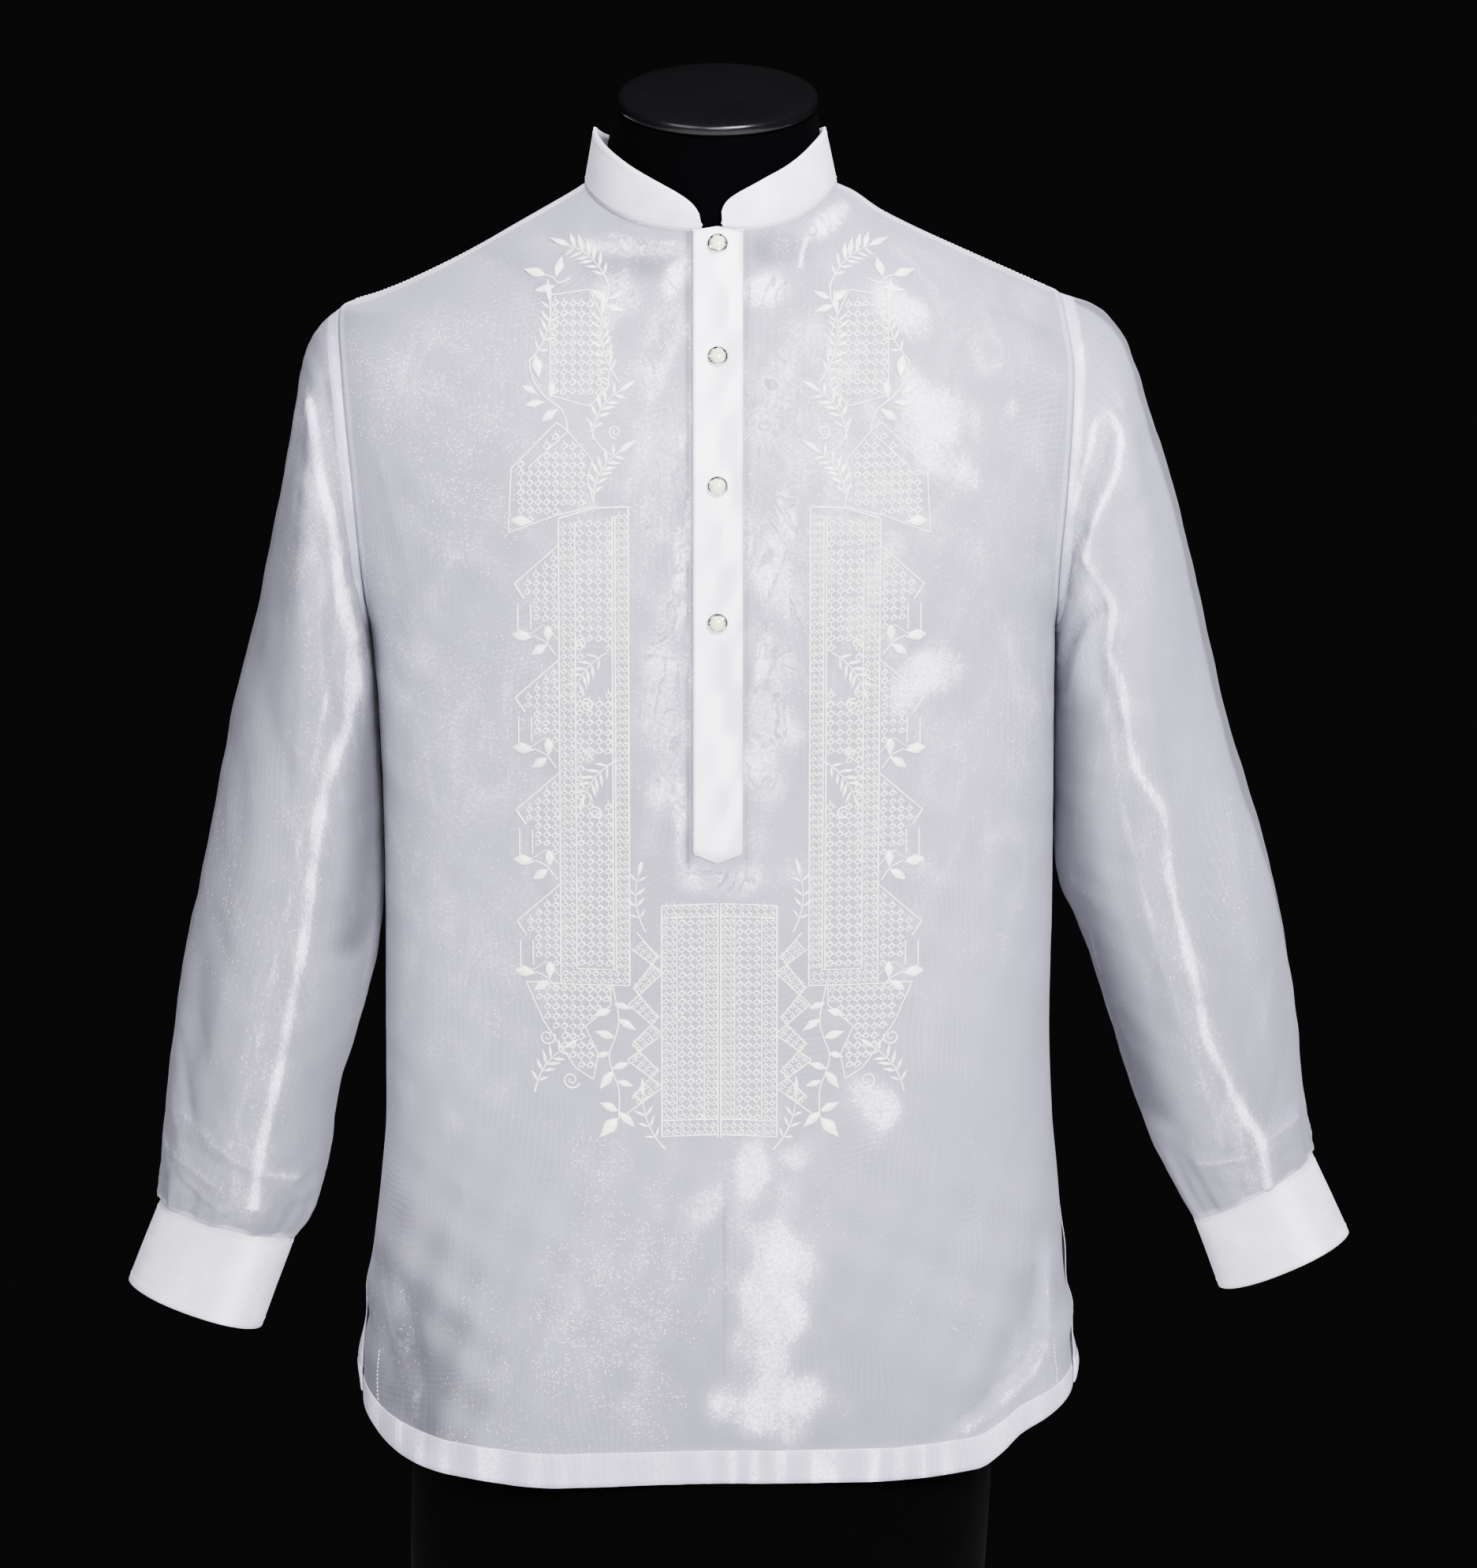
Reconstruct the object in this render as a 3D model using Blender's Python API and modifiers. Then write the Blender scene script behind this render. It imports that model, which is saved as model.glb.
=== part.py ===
"""Barong tagalog shirt on a limbless dress form.

Every cut piece of cloth is a thin closed shell of its own. Metres, +Z up, front towards -Y.
The origin is the middle of the form's flat foot, on the surface that it stands on.
Left and right are those of someone who faces the shirt.
"""

import math

import bmesh
import bpy
import numpy as np
from mathutils import Matrix, Vector

# Walls and gaps
CLOTH = 0.0012
BAND = 0.0016
SEAM_GAP = 0.0003
HEM_LIFT = 0.0004

# Heights of the shirt
HEM = 0.2110
HEM_DEPTH = 0.0220
SLIT_TOP = 0.2880
SLIT_OPEN = {-1: 0.0300, 1: 0.0050}
PLACKET_END = 0.6180
PLACKET_TIP = 0.0066
PLACKET_TOP = 0.0012
YOKE = 0.9000
ARMPIT = 0.7450
SHOULDER_TIP = {-1: 0.9430, 1: 0.9530}
NECK_POINT = 1.0225

# Widths of the shirt
PLACKET_HALF = 0.0155
NECK_EDGE = {-1: 0.0835, 1: 0.0750}
NECK_DEPTH = {-1: 0.0755, 1: 0.0720}
ARMHOLE_DEPTH = {-1: 0.0600, 1: 0.0660}
SLEEVE_GAP = 0.0009
BODY_CLEARANCE = 0.0017

# Where the panel's columns spread from below the arms to the armholes, and where the hem's rise starts
SPREAD_FOOT = 0.7250
SPREAD_HEIGHT = 0.0800
RISE_TOP = 0.3300

# Collar
COLLAR_HEIGHT = 0.0340
COLLAR_END = 0.0040
COLLAR_CURVE = 0.0850
COLLAR_GAP = 0.0068
COLLAR_SHIFT = -0.0035
COLLAR_SEAM = 0.0013
COLLAR_TOP = {"half": 0.0726, "front": 0.0705, "back": 0.0700, "shift": -0.0050}

# Buttons
BUTTON_HEIGHTS = (0.9942, 0.9282, 0.8511, 0.7664)
BUTTON_RADIUS = 0.0066
CUFF_BUTTON_RADIUS = 0.0052

# Neck cap of the form
CAP_RADIUS = 0.0630
CAP_DEPTH = 0.0100
CAP_TILT = math.radians(12.3)
CAP_TOP = 1.0800

# Sections of the shirt's body, outside of the cloth. The half widths are those of the side seam,
# of the armhole seam above the armpit, and of the shoulder line above the shoulder tip.
BODY_COLUMNS = ("height", "left", "right", "front", "back", "power")
BODY_SECTIONS = (
    (0.205, 0.2312, 0.2305, 0.1280, 0.1290, 2.50),
    (0.260, 0.2307, 0.2317, 0.1280, 0.1300, 2.50),
    (0.310, 0.2262, 0.2262, 0.1270, 0.1300, 2.50),
    (0.383, 0.2175, 0.2200, 0.1240, 0.1250, 2.45),
    (0.425, 0.2142, 0.2160, 0.1215, 0.1190, 2.40),
    (0.488, 0.2137, 0.2137, 0.1190, 0.1130, 2.40),
    (0.582, 0.2132, 0.2147, 0.1215, 0.1110, 2.40),
    (0.685, 0.2161, 0.2146, 0.1275, 0.1170, 2.40),
    (0.771, 0.2232, 0.2148, 0.1310, 0.1230, 2.35),
    (0.843, 0.2288, 0.2190, 0.1290, 0.1250, 2.30),
    (0.911, 0.2355, 0.2225, 0.1130, 0.1170, 2.15),
    (0.943, 0.2385, 0.2180, 0.1005, 0.1045, 2.05),
    (0.953, 0.2136, 0.2156, 0.0965, 0.1000, 2.00),
    (0.958, 0.2011, 0.2050, 0.0945, 0.0980, 1.97),
    (0.977, 0.1620, 0.1630, 0.0880, 0.0910, 1.80),
    (0.999, 0.1235, 0.1160, 0.0775, 0.0780, 1.55),
    (1.007, 0.1095, 0.1010, 0.0745, 0.0740, 1.48),
    (1.018, 0.0905, 0.0850, 0.0712, 0.0700, 1.45),
    (1.0225, 0.0835, 0.0750, 0.0700, 0.0690, 1.45),
)

# How far the hem rises towards the slits, over the share of the half width.
HEM_CORNER_COLUMNS = ("share", "front_left", "front_right", "back_left", "back_right")
HEM_CORNERS = (
    (0.00, 0.0000, 0.0000, 0.0000, 0.0000),
    (0.80, 0.0000, 0.0020, 0.0000, 0.0040),
    (0.85, 0.0010, 0.0095, 0.0020, 0.0090),
    (0.89, 0.0030, 0.0195, 0.0050, 0.0150),
    (0.94, 0.0085, 0.0245, 0.0105, 0.0220),
    (1.00, 0.0220, 0.0310, 0.0275, 0.0330),
)

# Where the hem hangs lower than a plain curve.
HEM_WAVE_COLUMNS = ("x", "width", "drop")
HEM_WAVES = (
    (-0.115, 0.070, 0.0055),
    (0.090, 0.055, 0.0030),
)

# Soft folds of the body: outward lift, negative for a trough, along a line from its top to its foot.
BODY_FOLD_COLUMNS = ("face", "top_x", "top_z", "foot_x", "foot_z", "width", "lift")
BODY_FOLDS = (
    (-1, -0.214, 0.345, -0.183, 0.215, 0.016, -0.0060),
    (-1, 0.214, 0.350, 0.165, 0.215, 0.018, -0.0070),
    (-1, -0.120, 0.420, -0.105, 0.205, 0.030, 0.0030),
    (-1, 0.085, 0.380, 0.080, 0.205, 0.026, -0.0030),
    (-1, -0.150, 0.830, -0.175, 0.640, 0.022, -0.0030),
    (-1, 0.150, 0.830, 0.172, 0.660, 0.022, -0.0030),
    (1, -0.170, 0.420, -0.150, 0.205, 0.022, -0.0060),
    (1, 0.170, 0.440, 0.145, 0.205, 0.024, -0.0060),
    (1, -0.060, 0.560, -0.055, 0.205, 0.026, 0.0050),
    (1, 0.070, 0.540, 0.060, 0.205, 0.026, 0.0050),
    (1, -0.140, 0.860, -0.110, 0.600, 0.026, -0.0040),
    (1, 0.140, 0.860, 0.115, 0.600, 0.026, -0.0040),
)

# Sections of the sleeves, outside of the cloth: the outer and the inner end of each oval, its
# middle in depth and its half depth. An inner_x of 0 lies just clear of the body's side.
SLEEVE_COLUMNS = ("outer_x", "outer_z", "inner_x", "inner_z", "middle_y", "half_depth")
LEFT_SECTIONS = (
    (0.2510, 0.9320, 0, 0.7400, 0.003, 0.0680),
    (0.2605, 0.9140, 0, 0.7340, 0.002, 0.0720),
    (0.2660, 0.8850, 0, 0.7260, 0.001, 0.0750),
    (0.2735, 0.8450, 0, 0.7150, 0.000, 0.0765),
    (0.2830, 0.7970, 0, 0.7000, 0.000, 0.0760),
    (0.2945, 0.7470, 0, 0.6780, 0.000, 0.0750),
    (0.3075, 0.6970, 0, 0.6500, 0.000, 0.0735),
    (0.3165, 0.6500, 0, 0.6160, 0.000, 0.0715),
    (0.3250, 0.6080, 0, 0.5790, 0.000, 0.0695),
    (0.3340, 0.5670, 0.2165, 0.5400, 0.000, 0.0675),
    (0.3425, 0.5280, 0.2245, 0.5060, -0.001, 0.0650),
    (0.3495, 0.4850, 0.2350, 0.4690, -0.002, 0.0620),
    (0.3550, 0.4430, 0.2455, 0.4330, -0.003, 0.0580),
    (0.3585, 0.4080, 0.2500, 0.4000, -0.003, 0.0530),
    (0.3605, 0.3860, 0.2550, 0.3740, -0.003, 0.0480),
    (0.3615, 0.3730, 0.2620, 0.3550, -0.003, 0.0410),
)
RIGHT_SECTIONS = (
    (0.2390, 0.9440, 0, 0.7400, 0.003, 0.0680),
    (0.2550, 0.9280, 0, 0.7340, 0.002, 0.0720),
    (0.2645, 0.9050, 0, 0.7260, 0.001, 0.0755),
    (0.2745, 0.8730, 0, 0.7150, 0.000, 0.0770),
    (0.2865, 0.8380, 0, 0.6990, 0.000, 0.0775),
    (0.2985, 0.7940, 0, 0.6770, 0.000, 0.0770),
    (0.3105, 0.7430, 0, 0.6500, 0.000, 0.0755),
    (0.3225, 0.6930, 0, 0.6220, 0.000, 0.0735),
    (0.3365, 0.6460, 0, 0.5970, 0.001, 0.0715),
    (0.3500, 0.6020, 0.2185, 0.5740, 0.002, 0.0695),
    (0.3605, 0.5600, 0.2312, 0.5440, 0.004, 0.0670),
    (0.3685, 0.5170, 0.2440, 0.5080, 0.007, 0.0640),
    (0.3748, 0.4770, 0.2568, 0.4680, 0.011, 0.0600),
    (0.3785, 0.4430, 0.2700, 0.4270, 0.015, 0.0555),
    (0.3832, 0.4120, 0.2845, 0.3925, 0.020, 0.0500),
    (0.3855, 0.3980, 0.2960, 0.3700, 0.022, 0.0430),
)
LEFT_CUFF = (
    (0.3616, 0.3630, 0.2738, 0.3395, -0.003, 0.0330),
    (0.3832, 0.3090, 0.2969, 0.2775, -0.004, 0.0320),
)
RIGHT_CUFF = (
    (0.3880, 0.3860, 0.3108, 0.3430, 0.026, 0.0330),
    (0.4150, 0.3270, 0.3300, 0.2900, 0.044, 0.0325),
)
CUFF_LAP = math.radians(28)
CUFF_LAP_RAMP = math.radians(22)
CUFF_LAP_START = math.radians(235)
GATHERS = 9
GATHER_LIFT = 0.0013

# Folds of the sleeves: from one section and angle to another, angle 0 outside, 90 in front.
SLEEVE_FOLD_COLUMNS = ("start", "start_angle", "end", "end_angle", "width", "lift")
LEFT_FOLDS = (
    (2.0, 60, 7.5, 88, 16, 0.0045),
    (2.5, 95, 6.5, 128, 15, -0.0045),
    (7.0, 62, 13.0, 78, 15, 0.0040),
    (8.0, 105, 12.5, 112, 15, -0.0035),
    (10.0, 30, 14.0, 48, 13, -0.0035),
    (3.0, 300, 9.0, 280, 17, 0.0050),
    (4.0, 255, 10.0, 245, 16, -0.0040),
    (9.0, 300, 14.0, 310, 15, -0.0040),
)
RIGHT_FOLDS = (
    (2.0, 52, 6.5, 66, 15, 0.0045),
    (2.5, 98, 7.0, 120, 15, -0.0050),
    (5.0, 84, 10.0, 92, 15, 0.0045),
    (8.5, 55, 13.5, 66, 15, -0.0040),
    (9.5, 112, 13.5, 104, 14, 0.0035),
    (3.0, 300, 9.0, 282, 17, 0.0050),
    (4.0, 255, 10.0, 248, 16, -0.0040),
    (9.0, 305, 14.0, 312, 15, -0.0040),
)

# Sections of the form. Above its shoulders they follow the shirt, which rests there.
FORM_COLUMNS = ("height", "left", "right", "front", "back", "power", "rise")
FORM_LOWER = (
    (0.000, 0.1860, 0.1610, 0.1140, 0.1180, 2.4, 0),
    (0.006, 0.1910, 0.1660, 0.1190, 0.1230, 2.4, 0),
    (0.110, 0.2015, 0.1750, 0.1220, 0.1250, 2.4, 0),
    (0.185, 0.2000, 0.1790, 0.1230, 0.1250, 2.4, 0),
    (0.290, 0.1940, 0.1820, 0.1210, 0.1230, 2.4, 0),
    (0.390, 0.1780, 0.1740, 0.1140, 0.1120, 2.4, 0),
    (0.490, 0.1700, 0.1700, 0.1090, 0.1020, 2.4, 0),
    (0.590, 0.1760, 0.1770, 0.1110, 0.1010, 2.4, 0),
    (0.690, 0.1880, 0.1870, 0.1180, 0.1070, 2.4, 0),
    (0.780, 0.1970, 0.1940, 0.1230, 0.1140, 2.35, 0),
    (0.850, 0.2010, 0.1980, 0.1200, 0.1150, 2.3, 0),
    (0.900, 0.2010, 0.1990, 0.1090, 0.1100, 2.2, 0),
    (0.930, 0.1985, 0.1970, 0.0990, 0.1020, 2.1, 0),
    (0.946, 0.1940, 0.1930, 0.0930, 0.0970, 2.0, 0),
    (0.955, 0.1880, 0.1890, 0.0900, 0.0940, 1.95, 0),
)
FORM_SHOULDER_HEIGHTS = (0.964, 0.974, 0.985, 0.996, 1.005)
FORM_DROP = 0.0028
FORM_NECK = (
    (1.0130, 0.0860, 0.0800, 0.0685, 0.0680, 1.50, 0),
    (1.0210, 0.0765, 0.0695, 0.0660, 0.0660, 1.75, 0),
    (1.0320, 0.0705, 0.0665, 0.0635, 0.0645, 2.0, 0.02),
    (1.0470, 0.0690, 0.0645, 0.0615, 0.0630, 2.0, 0.10),
    (1.0694, 0.0620, 0.0630, 0.0605, 0.0605, 2.0, math.tan(CAP_TILT)),
)

# Grid of the body panels
SIDE_SHARES = (0.13, 0.28, 0.44, 0.60, 0.75, 0.88, 1.0)
NECK_SHARES = (0.43, 0.66, 0.80, 0.89, 0.96, 1.0)
LOWER_ROWS = 11
CHEST_ROWS = 9
YOKE_ROWS = 7
SLEEVE_AROUND = 34
FORM_AROUND = 40


def new_material(name, colour, roughness, metallic=0.0):
    material = bpy.data.materials.new(name)
    material.use_nodes = True
    shader = material.node_tree.nodes["Principled BSDF"]
    shader.inputs["Base Color"].default_value = (*colour, 1.0)
    shader.inputs["Roughness"].default_value = roughness
    shader.inputs["Metallic"].default_value = metallic
    return material


def ease(value):
    """A smooth step from 0 to 1."""
    value = min(max(value, 0.0), 1.0)
    return value * value * (3.0 - 2.0 * value)


def between(rows, columns, name, height):
    """A table's column at a height, on a curve that never overshoots its rows."""
    index = columns.index(name)
    keys = [row[0] for row in rows]
    values = [row[index] for row in rows]
    height = min(max(height, keys[0]), keys[-1])
    spot = max(1, next(i for i, key in enumerate(keys) if height <= key))
    slopes = [(values[i + 1] - values[i]) / (keys[i + 1] - keys[i]) for i in range(len(keys) - 1)]

    def tangent(i):
        if i == 0 or i == len(keys) - 1:
            return slopes[min(i, len(slopes) - 1)]
        before, after = slopes[i - 1], slopes[i]
        return 0.0 if before * after <= 0 else 2.0 * before * after / (before + after)

    step = keys[spot] - keys[spot - 1]
    t = (height - keys[spot - 1]) / step
    start, end = values[spot - 1], values[spot]
    return (
        start * (1 + 2 * t) * (1 - t) ** 2
        + tangent(spot - 1) * step * t * (1 - t) ** 2
        + end * t * t * (3 - 2 * t)
        - tangent(spot) * step * t * t * (1 - t)
    )


def body(name, height):
    return between(BODY_SECTIONS, BODY_COLUMNS, name, height)


def side_name(side):
    return "left" if side < 0 else "right"


def armhole_share(height, side):
    """How wide the armhole is open at a height, from 0 at its ends to 1 at its middle."""
    tip = SHOULDER_TIP[side]
    place = (2.0 * height - tip - ARMPIT) / (tip - ARMPIT)
    return math.sqrt(max(0.0, 1.0 - place * place))


def body_depth(x, height, face):
    """Signed depth of the body's cloth at x and a height, for the front (-1) or the back (1)."""
    side = -1 if x < 0 else 1
    depth = body("front" if face < 0 else "back", height)
    power = body("power", height)
    hole = ARMHOLE_DEPTH[face] * armhole_share(height, side)
    reach = body(side_name(side), height) / (1.0 - (hole / depth) ** power) ** (1.0 / power)
    share = min(abs(x) / reach, 1.0)
    return face * max(depth * (1.0 - share**power) ** (1.0 / power), SEAM_GAP / 2)


def halve(function, low, high):
    """The root of a function that rises from low to high."""
    for _ in range(50):
        middle = (low + high) / 2
        if function(middle) > 0:
            high = middle
        else:
            low = middle
    return (low + high) / 2


def neckline(x, face):
    """(y, z) of the neck seam at x, where its plan oval meets the body's surface."""
    side = -1 if x < 0 else 1
    y = face * NECK_DEPTH[face] * math.sqrt(max(0.0, 1.0 - (x / NECK_EDGE[side]) ** 2))

    def outside(height):
        power = body("power", height)
        across = abs(x) / body(side_name(side), height)
        along = abs(y) / body("front" if face < 0 else "back", height)
        return across**power + along**power - 1.0

    return y, halve(outside, 0.95, NECK_POINT)


def top_of_column(position, face):
    side = -1 if position < 0 else 1
    if abs(position) < NECK_EDGE[side] - 1e-6:
        return neckline(position, face)[1]
    name = side_name(side)
    return halve(lambda height: abs(position) - body(name, height), SHOULDER_TIP[side], NECK_POINT)


def swept_share(share):
    """Share of the half width below the arms, where the columns close up towards the side seam."""
    return math.sin(math.pi / 2 * share**1.15)


def hem_rise(position, face):
    side = -1 if position < 0 else 1
    share = swept_share(abs(position) / body(side_name(side), SHOULDER_TIP[side]))
    name = ("front_" if face < 0 else "back_") + side_name(side)
    rise = between(HEM_CORNERS, HEM_CORNER_COLUMNS, name, share)
    for row in HEM_WAVES:
        wave = dict(zip(HEM_WAVE_COLUMNS, row))
        rise -= wave["drop"] * math.exp(-(((position - wave["x"]) / wave["width"]) ** 2))
    return rise


def column_x(position, height, face):
    """x of a grid column, which is named by its own x at the shoulder."""
    if position == 0:
        return 0.0
    side = -1 if position < 0 else 1
    tip = body(side_name(side), SHOULDER_TIP[side])
    edge = tip if height > SHOULDER_TIP[side] else body(side_name(side), height)
    share = abs(position) / tip
    below_arm = 1.0 - ease((height - SPREAD_FOOT) / SPREAD_HEIGHT)
    ratio = share + below_arm * (swept_share(share) - share)
    if height < SLIT_TOP:
        open_by = SLIT_OPEN[face] * ((SLIT_TOP - height) / (SLIT_TOP - HEM)) ** 1.4
        depth = body("front" if face < 0 else "back", height)
        power = body("power", height)
        ratio *= (1.0 - (open_by / depth) ** power) ** (1.0 / power)
    blend = ease((abs(position) - PLACKET_HALF) / (tip - PLACKET_HALF))
    return side * (abs(position) * (1.0 - blend) + ratio * edge * blend)


def row_heights():
    """Heights of the panel rows up to the yoke: hem, hem stitching, placket end and yoke are on it."""
    low = HEM + HEM_DEPTH
    heights = [HEM, low - 0.001, low]
    heights += [low + (PLACKET_END - low) * (k + 1) / LOWER_ROWS for k in range(LOWER_ROWS)]
    heights += [PLACKET_END + (YOKE - PLACKET_END) * (k + 1) / CHEST_ROWS for k in range(CHEST_ROWS)]
    return heights


def panel_columns():
    sides = {}
    for side in (-1, 1):
        edge = NECK_EDGE[side]
        tip = body(side_name(side), SHOULDER_TIP[side])
        sides[side] = [PLACKET_HALF]
        sides[side] += [edge * share for share in NECK_SHARES]
        sides[side] += [edge + (tip - edge) * share for share in SIDE_SHARES]
    return [-x for x in reversed(sides[-1])] + [0.0] + sides[1]


def fold_lift(x, height, face):
    lift = 0.0
    for row in BODY_FOLDS:
        fold = dict(zip(BODY_FOLD_COLUMNS, row))
        along = (fold["top_z"] - height) / (fold["top_z"] - fold["foot_z"])
        if fold["face"] != face or along <= 0:
            continue
        middle = fold["top_x"] + (fold["foot_x"] - fold["top_x"]) * min(along, 1.0)
        fade = ease(along / 0.5)
        if fold["foot_z"] > HEM:
            fade *= ease((1.0 - along) / 0.4)
        lift += fold["lift"] * fade * math.exp(-(((x - middle) / fold["width"]) ** 2))
    return lift


def grid_normals(points, sign, wrap=False):
    """Unit normals of a grid of points, (rows, columns, 3)."""
    if wrap:
        across = np.roll(points, -1, axis=1) - np.roll(points, 1, axis=1)
    else:
        across = np.gradient(points, axis=1)
    normals = sign * np.cross(across, np.gradient(points, axis=0))
    return normals / np.linalg.norm(normals, axis=2, keepdims=True)


def panel_grid(face):
    """Outside points and normals of the front or the back panel."""
    lower = row_heights()
    columns = panel_columns()
    grid = []
    for position in columns:
        top = top_of_column(position, face)
        steps = [k / YOKE_ROWS for k in range(1, YOKE_ROWS + 1)]
        heights = lower + [YOKE + (top - YOKE) * (1.0 - (1.0 - step) ** 2) for step in steps]
        rise = hem_rise(position, face)
        line = []
        for height in heights:
            level = height + rise * max(0.0, (RISE_TOP - height) / (RISE_TOP - HEM))
            x = column_x(position, level, face)
            line.append((x, body_depth(x, level, face), level))
        grid.append(line)
    points = np.array(grid).transpose(1, 0, 2)
    normals = grid_normals(points, -face)
    for row in range(points.shape[0]):
        for column in range(points.shape[1]):
            x, _, height = points[row, column]
            lift = fold_lift(x, height, face)
            lift += HEM_LIFT if row <= 1 else 0.0
            points[row, column] += normals[row, column] * lift
    normals = grid_normals(points, -face)
    seam = np.abs(np.abs(points[:, :, 1]) - SEAM_GAP / 2) < 0.0002
    normals[seam, 1] = 0.0
    normals[seam] /= np.linalg.norm(normals[seam], axis=1, keepdims=True)
    return points, normals


def grid_faces(mesh, points, sign, wrap=False):
    """Adds a grid of points, (rows, columns, 3), as an open surface that faces along its normals."""
    rows, columns, _ = points.shape
    verts = [[mesh.verts.new(p) for p in line] for line in points]
    for row in range(rows - 1):
        for column in range(columns if wrap else columns - 1):
            after = (column + 1) % columns
            corners = (verts[row][column], verts[row][after], verts[row + 1][after], verts[row + 1][column])
            mesh.faces.new(corners[::sign])


def add_wall(name, points, sign, thickness, material, wrap=False):
    """Cloth whose outside is a grid of points, thickened inwards."""
    mesh = bmesh.new()
    grid_faces(mesh, points, sign, wrap)
    wall = add_object(name, mesh, material)
    solidify = wall.modifiers.new("Wall", "SOLIDIFY")
    solidify.thickness = thickness
    solidify.offset = -1.0
    return wall


def add_object(name, mesh, material, smooth=True):
    data = bpy.data.meshes.new(name)
    mesh.to_mesh(data)
    mesh.free()
    if smooth:
        data.shade_smooth()
        data.set_sharp_from_angle(angle=math.radians(40))
    data.materials.append(material)
    thing = bpy.data.objects.new(name, data)
    parts.objects.link(thing)
    return thing


def add_panels(material):
    """Front and back. Their walls are bridged, not solidified, to keep the side seams square."""
    panels = {}
    for face, name in ((-1, "front_panel"), (1, "back_panel")):
        points, normals = panel_grid(face)
        mesh = bmesh.new()
        grid_faces(mesh, points, -face)
        outer_rim = [edge for edge in mesh.edges if edge.is_boundary]
        grid_faces(mesh, points - normals * CLOTH, face)
        inner_rim = [edge for edge in mesh.edges if edge.is_boundary and edge not in outer_rim]
        bmesh.ops.bridge_loops(mesh, edges=outer_rim + inner_rim)
        add_object(name, mesh, material)
        panels[face] = points, normals
    return panels


def placket_strip(fronts):
    """Middle columns of the front, from the placket's end up, moved out to lie on it."""
    points, normals = fronts
    middle = points.shape[1] // 2
    first = row_heights().index(PLACKET_END)
    base = points[first:, middle - 1 : middle + 2].copy()
    facing = normals[first:, middle - 1 : middle + 2].copy()
    below = points[first - 1, middle]
    base[0, 1] += (below - base[0, 1]) * PLACKET_TIP / (base[0, 1, 2] - below[2])
    base[-1] += (base[-2] - base[-1]) * PLACKET_TOP / (base[-1, 1, 2] - base[-2, 1, 2])
    return base + facing * (SEAM_GAP + BAND), facing


def add_placket(fronts, material):
    outer, facing = placket_strip(fronts)
    add_wall("placket", outer, 1, BAND, material)
    return outer, facing


def turned_button(name, profile, material, steps):
    """A turned button whose profile runs down its outside, top to bottom."""
    mesh = bmesh.new()
    verts = [mesh.verts.new((radius, 0, height)) for radius, height in profile]
    for first, second in zip(verts, verts[1:]):
        mesh.edges.new((first, second))
    button = add_object(name, mesh, material, smooth=False)
    screw = button.modifiers.new("Turn", "SCREW")
    screw.steps = steps
    screw.render_steps = steps
    screw.use_merge_vertices = True
    screw.merge_threshold = 0.00001
    return button


def stand_on(thing, place, normal):
    thing.matrix_world = Matrix.Translation(place) @ normal.to_track_quat("Z", "Y").to_matrix().to_4x4()


def add_buttons(strip, material):
    outer, facing = strip
    radius = BUTTON_RADIUS
    profile = (
        (0.0, 0.0056),
        (radius * 0.42, 0.0050),
        (radius * 0.76, 0.0034),
        (radius, 0.0018),
        (radius, 0.0008),
        (radius * 0.80, 0.0),
        (0.0, 0.0),
    )
    heights = outer[:, 1, 2]
    for number, height in enumerate(BUTTON_HEIGHTS, 1):
        place = [float(np.interp(height, heights, outer[:, 1, axis])) for axis in range(3)]
        normal = Vector([float(np.interp(height, heights, facing[:, 1, axis])) for axis in range(3)])
        normal.normalize()
        button = turned_button(f"button_{number}", profile, material, 14)
        stand_on(button, Vector(place) + normal * SEAM_GAP, normal)


def section_of(row, side):
    """Centre and half axes of an oval section of a sleeve or a cuff."""
    section = dict(zip(SLEEVE_COLUMNS, row))
    inner_x = section["inner_x"]
    if not inner_x:
        inner_x = body(side_name(side), section["inner_z"]) + BODY_CLEARANCE
    outer = np.array((side * section["outer_x"], section["middle_y"], section["outer_z"]))
    inner = np.array((side * inner_x, section["middle_y"], section["inner_z"]))
    return (outer + inner) / 2, (outer - inner) / 2, np.array((0.0, -section["half_depth"], 0.0))


def oval_point(section, angle):
    centre, across, forward = section
    return centre + across * math.cos(angle) + forward * math.sin(angle)


def armhole_point(angle, side):
    tip = SHOULDER_TIP[side]
    height = (tip + ARMPIT) / 2 + (tip - ARMPIT) / 2 * math.cos(angle)
    face = -1 if math.sin(angle) >= 0 else 1
    low = 0.5 - 0.5 * math.cos(angle)
    x = body(side_name(side), height) + SLEEVE_GAP + (BODY_CLEARANCE - SLEEVE_GAP) * low**4
    return np.array((side * x, -ARMHOLE_DEPTH[face] * math.sin(angle), height))


def sleeve_lift(folds, ring, degrees, last):
    """Outward lift of a sleeve at a ring and an angle: its folds, and the gathers at the cuff."""
    lift = 0.0
    for row in folds:
        fold = dict(zip(SLEEVE_FOLD_COLUMNS, row))
        along = (ring - fold["start"]) / (fold["end"] - fold["start"])
        if not 0.0 < along < 1.0:
            continue
        middle = fold["start_angle"] + (fold["end_angle"] - fold["start_angle"]) * along
        away = (degrees - middle + 180.0) % 360.0 - 180.0
        lift += fold["lift"] * math.sin(math.pi * along) * math.exp(-((away / fold["width"]) ** 2))
    near_cuff = ease((ring - (last - 3.5)) / 2.5)
    wave = math.cos(math.radians(degrees) * GATHERS + 0.8 * math.sin(math.radians(degrees)))
    return lift + GATHER_LIFT * near_cuff * wave


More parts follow.
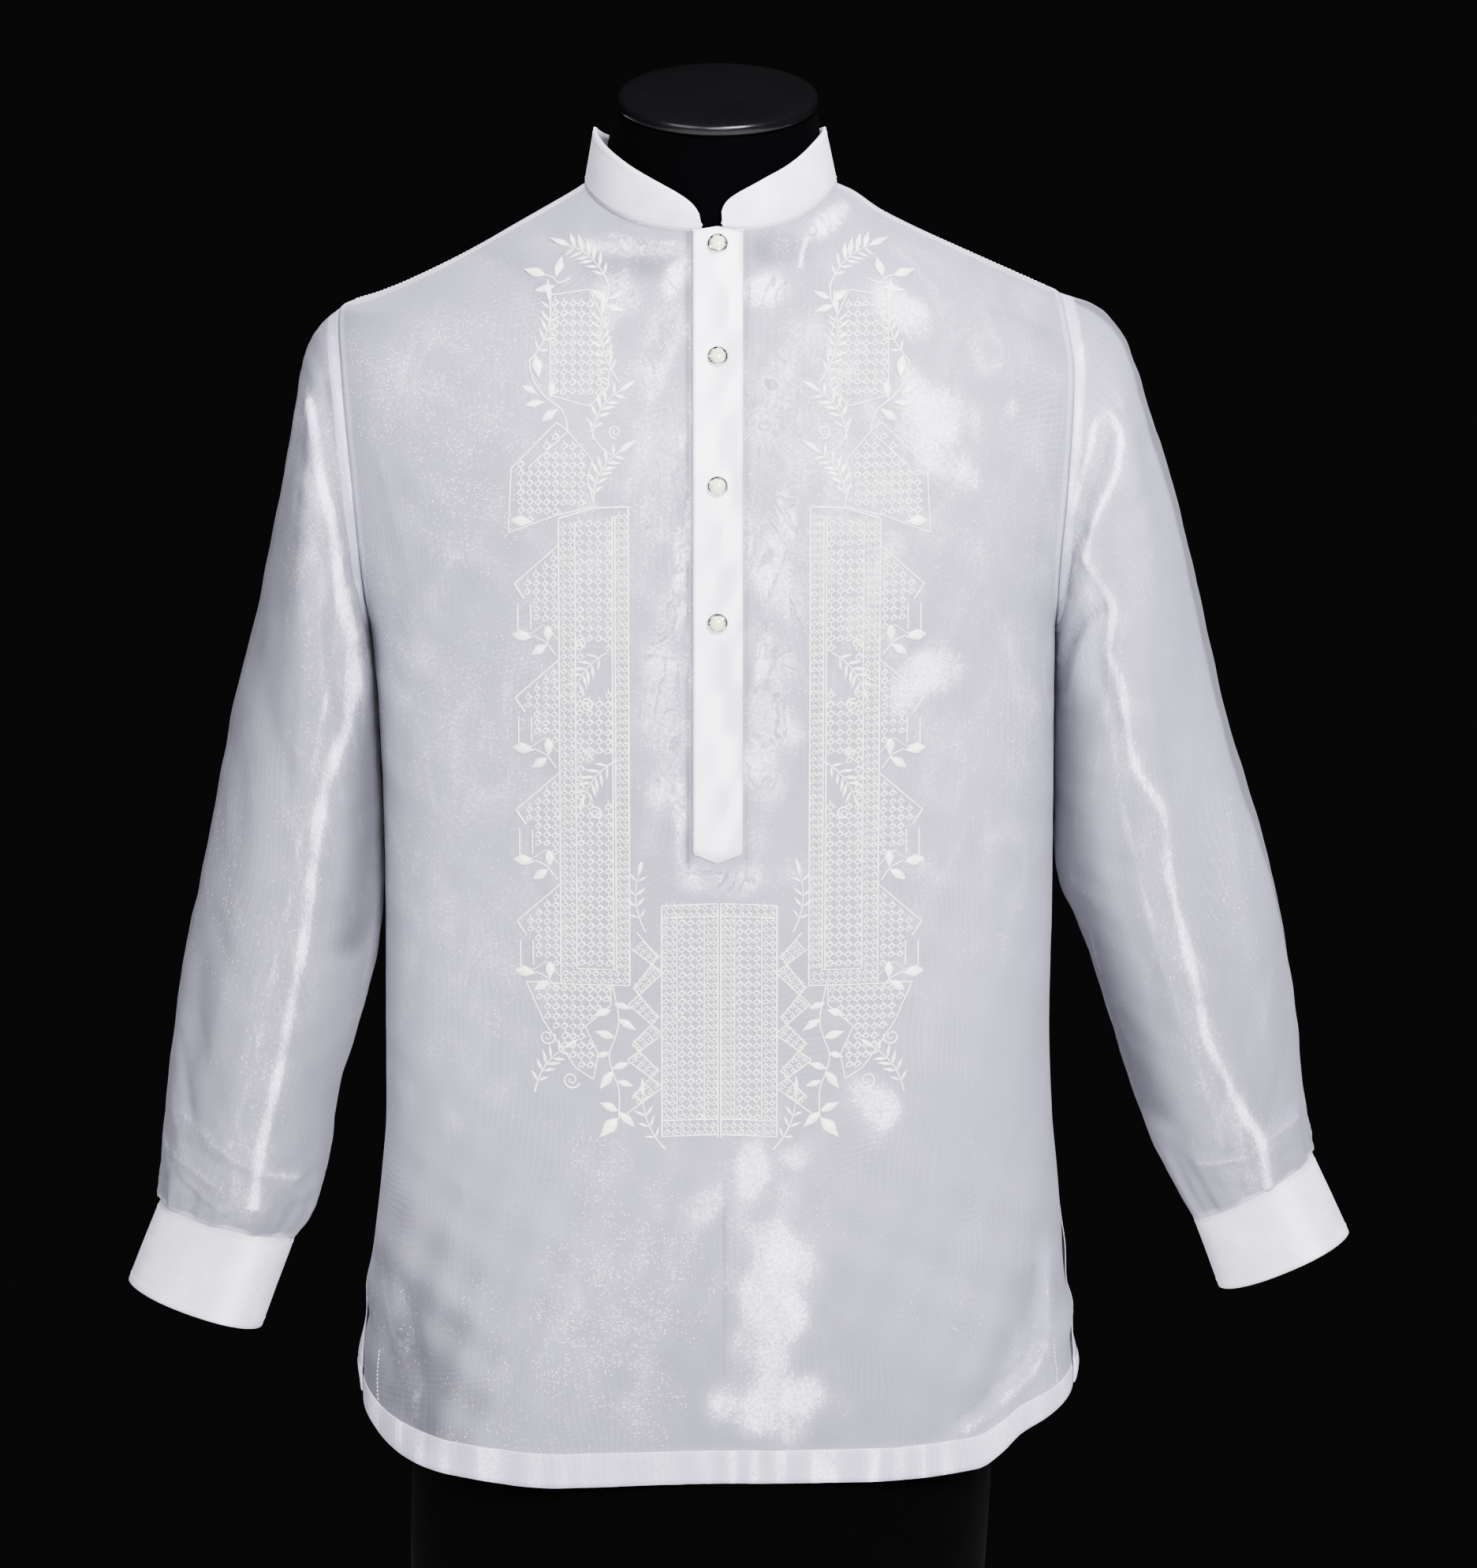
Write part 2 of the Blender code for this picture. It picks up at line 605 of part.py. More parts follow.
def add_sleeve(name, rows, cuff_rows, folds, side, material):
    sections = [section_of(row, side) for row in rows]
    cuff_top = section_of(cuff_rows[0], side)
    axis = section_of(cuff_rows[1], side)[0] - cuff_top[0]
    axis /= np.linalg.norm(axis)
    sections.append((cuff_top[0] - axis * 0.0012, cuff_top[1], cuff_top[2]))
    angles = [2 * math.pi * (k + 0.5) / SLEEVE_AROUND for k in range(SLEEVE_AROUND)]
    points = [[armhole_point(angle, side) for angle in angles]]
    points += [[oval_point(section, angle) for angle in angles] for section in sections]
    points = np.array(points)
    normals = grid_normals(points, side, wrap=True)
    last = len(points) - 1
    for ring in range(1, last + 1):
        for column, angle in enumerate(angles):
            lift = sleeve_lift(folds, ring, math.degrees(angle), last)
            points[ring, column] += normals[ring, column] * lift
    add_wall(name, points, side, CLOTH, material, wrap=True)


def add_cuff(name, rows, side, material, button_material):
    top, bottom = (section_of(row, side) for row in rows)
    turn = 2 * math.pi + CUFF_LAP
    count = SLEEVE_AROUND + 4
    lines = []
    for level in (0.0, 0.5, 1.0):
        section = [first + (second - first) * level for first, second in zip(top, bottom)]
        line = []
        for step in range(count + 1):
            swept = turn * step / count
            angle = CUFF_LAP_START + swept
            lift = (BAND + 2 * SEAM_GAP) * ease((swept - 2 * math.pi + CUFF_LAP_RAMP) / CUFF_LAP_RAMP)
            point = oval_point(section, angle)
            away = section[1] * math.cos(angle) + section[2] * math.sin(angle)
            line.append(point + away / np.linalg.norm(away) * lift)
        lines.append(line)
    points = np.array(lines)
    normals = grid_normals(points, side)
    add_wall(name, points, side, BAND, material)
    spot = count - 2
    radius = CUFF_BUTTON_RADIUS
    profile = (
        (0.0, 0.0018),
        (radius * 0.7, 0.0018),
        (radius, 0.0012),
        (radius, 0.0004),
        (radius * 0.8, 0.0),
        (0.0, 0.0),
    )
    button = turned_button(name.replace("cuff", "cuff_button"), profile, button_material, 12)
    normal = Vector(normals[1, spot])
    stand_on(button, Vector(points[1, spot]) + normal * (2 * SEAM_GAP), normal)


def collar_distances(start, length):
    """Steps along the collar: fine at its rounded ends, even round the back."""
    ends = [COLLAR_CURVE * (k / 7) ** 1.5 for k in range(8)]
    middle = [ends[-1] + (length - 2 * ends[-1]) * (k + 1) / 25 for k in range(24)]
    return [start + d for d in ends + middle + [length - e for e in reversed(ends)]]


def neck_oval(turn, half, front, back, shift):
    """Plan point on an oval round the neck; turn 0 is the middle of the front, towards the right."""
    depth = front if math.cos(turn) > 0 else back
    return shift + half * math.sin(turn), -depth * math.cos(turn)


def neck_edge(panels):
    """The panels' neck edges as one closed line, from the middle of the front round by the right."""
    lines = {}
    for face, (points, _) in panels.items():
        lines[face] = [p for p in points[-1] if -NECK_EDGE[-1] - SEAM_GAP <= p[0] <= NECK_EDGE[1] + SEAM_GAP]
    middle = len(lines[-1]) // 2
    ring = lines[-1][middle:] + lines[1][::-1] + lines[-1][: middle + 1]
    return np.array(ring)


def add_collar(panels, material):
    edge = neck_edge(panels)
    steps = np.linalg.norm(np.diff(edge, axis=0), axis=1)
    run = np.concatenate([[0.0], np.cumsum(steps)])
    start = COLLAR_SHIFT + COLLAR_GAP
    length = run[-1] - 2 * COLLAR_GAP
    columns = []
    for distance in collar_distances(start, length):
        x, y, seam = (float(np.interp(distance, run, edge[:, axis])) for axis in range(3))
        from_end = min(distance - start, start + length - distance)
        share = max(0.0, 1.0 - from_end / COLLAR_CURVE)
        height = COLLAR_END + (COLLAR_HEIGHT - COLLAR_END) * (1.0 - share**2.2) ** (1 / 2.2)
        turn = math.atan2(x / NECK_EDGE[-1 if x < 0 else 1], -y / NECK_DEPTH[-1 if y < 0 else 1])
        top_x, top_y = neck_oval(turn, **COLLAR_TOP)
        line = []
        for level in (0.0, 0.25, 0.5, 0.75, 1.0):
            rise = height * level
            lean = rise / COLLAR_HEIGHT
            line.append((x + (top_x - x) * lean, y + (top_y - y) * lean, seam + COLLAR_SEAM + rise))
        columns.append(line)
    add_wall("collar_band", np.array(columns).transpose(1, 0, 2), 1, BAND, material)


def form_rows():
    rows = [dict(zip(FORM_COLUMNS, row)) for row in FORM_LOWER]
    for height in FORM_SHOULDER_HEIGHTS:
        above = height + FORM_DROP
        row = {name: body(name, above) for name in BODY_COLUMNS[1:]}
        row["front"] -= FORM_DROP / 2
        row["back"] -= FORM_DROP / 2
        rows.append({**row, "height": height, "rise": 0})
    return rows + [dict(zip(FORM_COLUMNS, row)) for row in FORM_NECK]


def add_form(jersey, gloss):
    mesh = bmesh.new()
    rings = []
    for row in form_rows():
        ring = []
        for k in range(FORM_AROUND):
            angle = 2 * math.pi * k / FORM_AROUND
            bend = 2.0 / row["power"]
            across = math.copysign(abs(math.cos(angle)) ** bend, math.cos(angle))
            along = math.copysign(abs(math.sin(angle)) ** bend, math.sin(angle))
            x = across * (row["right"] if across > 0 else row["left"])
            y = along * (row["back"] if along > 0 else row["front"])
            ring.append(mesh.verts.new((x, y, row["height"] + row["rise"] * y)))
        rings.append(ring)
    for low, high in zip(rings, rings[1:]):
        for k in range(FORM_AROUND):
            after = (k + 1) % FORM_AROUND
            mesh.faces.new((low[k], low[after], high[after], high[k]))
    mesh.faces.new(list(reversed(rings[0])))
    mesh.faces.new(rings[-1])
    bmesh.ops.recalc_face_normals(mesh, faces=mesh.faces)
    add_object("form_torso", mesh, jersey)

    disc = bmesh.new()
    bmesh.ops.create_cone(
        disc, cap_ends=True, segments=36, radius1=CAP_RADIUS, radius2=CAP_RADIUS, depth=CAP_DEPTH
    )
    cap = add_object("form_neck_cap", disc, gloss)
    bevel = cap.modifiers.new("Rounded edge", "BEVEL")
    bevel.width = 0.003
    bevel.segments = 2
    bevel.limit_method = "ANGLE"
    place = Matrix.Translation((0, 0, CAP_TOP)) @ Matrix.Rotation(CAP_TILT, 4, "X")
    cap.matrix_world = place @ Matrix.Translation((0, 0, -CAP_DEPTH / 2))


def main():
    organza = new_material("Organza", (0.62, 0.62, 0.66), 0.45)
    band_cloth = new_material("Interfaced organza", (0.78, 0.78, 0.82), 0.5)
    pearl = new_material("Pearl", (0.80, 0.74, 0.60), 0.25)
    jersey = new_material("Black jersey", (0.012, 0.012, 0.013), 0.85)
    gloss = new_material("Black lacquer", (0.010, 0.010, 0.011), 0.2)
    add_form(jersey, gloss)
    panels = add_panels(organza)
    strip = add_placket(panels[-1], band_cloth)
    add_buttons(strip, pearl)
    add_collar(panels, band_cloth)
    add_sleeve("sleeve_left", LEFT_SECTIONS, LEFT_CUFF, LEFT_FOLDS, -1, organza)
    add_sleeve("sleeve_right", RIGHT_SECTIONS, RIGHT_CUFF, RIGHT_FOLDS, 1, organza)
    add_cuff("cuff_left", LEFT_CUFF, -1, band_cloth, pearl)
    add_cuff("cuff_right", RIGHT_CUFF, 1, band_cloth, pearl)


for old in list(bpy.data.objects):
    bpy.data.objects.remove(old, do_unlink=True)
parts = bpy.data.collections.new("Barong tagalog shirt")
bpy.context.scene.collection.children.link(parts)
main()
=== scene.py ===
"""A barong tagalog shirt on a limbless dress form: cloth, embroidery, buttons and form.

Metres, +Z up, front towards -Y. Left and right are those of someone who faces the shirt.
"""

import functools
import math

import bmesh
import bpy
import numpy as np
from bpy.props import FloatProperty, FloatVectorProperty, IntProperty, PointerProperty
from bpy.types import Operator, Panel, PropertyGroup
from mathutils import Matrix, Vector
from mathutils.bvhtree import BVHTree


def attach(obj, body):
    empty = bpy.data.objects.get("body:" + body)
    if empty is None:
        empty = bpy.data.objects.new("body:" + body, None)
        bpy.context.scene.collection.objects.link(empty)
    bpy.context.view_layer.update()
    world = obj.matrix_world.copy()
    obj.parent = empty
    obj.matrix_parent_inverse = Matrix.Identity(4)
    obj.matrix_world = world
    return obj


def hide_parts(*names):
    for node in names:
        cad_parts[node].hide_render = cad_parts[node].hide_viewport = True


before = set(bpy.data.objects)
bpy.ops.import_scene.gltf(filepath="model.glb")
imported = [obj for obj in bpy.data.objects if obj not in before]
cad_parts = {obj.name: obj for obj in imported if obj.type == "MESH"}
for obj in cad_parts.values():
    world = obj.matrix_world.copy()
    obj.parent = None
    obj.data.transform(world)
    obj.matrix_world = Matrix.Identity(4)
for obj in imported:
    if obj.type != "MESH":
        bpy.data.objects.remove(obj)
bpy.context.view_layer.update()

bl_info = {
    "name": "Barong Tagalog on a Dress Form",
    "version": (1, 0, 0),
    "blender": (4, 5, 0),
    "location": "View3D > Sidebar > Barong",
    "description": "Builds the cloth, embroidery, buttons and form of a barong tagalog shirt",
    "category": "Add Mesh",
}

BODY_NAME = "root"

# ---------------------------------------------------------------- sizes of the pattern

BAND = 0.0016
SEAM_GAP = 0.0003
HEM_LIFT = 0.0004
HEM = 0.2110
HEM_DEPTH = 0.0220
SLIT_TOP = 0.2880
SLIT_OPEN = {-1: 0.0300, 1: 0.0050}
PLACKET_END = 0.6180
PLACKET_TIP = 0.0066
PLACKET_TOP = 0.0012
YOKE = 0.9000
ARMPIT = 0.7450
SHOULDER_TIP = {-1: 0.9430, 1: 0.9530}
NECK_POINT = 1.0225
PLACKET_HALF = 0.0155
NECK_EDGE = {-1: 0.0835, 1: 0.0750}
NECK_DEPTH = {-1: 0.0755, 1: 0.0720}
ARMHOLE_DEPTH = {-1: 0.0600, 1: 0.0660}
SLEEVE_GAP = 0.0001
BODY_CLEARANCE = 0.0001
SPREAD_FOOT = 0.7250
SPREAD_HEIGHT = 0.0800
RISE_TOP = 0.3300
COLLAR_HEIGHT = 0.0340
COLLAR_END = 0.0040
COLLAR_CURVE = 0.0850
COLLAR_GAP = 0.0068
COLLAR_SHIFT = -0.0035
COLLAR_SEAM = 0.0013
COLLAR_ROUND = 2.2
COLLAR_TOP = {"half": 0.0726, "front": 0.0705, "back": 0.0700, "shift": -0.0050}
BUTTON_HEIGHTS = (0.9942, 0.9282, 0.8511, 0.7664)
CAP_RADIUS = 0.0630
CAP_DEPTH = 0.0100
CAP_TILT = math.radians(12.3)
CAP_TOP = 1.0800
CUFF_LAP = math.radians(28)
CUFF_LAP_RAMP = math.radians(22)
CUFF_LAP_START = math.radians(235)
GATHERS = 9
GATHER_LIFT = 0.0013
CUFF_TUCK = 0.0016
TUCK_FADE = 0.0020
TUCK_DEPTH = 0.0008
SLIT_WRAP = 0.0240
SLIT_FACING = 0.0110
SHOULDER_SEAM = 0.0090
SIDE_SEAM = 0.0070
GATHERED_SEAM = 0.0060
HEM_FOLD = 0.0008
HEM_PUCKER = 0.00035
HEM_GROOVE = 0.0003
# A painted highlight line of the cloth fades out slowly on one side: how far, and how bright, beside its core
GLOW_REACH, GLOW_SHARE = 4.8, 0.42


def columns(names, rows):
    """A table by its column names; its first column holds the keys."""
    return {"key": np.array(rows)[:, 0], **dict(zip(names, np.array(rows, float).T))}


BODY = columns(
    ("height", "left", "right", "front", "back", "power"),
    (
        (0.205, 0.2312, 0.2305, 0.128, 0.129, 2.5), (0.26, 0.2307, 0.2317, 0.128, 0.13, 2.5),
        (0.31, 0.2262, 0.2262, 0.127, 0.13, 2.5), (0.383, 0.2175, 0.22, 0.124, 0.125, 2.45),
        (0.425, 0.2142, 0.216, 0.1215, 0.119, 2.4), (0.488, 0.2137, 0.2137, 0.119, 0.113, 2.4),
        (0.582, 0.2132, 0.2147, 0.1215, 0.111, 2.4), (0.685, 0.2161, 0.2146, 0.1275, 0.117, 2.4),
        (0.771, 0.2232, 0.2148, 0.131, 0.123, 2.35), (0.843, 0.2288, 0.219, 0.129, 0.125, 2.3),
        (0.911, 0.2355, 0.2225, 0.113, 0.117, 2.15), (0.943, 0.2385, 0.218, 0.1005, 0.1045, 2.05),
        (0.953, 0.2136, 0.2156, 0.0965, 0.1, 2), (0.958, 0.2011, 0.205, 0.0945, 0.098, 1.97),
        (0.977, 0.162, 0.163, 0.088, 0.091, 1.8), (0.999, 0.1235, 0.116, 0.0775, 0.078, 1.55),
        (1.007, 0.1095, 0.101, 0.0745, 0.074, 1.48), (1.018, 0.0905, 0.085, 0.0712, 0.07, 1.45),
        (1.0225, 0.0835, 0.075, 0.07, 0.069, 1.45),
    ),
)
HEM_CORNERS = columns(
    ("share", "front_left", "front_right", "back_left", "back_right"),
    (
        (0, 0, 0, 0, 0), (0.8, 0, 0.002, 0, 0.004), (0.85, 0.001, 0.0095, 0.002, 0.009),
        (0.89, 0.003, 0.0195, 0.005, 0.015), (0.94, 0.0085, 0.0245, 0.0105, 0.022), (1, 0.022, 0.031, 0.0275, 0.033),
    ),
)
# Dips of the hem: x, width, drop
HEM_WAVES = ((-0.115, 0.070, 0.0055), (0.090, 0.055, 0.0030))

# Waves of the side edges near the slits: face, side, height, half height, outward
SIDE_WAVES = (
    (-1, -1, 0.306, 0.013, 0.0022), (-1, -1, 0.287, 0.01, -0.0022), (-1, 1, 0.292, 0.011, 0.003),
    (-1, 1, 0.271, 0.01, -0.002), (1, -1, 0.306, 0.013, 0.0022), (1, -1, 0.255, 0.02, 0.0058),
    (1, 1, 0.292, 0.011, 0.003), (1, 1, 0.252, 0.017, 0.006), (1, 1, 0.33, 0.02, 0.002),
)

# Broad folds of the body: face, x and height of the top and of the foot, width, lift
BODY_FOLDS = (
    (-1, -0.214, 0.345, -0.183, 0.215, 0.016, -0.006), (-1, 0.214, 0.35, 0.165, 0.215, 0.018, -0.007),
    (-1, -0.12, 0.42, -0.105, 0.205, 0.03, 0.003), (-1, 0.085, 0.38, 0.08, 0.205, 0.026, -0.003),
    (-1, -0.15, 0.83, -0.175, 0.64, 0.022, -0.003), (-1, 0.15, 0.83, 0.172, 0.66, 0.022, -0.003),
    (1, -0.17, 0.42, -0.15, 0.205, 0.022, -0.006), (1, 0.17, 0.44, 0.145, 0.205, 0.024, -0.006),
    (1, -0.06, 0.56, -0.055, 0.205, 0.026, 0.005), (1, 0.07, 0.54, 0.06, 0.205, 0.026, 0.005),
    (1, -0.14, 0.86, -0.11, 0.6, 0.026, -0.004), (1, 0.14, 0.86, 0.115, 0.6, 0.026, -0.004),
)
# Fine creases of the body: face, x and height of both ends, width, lift
BODY_CREASES = (
    (-1, -0.199, 0.33, -0.192, 0.24, 0.0045, -0.0016), (-1, -0.208, 0.33, -0.204, 0.262, 0.0035, 0.0012),
    (-1, 0.208, 0.352, 0.206, 0.3, 0.0045, -0.0018), (-1, 0.204, 0.3, 0.18, 0.258, 0.005, -0.0018),
    (-1, 0.18, 0.258, 0.14, 0.232, 0.005, -0.0014), (-1, 0.192, 0.305, 0.15, 0.262, 0.008, 0.0014),
    (-1, 0.0045, 0.4, 0.0035, 0.275, 0.0022, 0.0006), (-1, -0.024, 0.97, -0.045, 0.88, 0.006, 0.0012),
    (-1, -0.03, 0.93, -0.052, 0.86, 0.007, -0.0012), (-1, 0.022, 0.975, 0.05, 0.905, 0.006, 0.0013),
    (-1, 0.03, 0.95, 0.046, 0.85, 0.007, -0.0013), (-1, 0.024, 0.84, 0.036, 0.74, 0.006, 0.0011),
    (-1, -0.025, 0.83, -0.04, 0.73, 0.0065, 0.001), (-1, -0.028, 0.74, -0.036, 0.65, 0.006, -0.001),
    (-1, 0.027, 0.735, 0.04, 0.655, 0.006, -0.001), (-1, 0.08, 0.985, 0.03, 1, 0.005, 0.001),
    (-1, 0.085, 0.972, 0.034, 0.99, 0.005, -0.001), (-1, 0.17, 0.69, 0.11, 0.742, 0.007, -0.001),
    (-1, 0.19, 0.76, 0.145, 0.815, 0.008, 0.001), (-1, -0.19, 0.765, -0.15, 0.83, 0.008, 0.001),
    (-1, -0.195, 0.7, -0.165, 0.76, 0.007, -0.001), (-1, -0.15, 0.93, -0.105, 0.955, 0.008, -0.0009),
    (-1, 0.135, 0.945, 0.185, 0.91, 0.008, 0.0009), (1, -0.16, 0.9, -0.09, 0.94, 0.009, 0.0013),
    (1, 0.155, 0.905, 0.085, 0.945, 0.009, 0.0013), (1, -0.185, 0.77, -0.13, 0.85, 0.008, -0.0012),
    (1, 0.185, 0.77, 0.13, 0.85, 0.008, -0.0012), (1, 0, 0.98, 0.002, 0.7, 0.01, -0.001),
    (1, -0.12, 0.48, 0.02, 0.45, 0.008, 0.0009), (1, 0.13, 0.52, 0.03, 0.5, 0.008, -0.0009),
    (1, -0.196, 0.33, -0.188, 0.245, 0.0045, -0.0015), (1, 0.196, 0.335, 0.186, 0.245, 0.0045, -0.0015),
)

SLEEVES = {
    -1: (
        (0.251, 0.932, 0, 0.74, 0.003, 0.068), (0.2605, 0.914, 0, 0.734, 0.002, 0.072),
        (0.266, 0.885, 0, 0.726, 0.001, 0.075), (0.2735, 0.845, 0, 0.715, 0, 0.0765),
        (0.283, 0.797, 0, 0.7, 0, 0.076), (0.2945, 0.747, 0, 0.678, 0, 0.075), (0.3075, 0.697, 0, 0.65, 0, 0.0735),
        (0.3165, 0.65, 0, 0.616, 0, 0.0715), (0.325, 0.608, 0, 0.579, 0, 0.0695),
        (0.334, 0.567, 0.2165, 0.54, 0, 0.0675), (0.3425, 0.528, 0.2245, 0.506, -0.001, 0.065),
        (0.3495, 0.485, 0.235, 0.469, -0.002, 0.062), (0.355, 0.443, 0.2455, 0.433, -0.003, 0.058),
        (0.3585, 0.408, 0.25, 0.4, -0.003, 0.053), (0.3605, 0.386, 0.255, 0.374, -0.003, 0.048),
        (0.3615, 0.373, 0.262, 0.355, -0.003, 0.041),
    ),
    1: (
        (0.239, 0.944, 0, 0.74, 0.003, 0.068), (0.255, 0.928, 0, 0.734, 0.002, 0.072),
        (0.2645, 0.905, 0, 0.726, 0.001, 0.0755), (0.2745, 0.873, 0, 0.715, 0, 0.077),
        (0.2865, 0.838, 0, 0.699, 0, 0.0775), (0.2985, 0.794, 0, 0.677, 0, 0.077),
        (0.3105, 0.743, 0, 0.65, 0, 0.0755), (0.3225, 0.693, 0, 0.622, 0, 0.0735),
        (0.3365, 0.646, 0, 0.597, 0.001, 0.0715), (0.35, 0.602, 0.2185, 0.574, 0.002, 0.0695),
        (0.3605, 0.56, 0.2312, 0.544, 0.004, 0.067), (0.3685, 0.517, 0.244, 0.508, 0.007, 0.064),
        (0.3748, 0.477, 0.2568, 0.468, 0.011, 0.06), (0.3785, 0.443, 0.27, 0.427, 0.015, 0.0555),
        (0.3832, 0.412, 0.2845, 0.3925, 0.02, 0.05), (0.3855, 0.398, 0.296, 0.37, 0.022, 0.043),
    ),
}
CUFFS = {
    -1: ((0.3616, 0.363, 0.2738, 0.3395, -0.003, 0.033), (0.3832, 0.309, 0.2969, 0.2775, -0.004, 0.032)),
    1: ((0.388, 0.386, 0.3108, 0.343, 0.026, 0.033), (0.415, 0.327, 0.33, 0.29, 0.044, 0.0325)),
}
# Folds of the sleeves: first ring and angle, last ring and angle, width in degrees, lift
SLEEVE_FOLDS = {
    -1: (
        (2, 60, 7.5, 88, 16, 0.0045), (2.5, 95, 6.5, 128, 15, -0.0045), (7, 62, 13, 78, 15, 0.004),
        (8, 105, 12.5, 112, 15, -0.0035), (10, 30, 14, 48, 13, -0.0035), (3, 300, 9, 280, 17, 0.005),
        (4, 255, 10, 245, 16, -0.004), (9, 300, 14, 310, 15, -0.004),
    ),
    1: (
        (2, 52, 6.5, 66, 15, 0.0045), (2.5, 98, 7, 120, 15, -0.005), (5, 84, 10, 92, 15, 0.0045),
        (8.5, 55, 13.5, 66, 15, -0.004), (9.5, 112, 13.5, 104, 14, 0.0035), (3, 300, 9, 282, 17, 0.005),
        (4, 255, 10, 248, 16, -0.004), (9, 305, 14, 312, 15, -0.004),
    ),
}
SLEEVE_CREASES = {
    -1: (
        (1.2, 95, 4.2, 70, 5, 0.0016), (1.5, 120, 5, 104, 6, -0.0016), (4.5, 84, 10, 92, 5, 0.0014),
        (9, 86, 14.5, 78, 6, 0.0013), (12, 20, 14.2, 66, 6, -0.0014), (12.8, 16, 14.8, 58, 6, 0.0013),
        (13.6, 10, 15.6, 60, 6, -0.0013), (14.4, 30, 16.2, 90, 6, 0.0012), (2, 200, 6, 240, 6, 0.0014),
        (6, 300, 12, 280, 6, 0.0014), (12, 330, 15, 270, 6, -0.0013),
    ),
    1: (
        (1.2, 92, 4, 62, 5, 0.0017), (1.4, 118, 5.5, 96, 6, -0.0016), (4, 80, 10.5, 84, 5, 0.0015),
        (5.2, 122, 7.4, 96, 5, -0.0018), (10, 82, 15.5, 74, 6, 0.0014), (8, 118, 13, 112, 7, -0.0014),
        (13, 30, 15.6, 80, 6, -0.0012), (14, 20, 16.2, 70, 6, 0.0011), (2, 200, 6, 236, 6, 0.0014),
        (6, 300, 12, 282, 6, 0.0014), (12, 330, 15, 276, 6, -0.0013),
    ),
}
FORM = columns(
    ("height", "left", "right", "front", "back", "power", "rise"),
    (
        (0, 0.186, 0.161, 0.114, 0.118, 2.4, 0), (0.006, 0.191, 0.166, 0.119, 0.123, 2.4, 0),
        (0.11, 0.2015, 0.175, 0.122, 0.125, 2.4, 0), (0.185, 0.2, 0.179, 0.123, 0.125, 2.4, 0),
        (0.29, 0.194, 0.182, 0.121, 0.123, 2.4, 0), (0.39, 0.178, 0.174, 0.114, 0.112, 2.4, 0),
        (0.49, 0.17, 0.17, 0.109, 0.102, 2.4, 0), (0.59, 0.176, 0.177, 0.111, 0.101, 2.4, 0),
        (0.69, 0.188, 0.187, 0.118, 0.107, 2.4, 0), (0.78, 0.197, 0.194, 0.123, 0.114, 2.35, 0),
        (0.85, 0.201, 0.198, 0.12, 0.115, 2.3, 0), (0.9, 0.201, 0.199, 0.109, 0.11, 2.2, 0),
        (0.93, 0.1985, 0.197, 0.099, 0.102, 2.1, 0), (0.946, 0.194, 0.193, 0.093, 0.097, 2, 0),
        (0.955, 0.188, 0.189, 0.09, 0.094, 1.95, 0), (0.974, 0.161, 0.162, 0.086, 0.089, 1.8, 0),
        (0.996, 0.121, 0.115, 0.076, 0.0765, 1.55, 0), (1.013, 0.086, 0.08, 0.0685, 0.068, 1.5, 0),
        (1.021, 0.0765, 0.0695, 0.066, 0.066, 1.75, 0), (1.032, 0.0705, 0.0665, 0.0635, 0.0645, 2, 0.02),
        (1.047, 0.069, 0.0645, 0.0615, 0.063, 2, 0.1), (1.0694, 0.062, 0.063, 0.0605, 0.0605, 2, math.tan(CAP_TILT)),
    ),
)

# ---------------------------------------------------------------- surfaces of the pattern


def ease(value):
    """A smooth step from 0 to 1."""
    value = np.clip(value, 0.0, 1.0)
    return value * value * (3.0 - 2.0 * value)


def within(distance, reach, fade=0.001):
    """1 at less than a reach, 0 at more, with a soft edge inside it."""
    return ease((reach - distance) / fade)


def bell(distance, width):
    """1 at no distance, falling smoothly to almost nothing at twice the width."""
    return np.exp(-((distance / width) ** 2))


def slopes_at(keys, values):
    """Tangents of a curve through the values that never overshoots them, along the first axis."""
    steps = np.diff(keys).reshape((-1,) + (1,) * (values.ndim - 1))
    slopes = np.diff(values, axis=0) / steps
    product = slopes[:-1] * slopes[1:]
    rising = product > 0
    total = np.where(rising, slopes[:-1] + slopes[1:], 1.0)
    return np.concatenate([slopes[:1], np.where(rising, 2 * product / total, 0.0), slopes[-1:]])


def follow(keys, values, at):
    """The curve through the values at the given keys."""
    at = np.clip(at, keys[0], keys[-1])
    tangents = slopes_at(keys, values)
    spot = np.clip(np.searchsorted(keys, at), 1, len(keys) - 1)
    shape = at.shape + (1,) * (values.ndim - 1)
    step = (keys[spot] - keys[spot - 1]).reshape(shape)
    t = (at - keys[spot - 1]).reshape(shape) / step
    return (
        values[spot - 1] * (1 + 2 * t) * (1 - t) ** 2
        + tangents[spot - 1] * step * t * (1 - t) ** 2
        + values[spot] * t * t * (3 - 2 * t)
        - tangents[spot] * step * t * t * (1 - t)
    )


def between(table, name, at):
    return follow(table["key"], table[name], np.asarray(at, float))


def by_side(values, x):
    """The left or the right one of a pair of values, by the sign of x."""
    return np.where(x < 0, values[-1], values[1])


def half_width(x, height):
    """Half the body's width at a height, on the side that x is on."""
    return np.where(x < 0, between(BODY, "left", height), between(BODY, "right", height))


def depth_and_power(height, face):
    """Half the body's depth on a face at a height, and how square its section is."""
    return between(BODY, "front" if face < 0 else "back", height), between(BODY, "power", height)


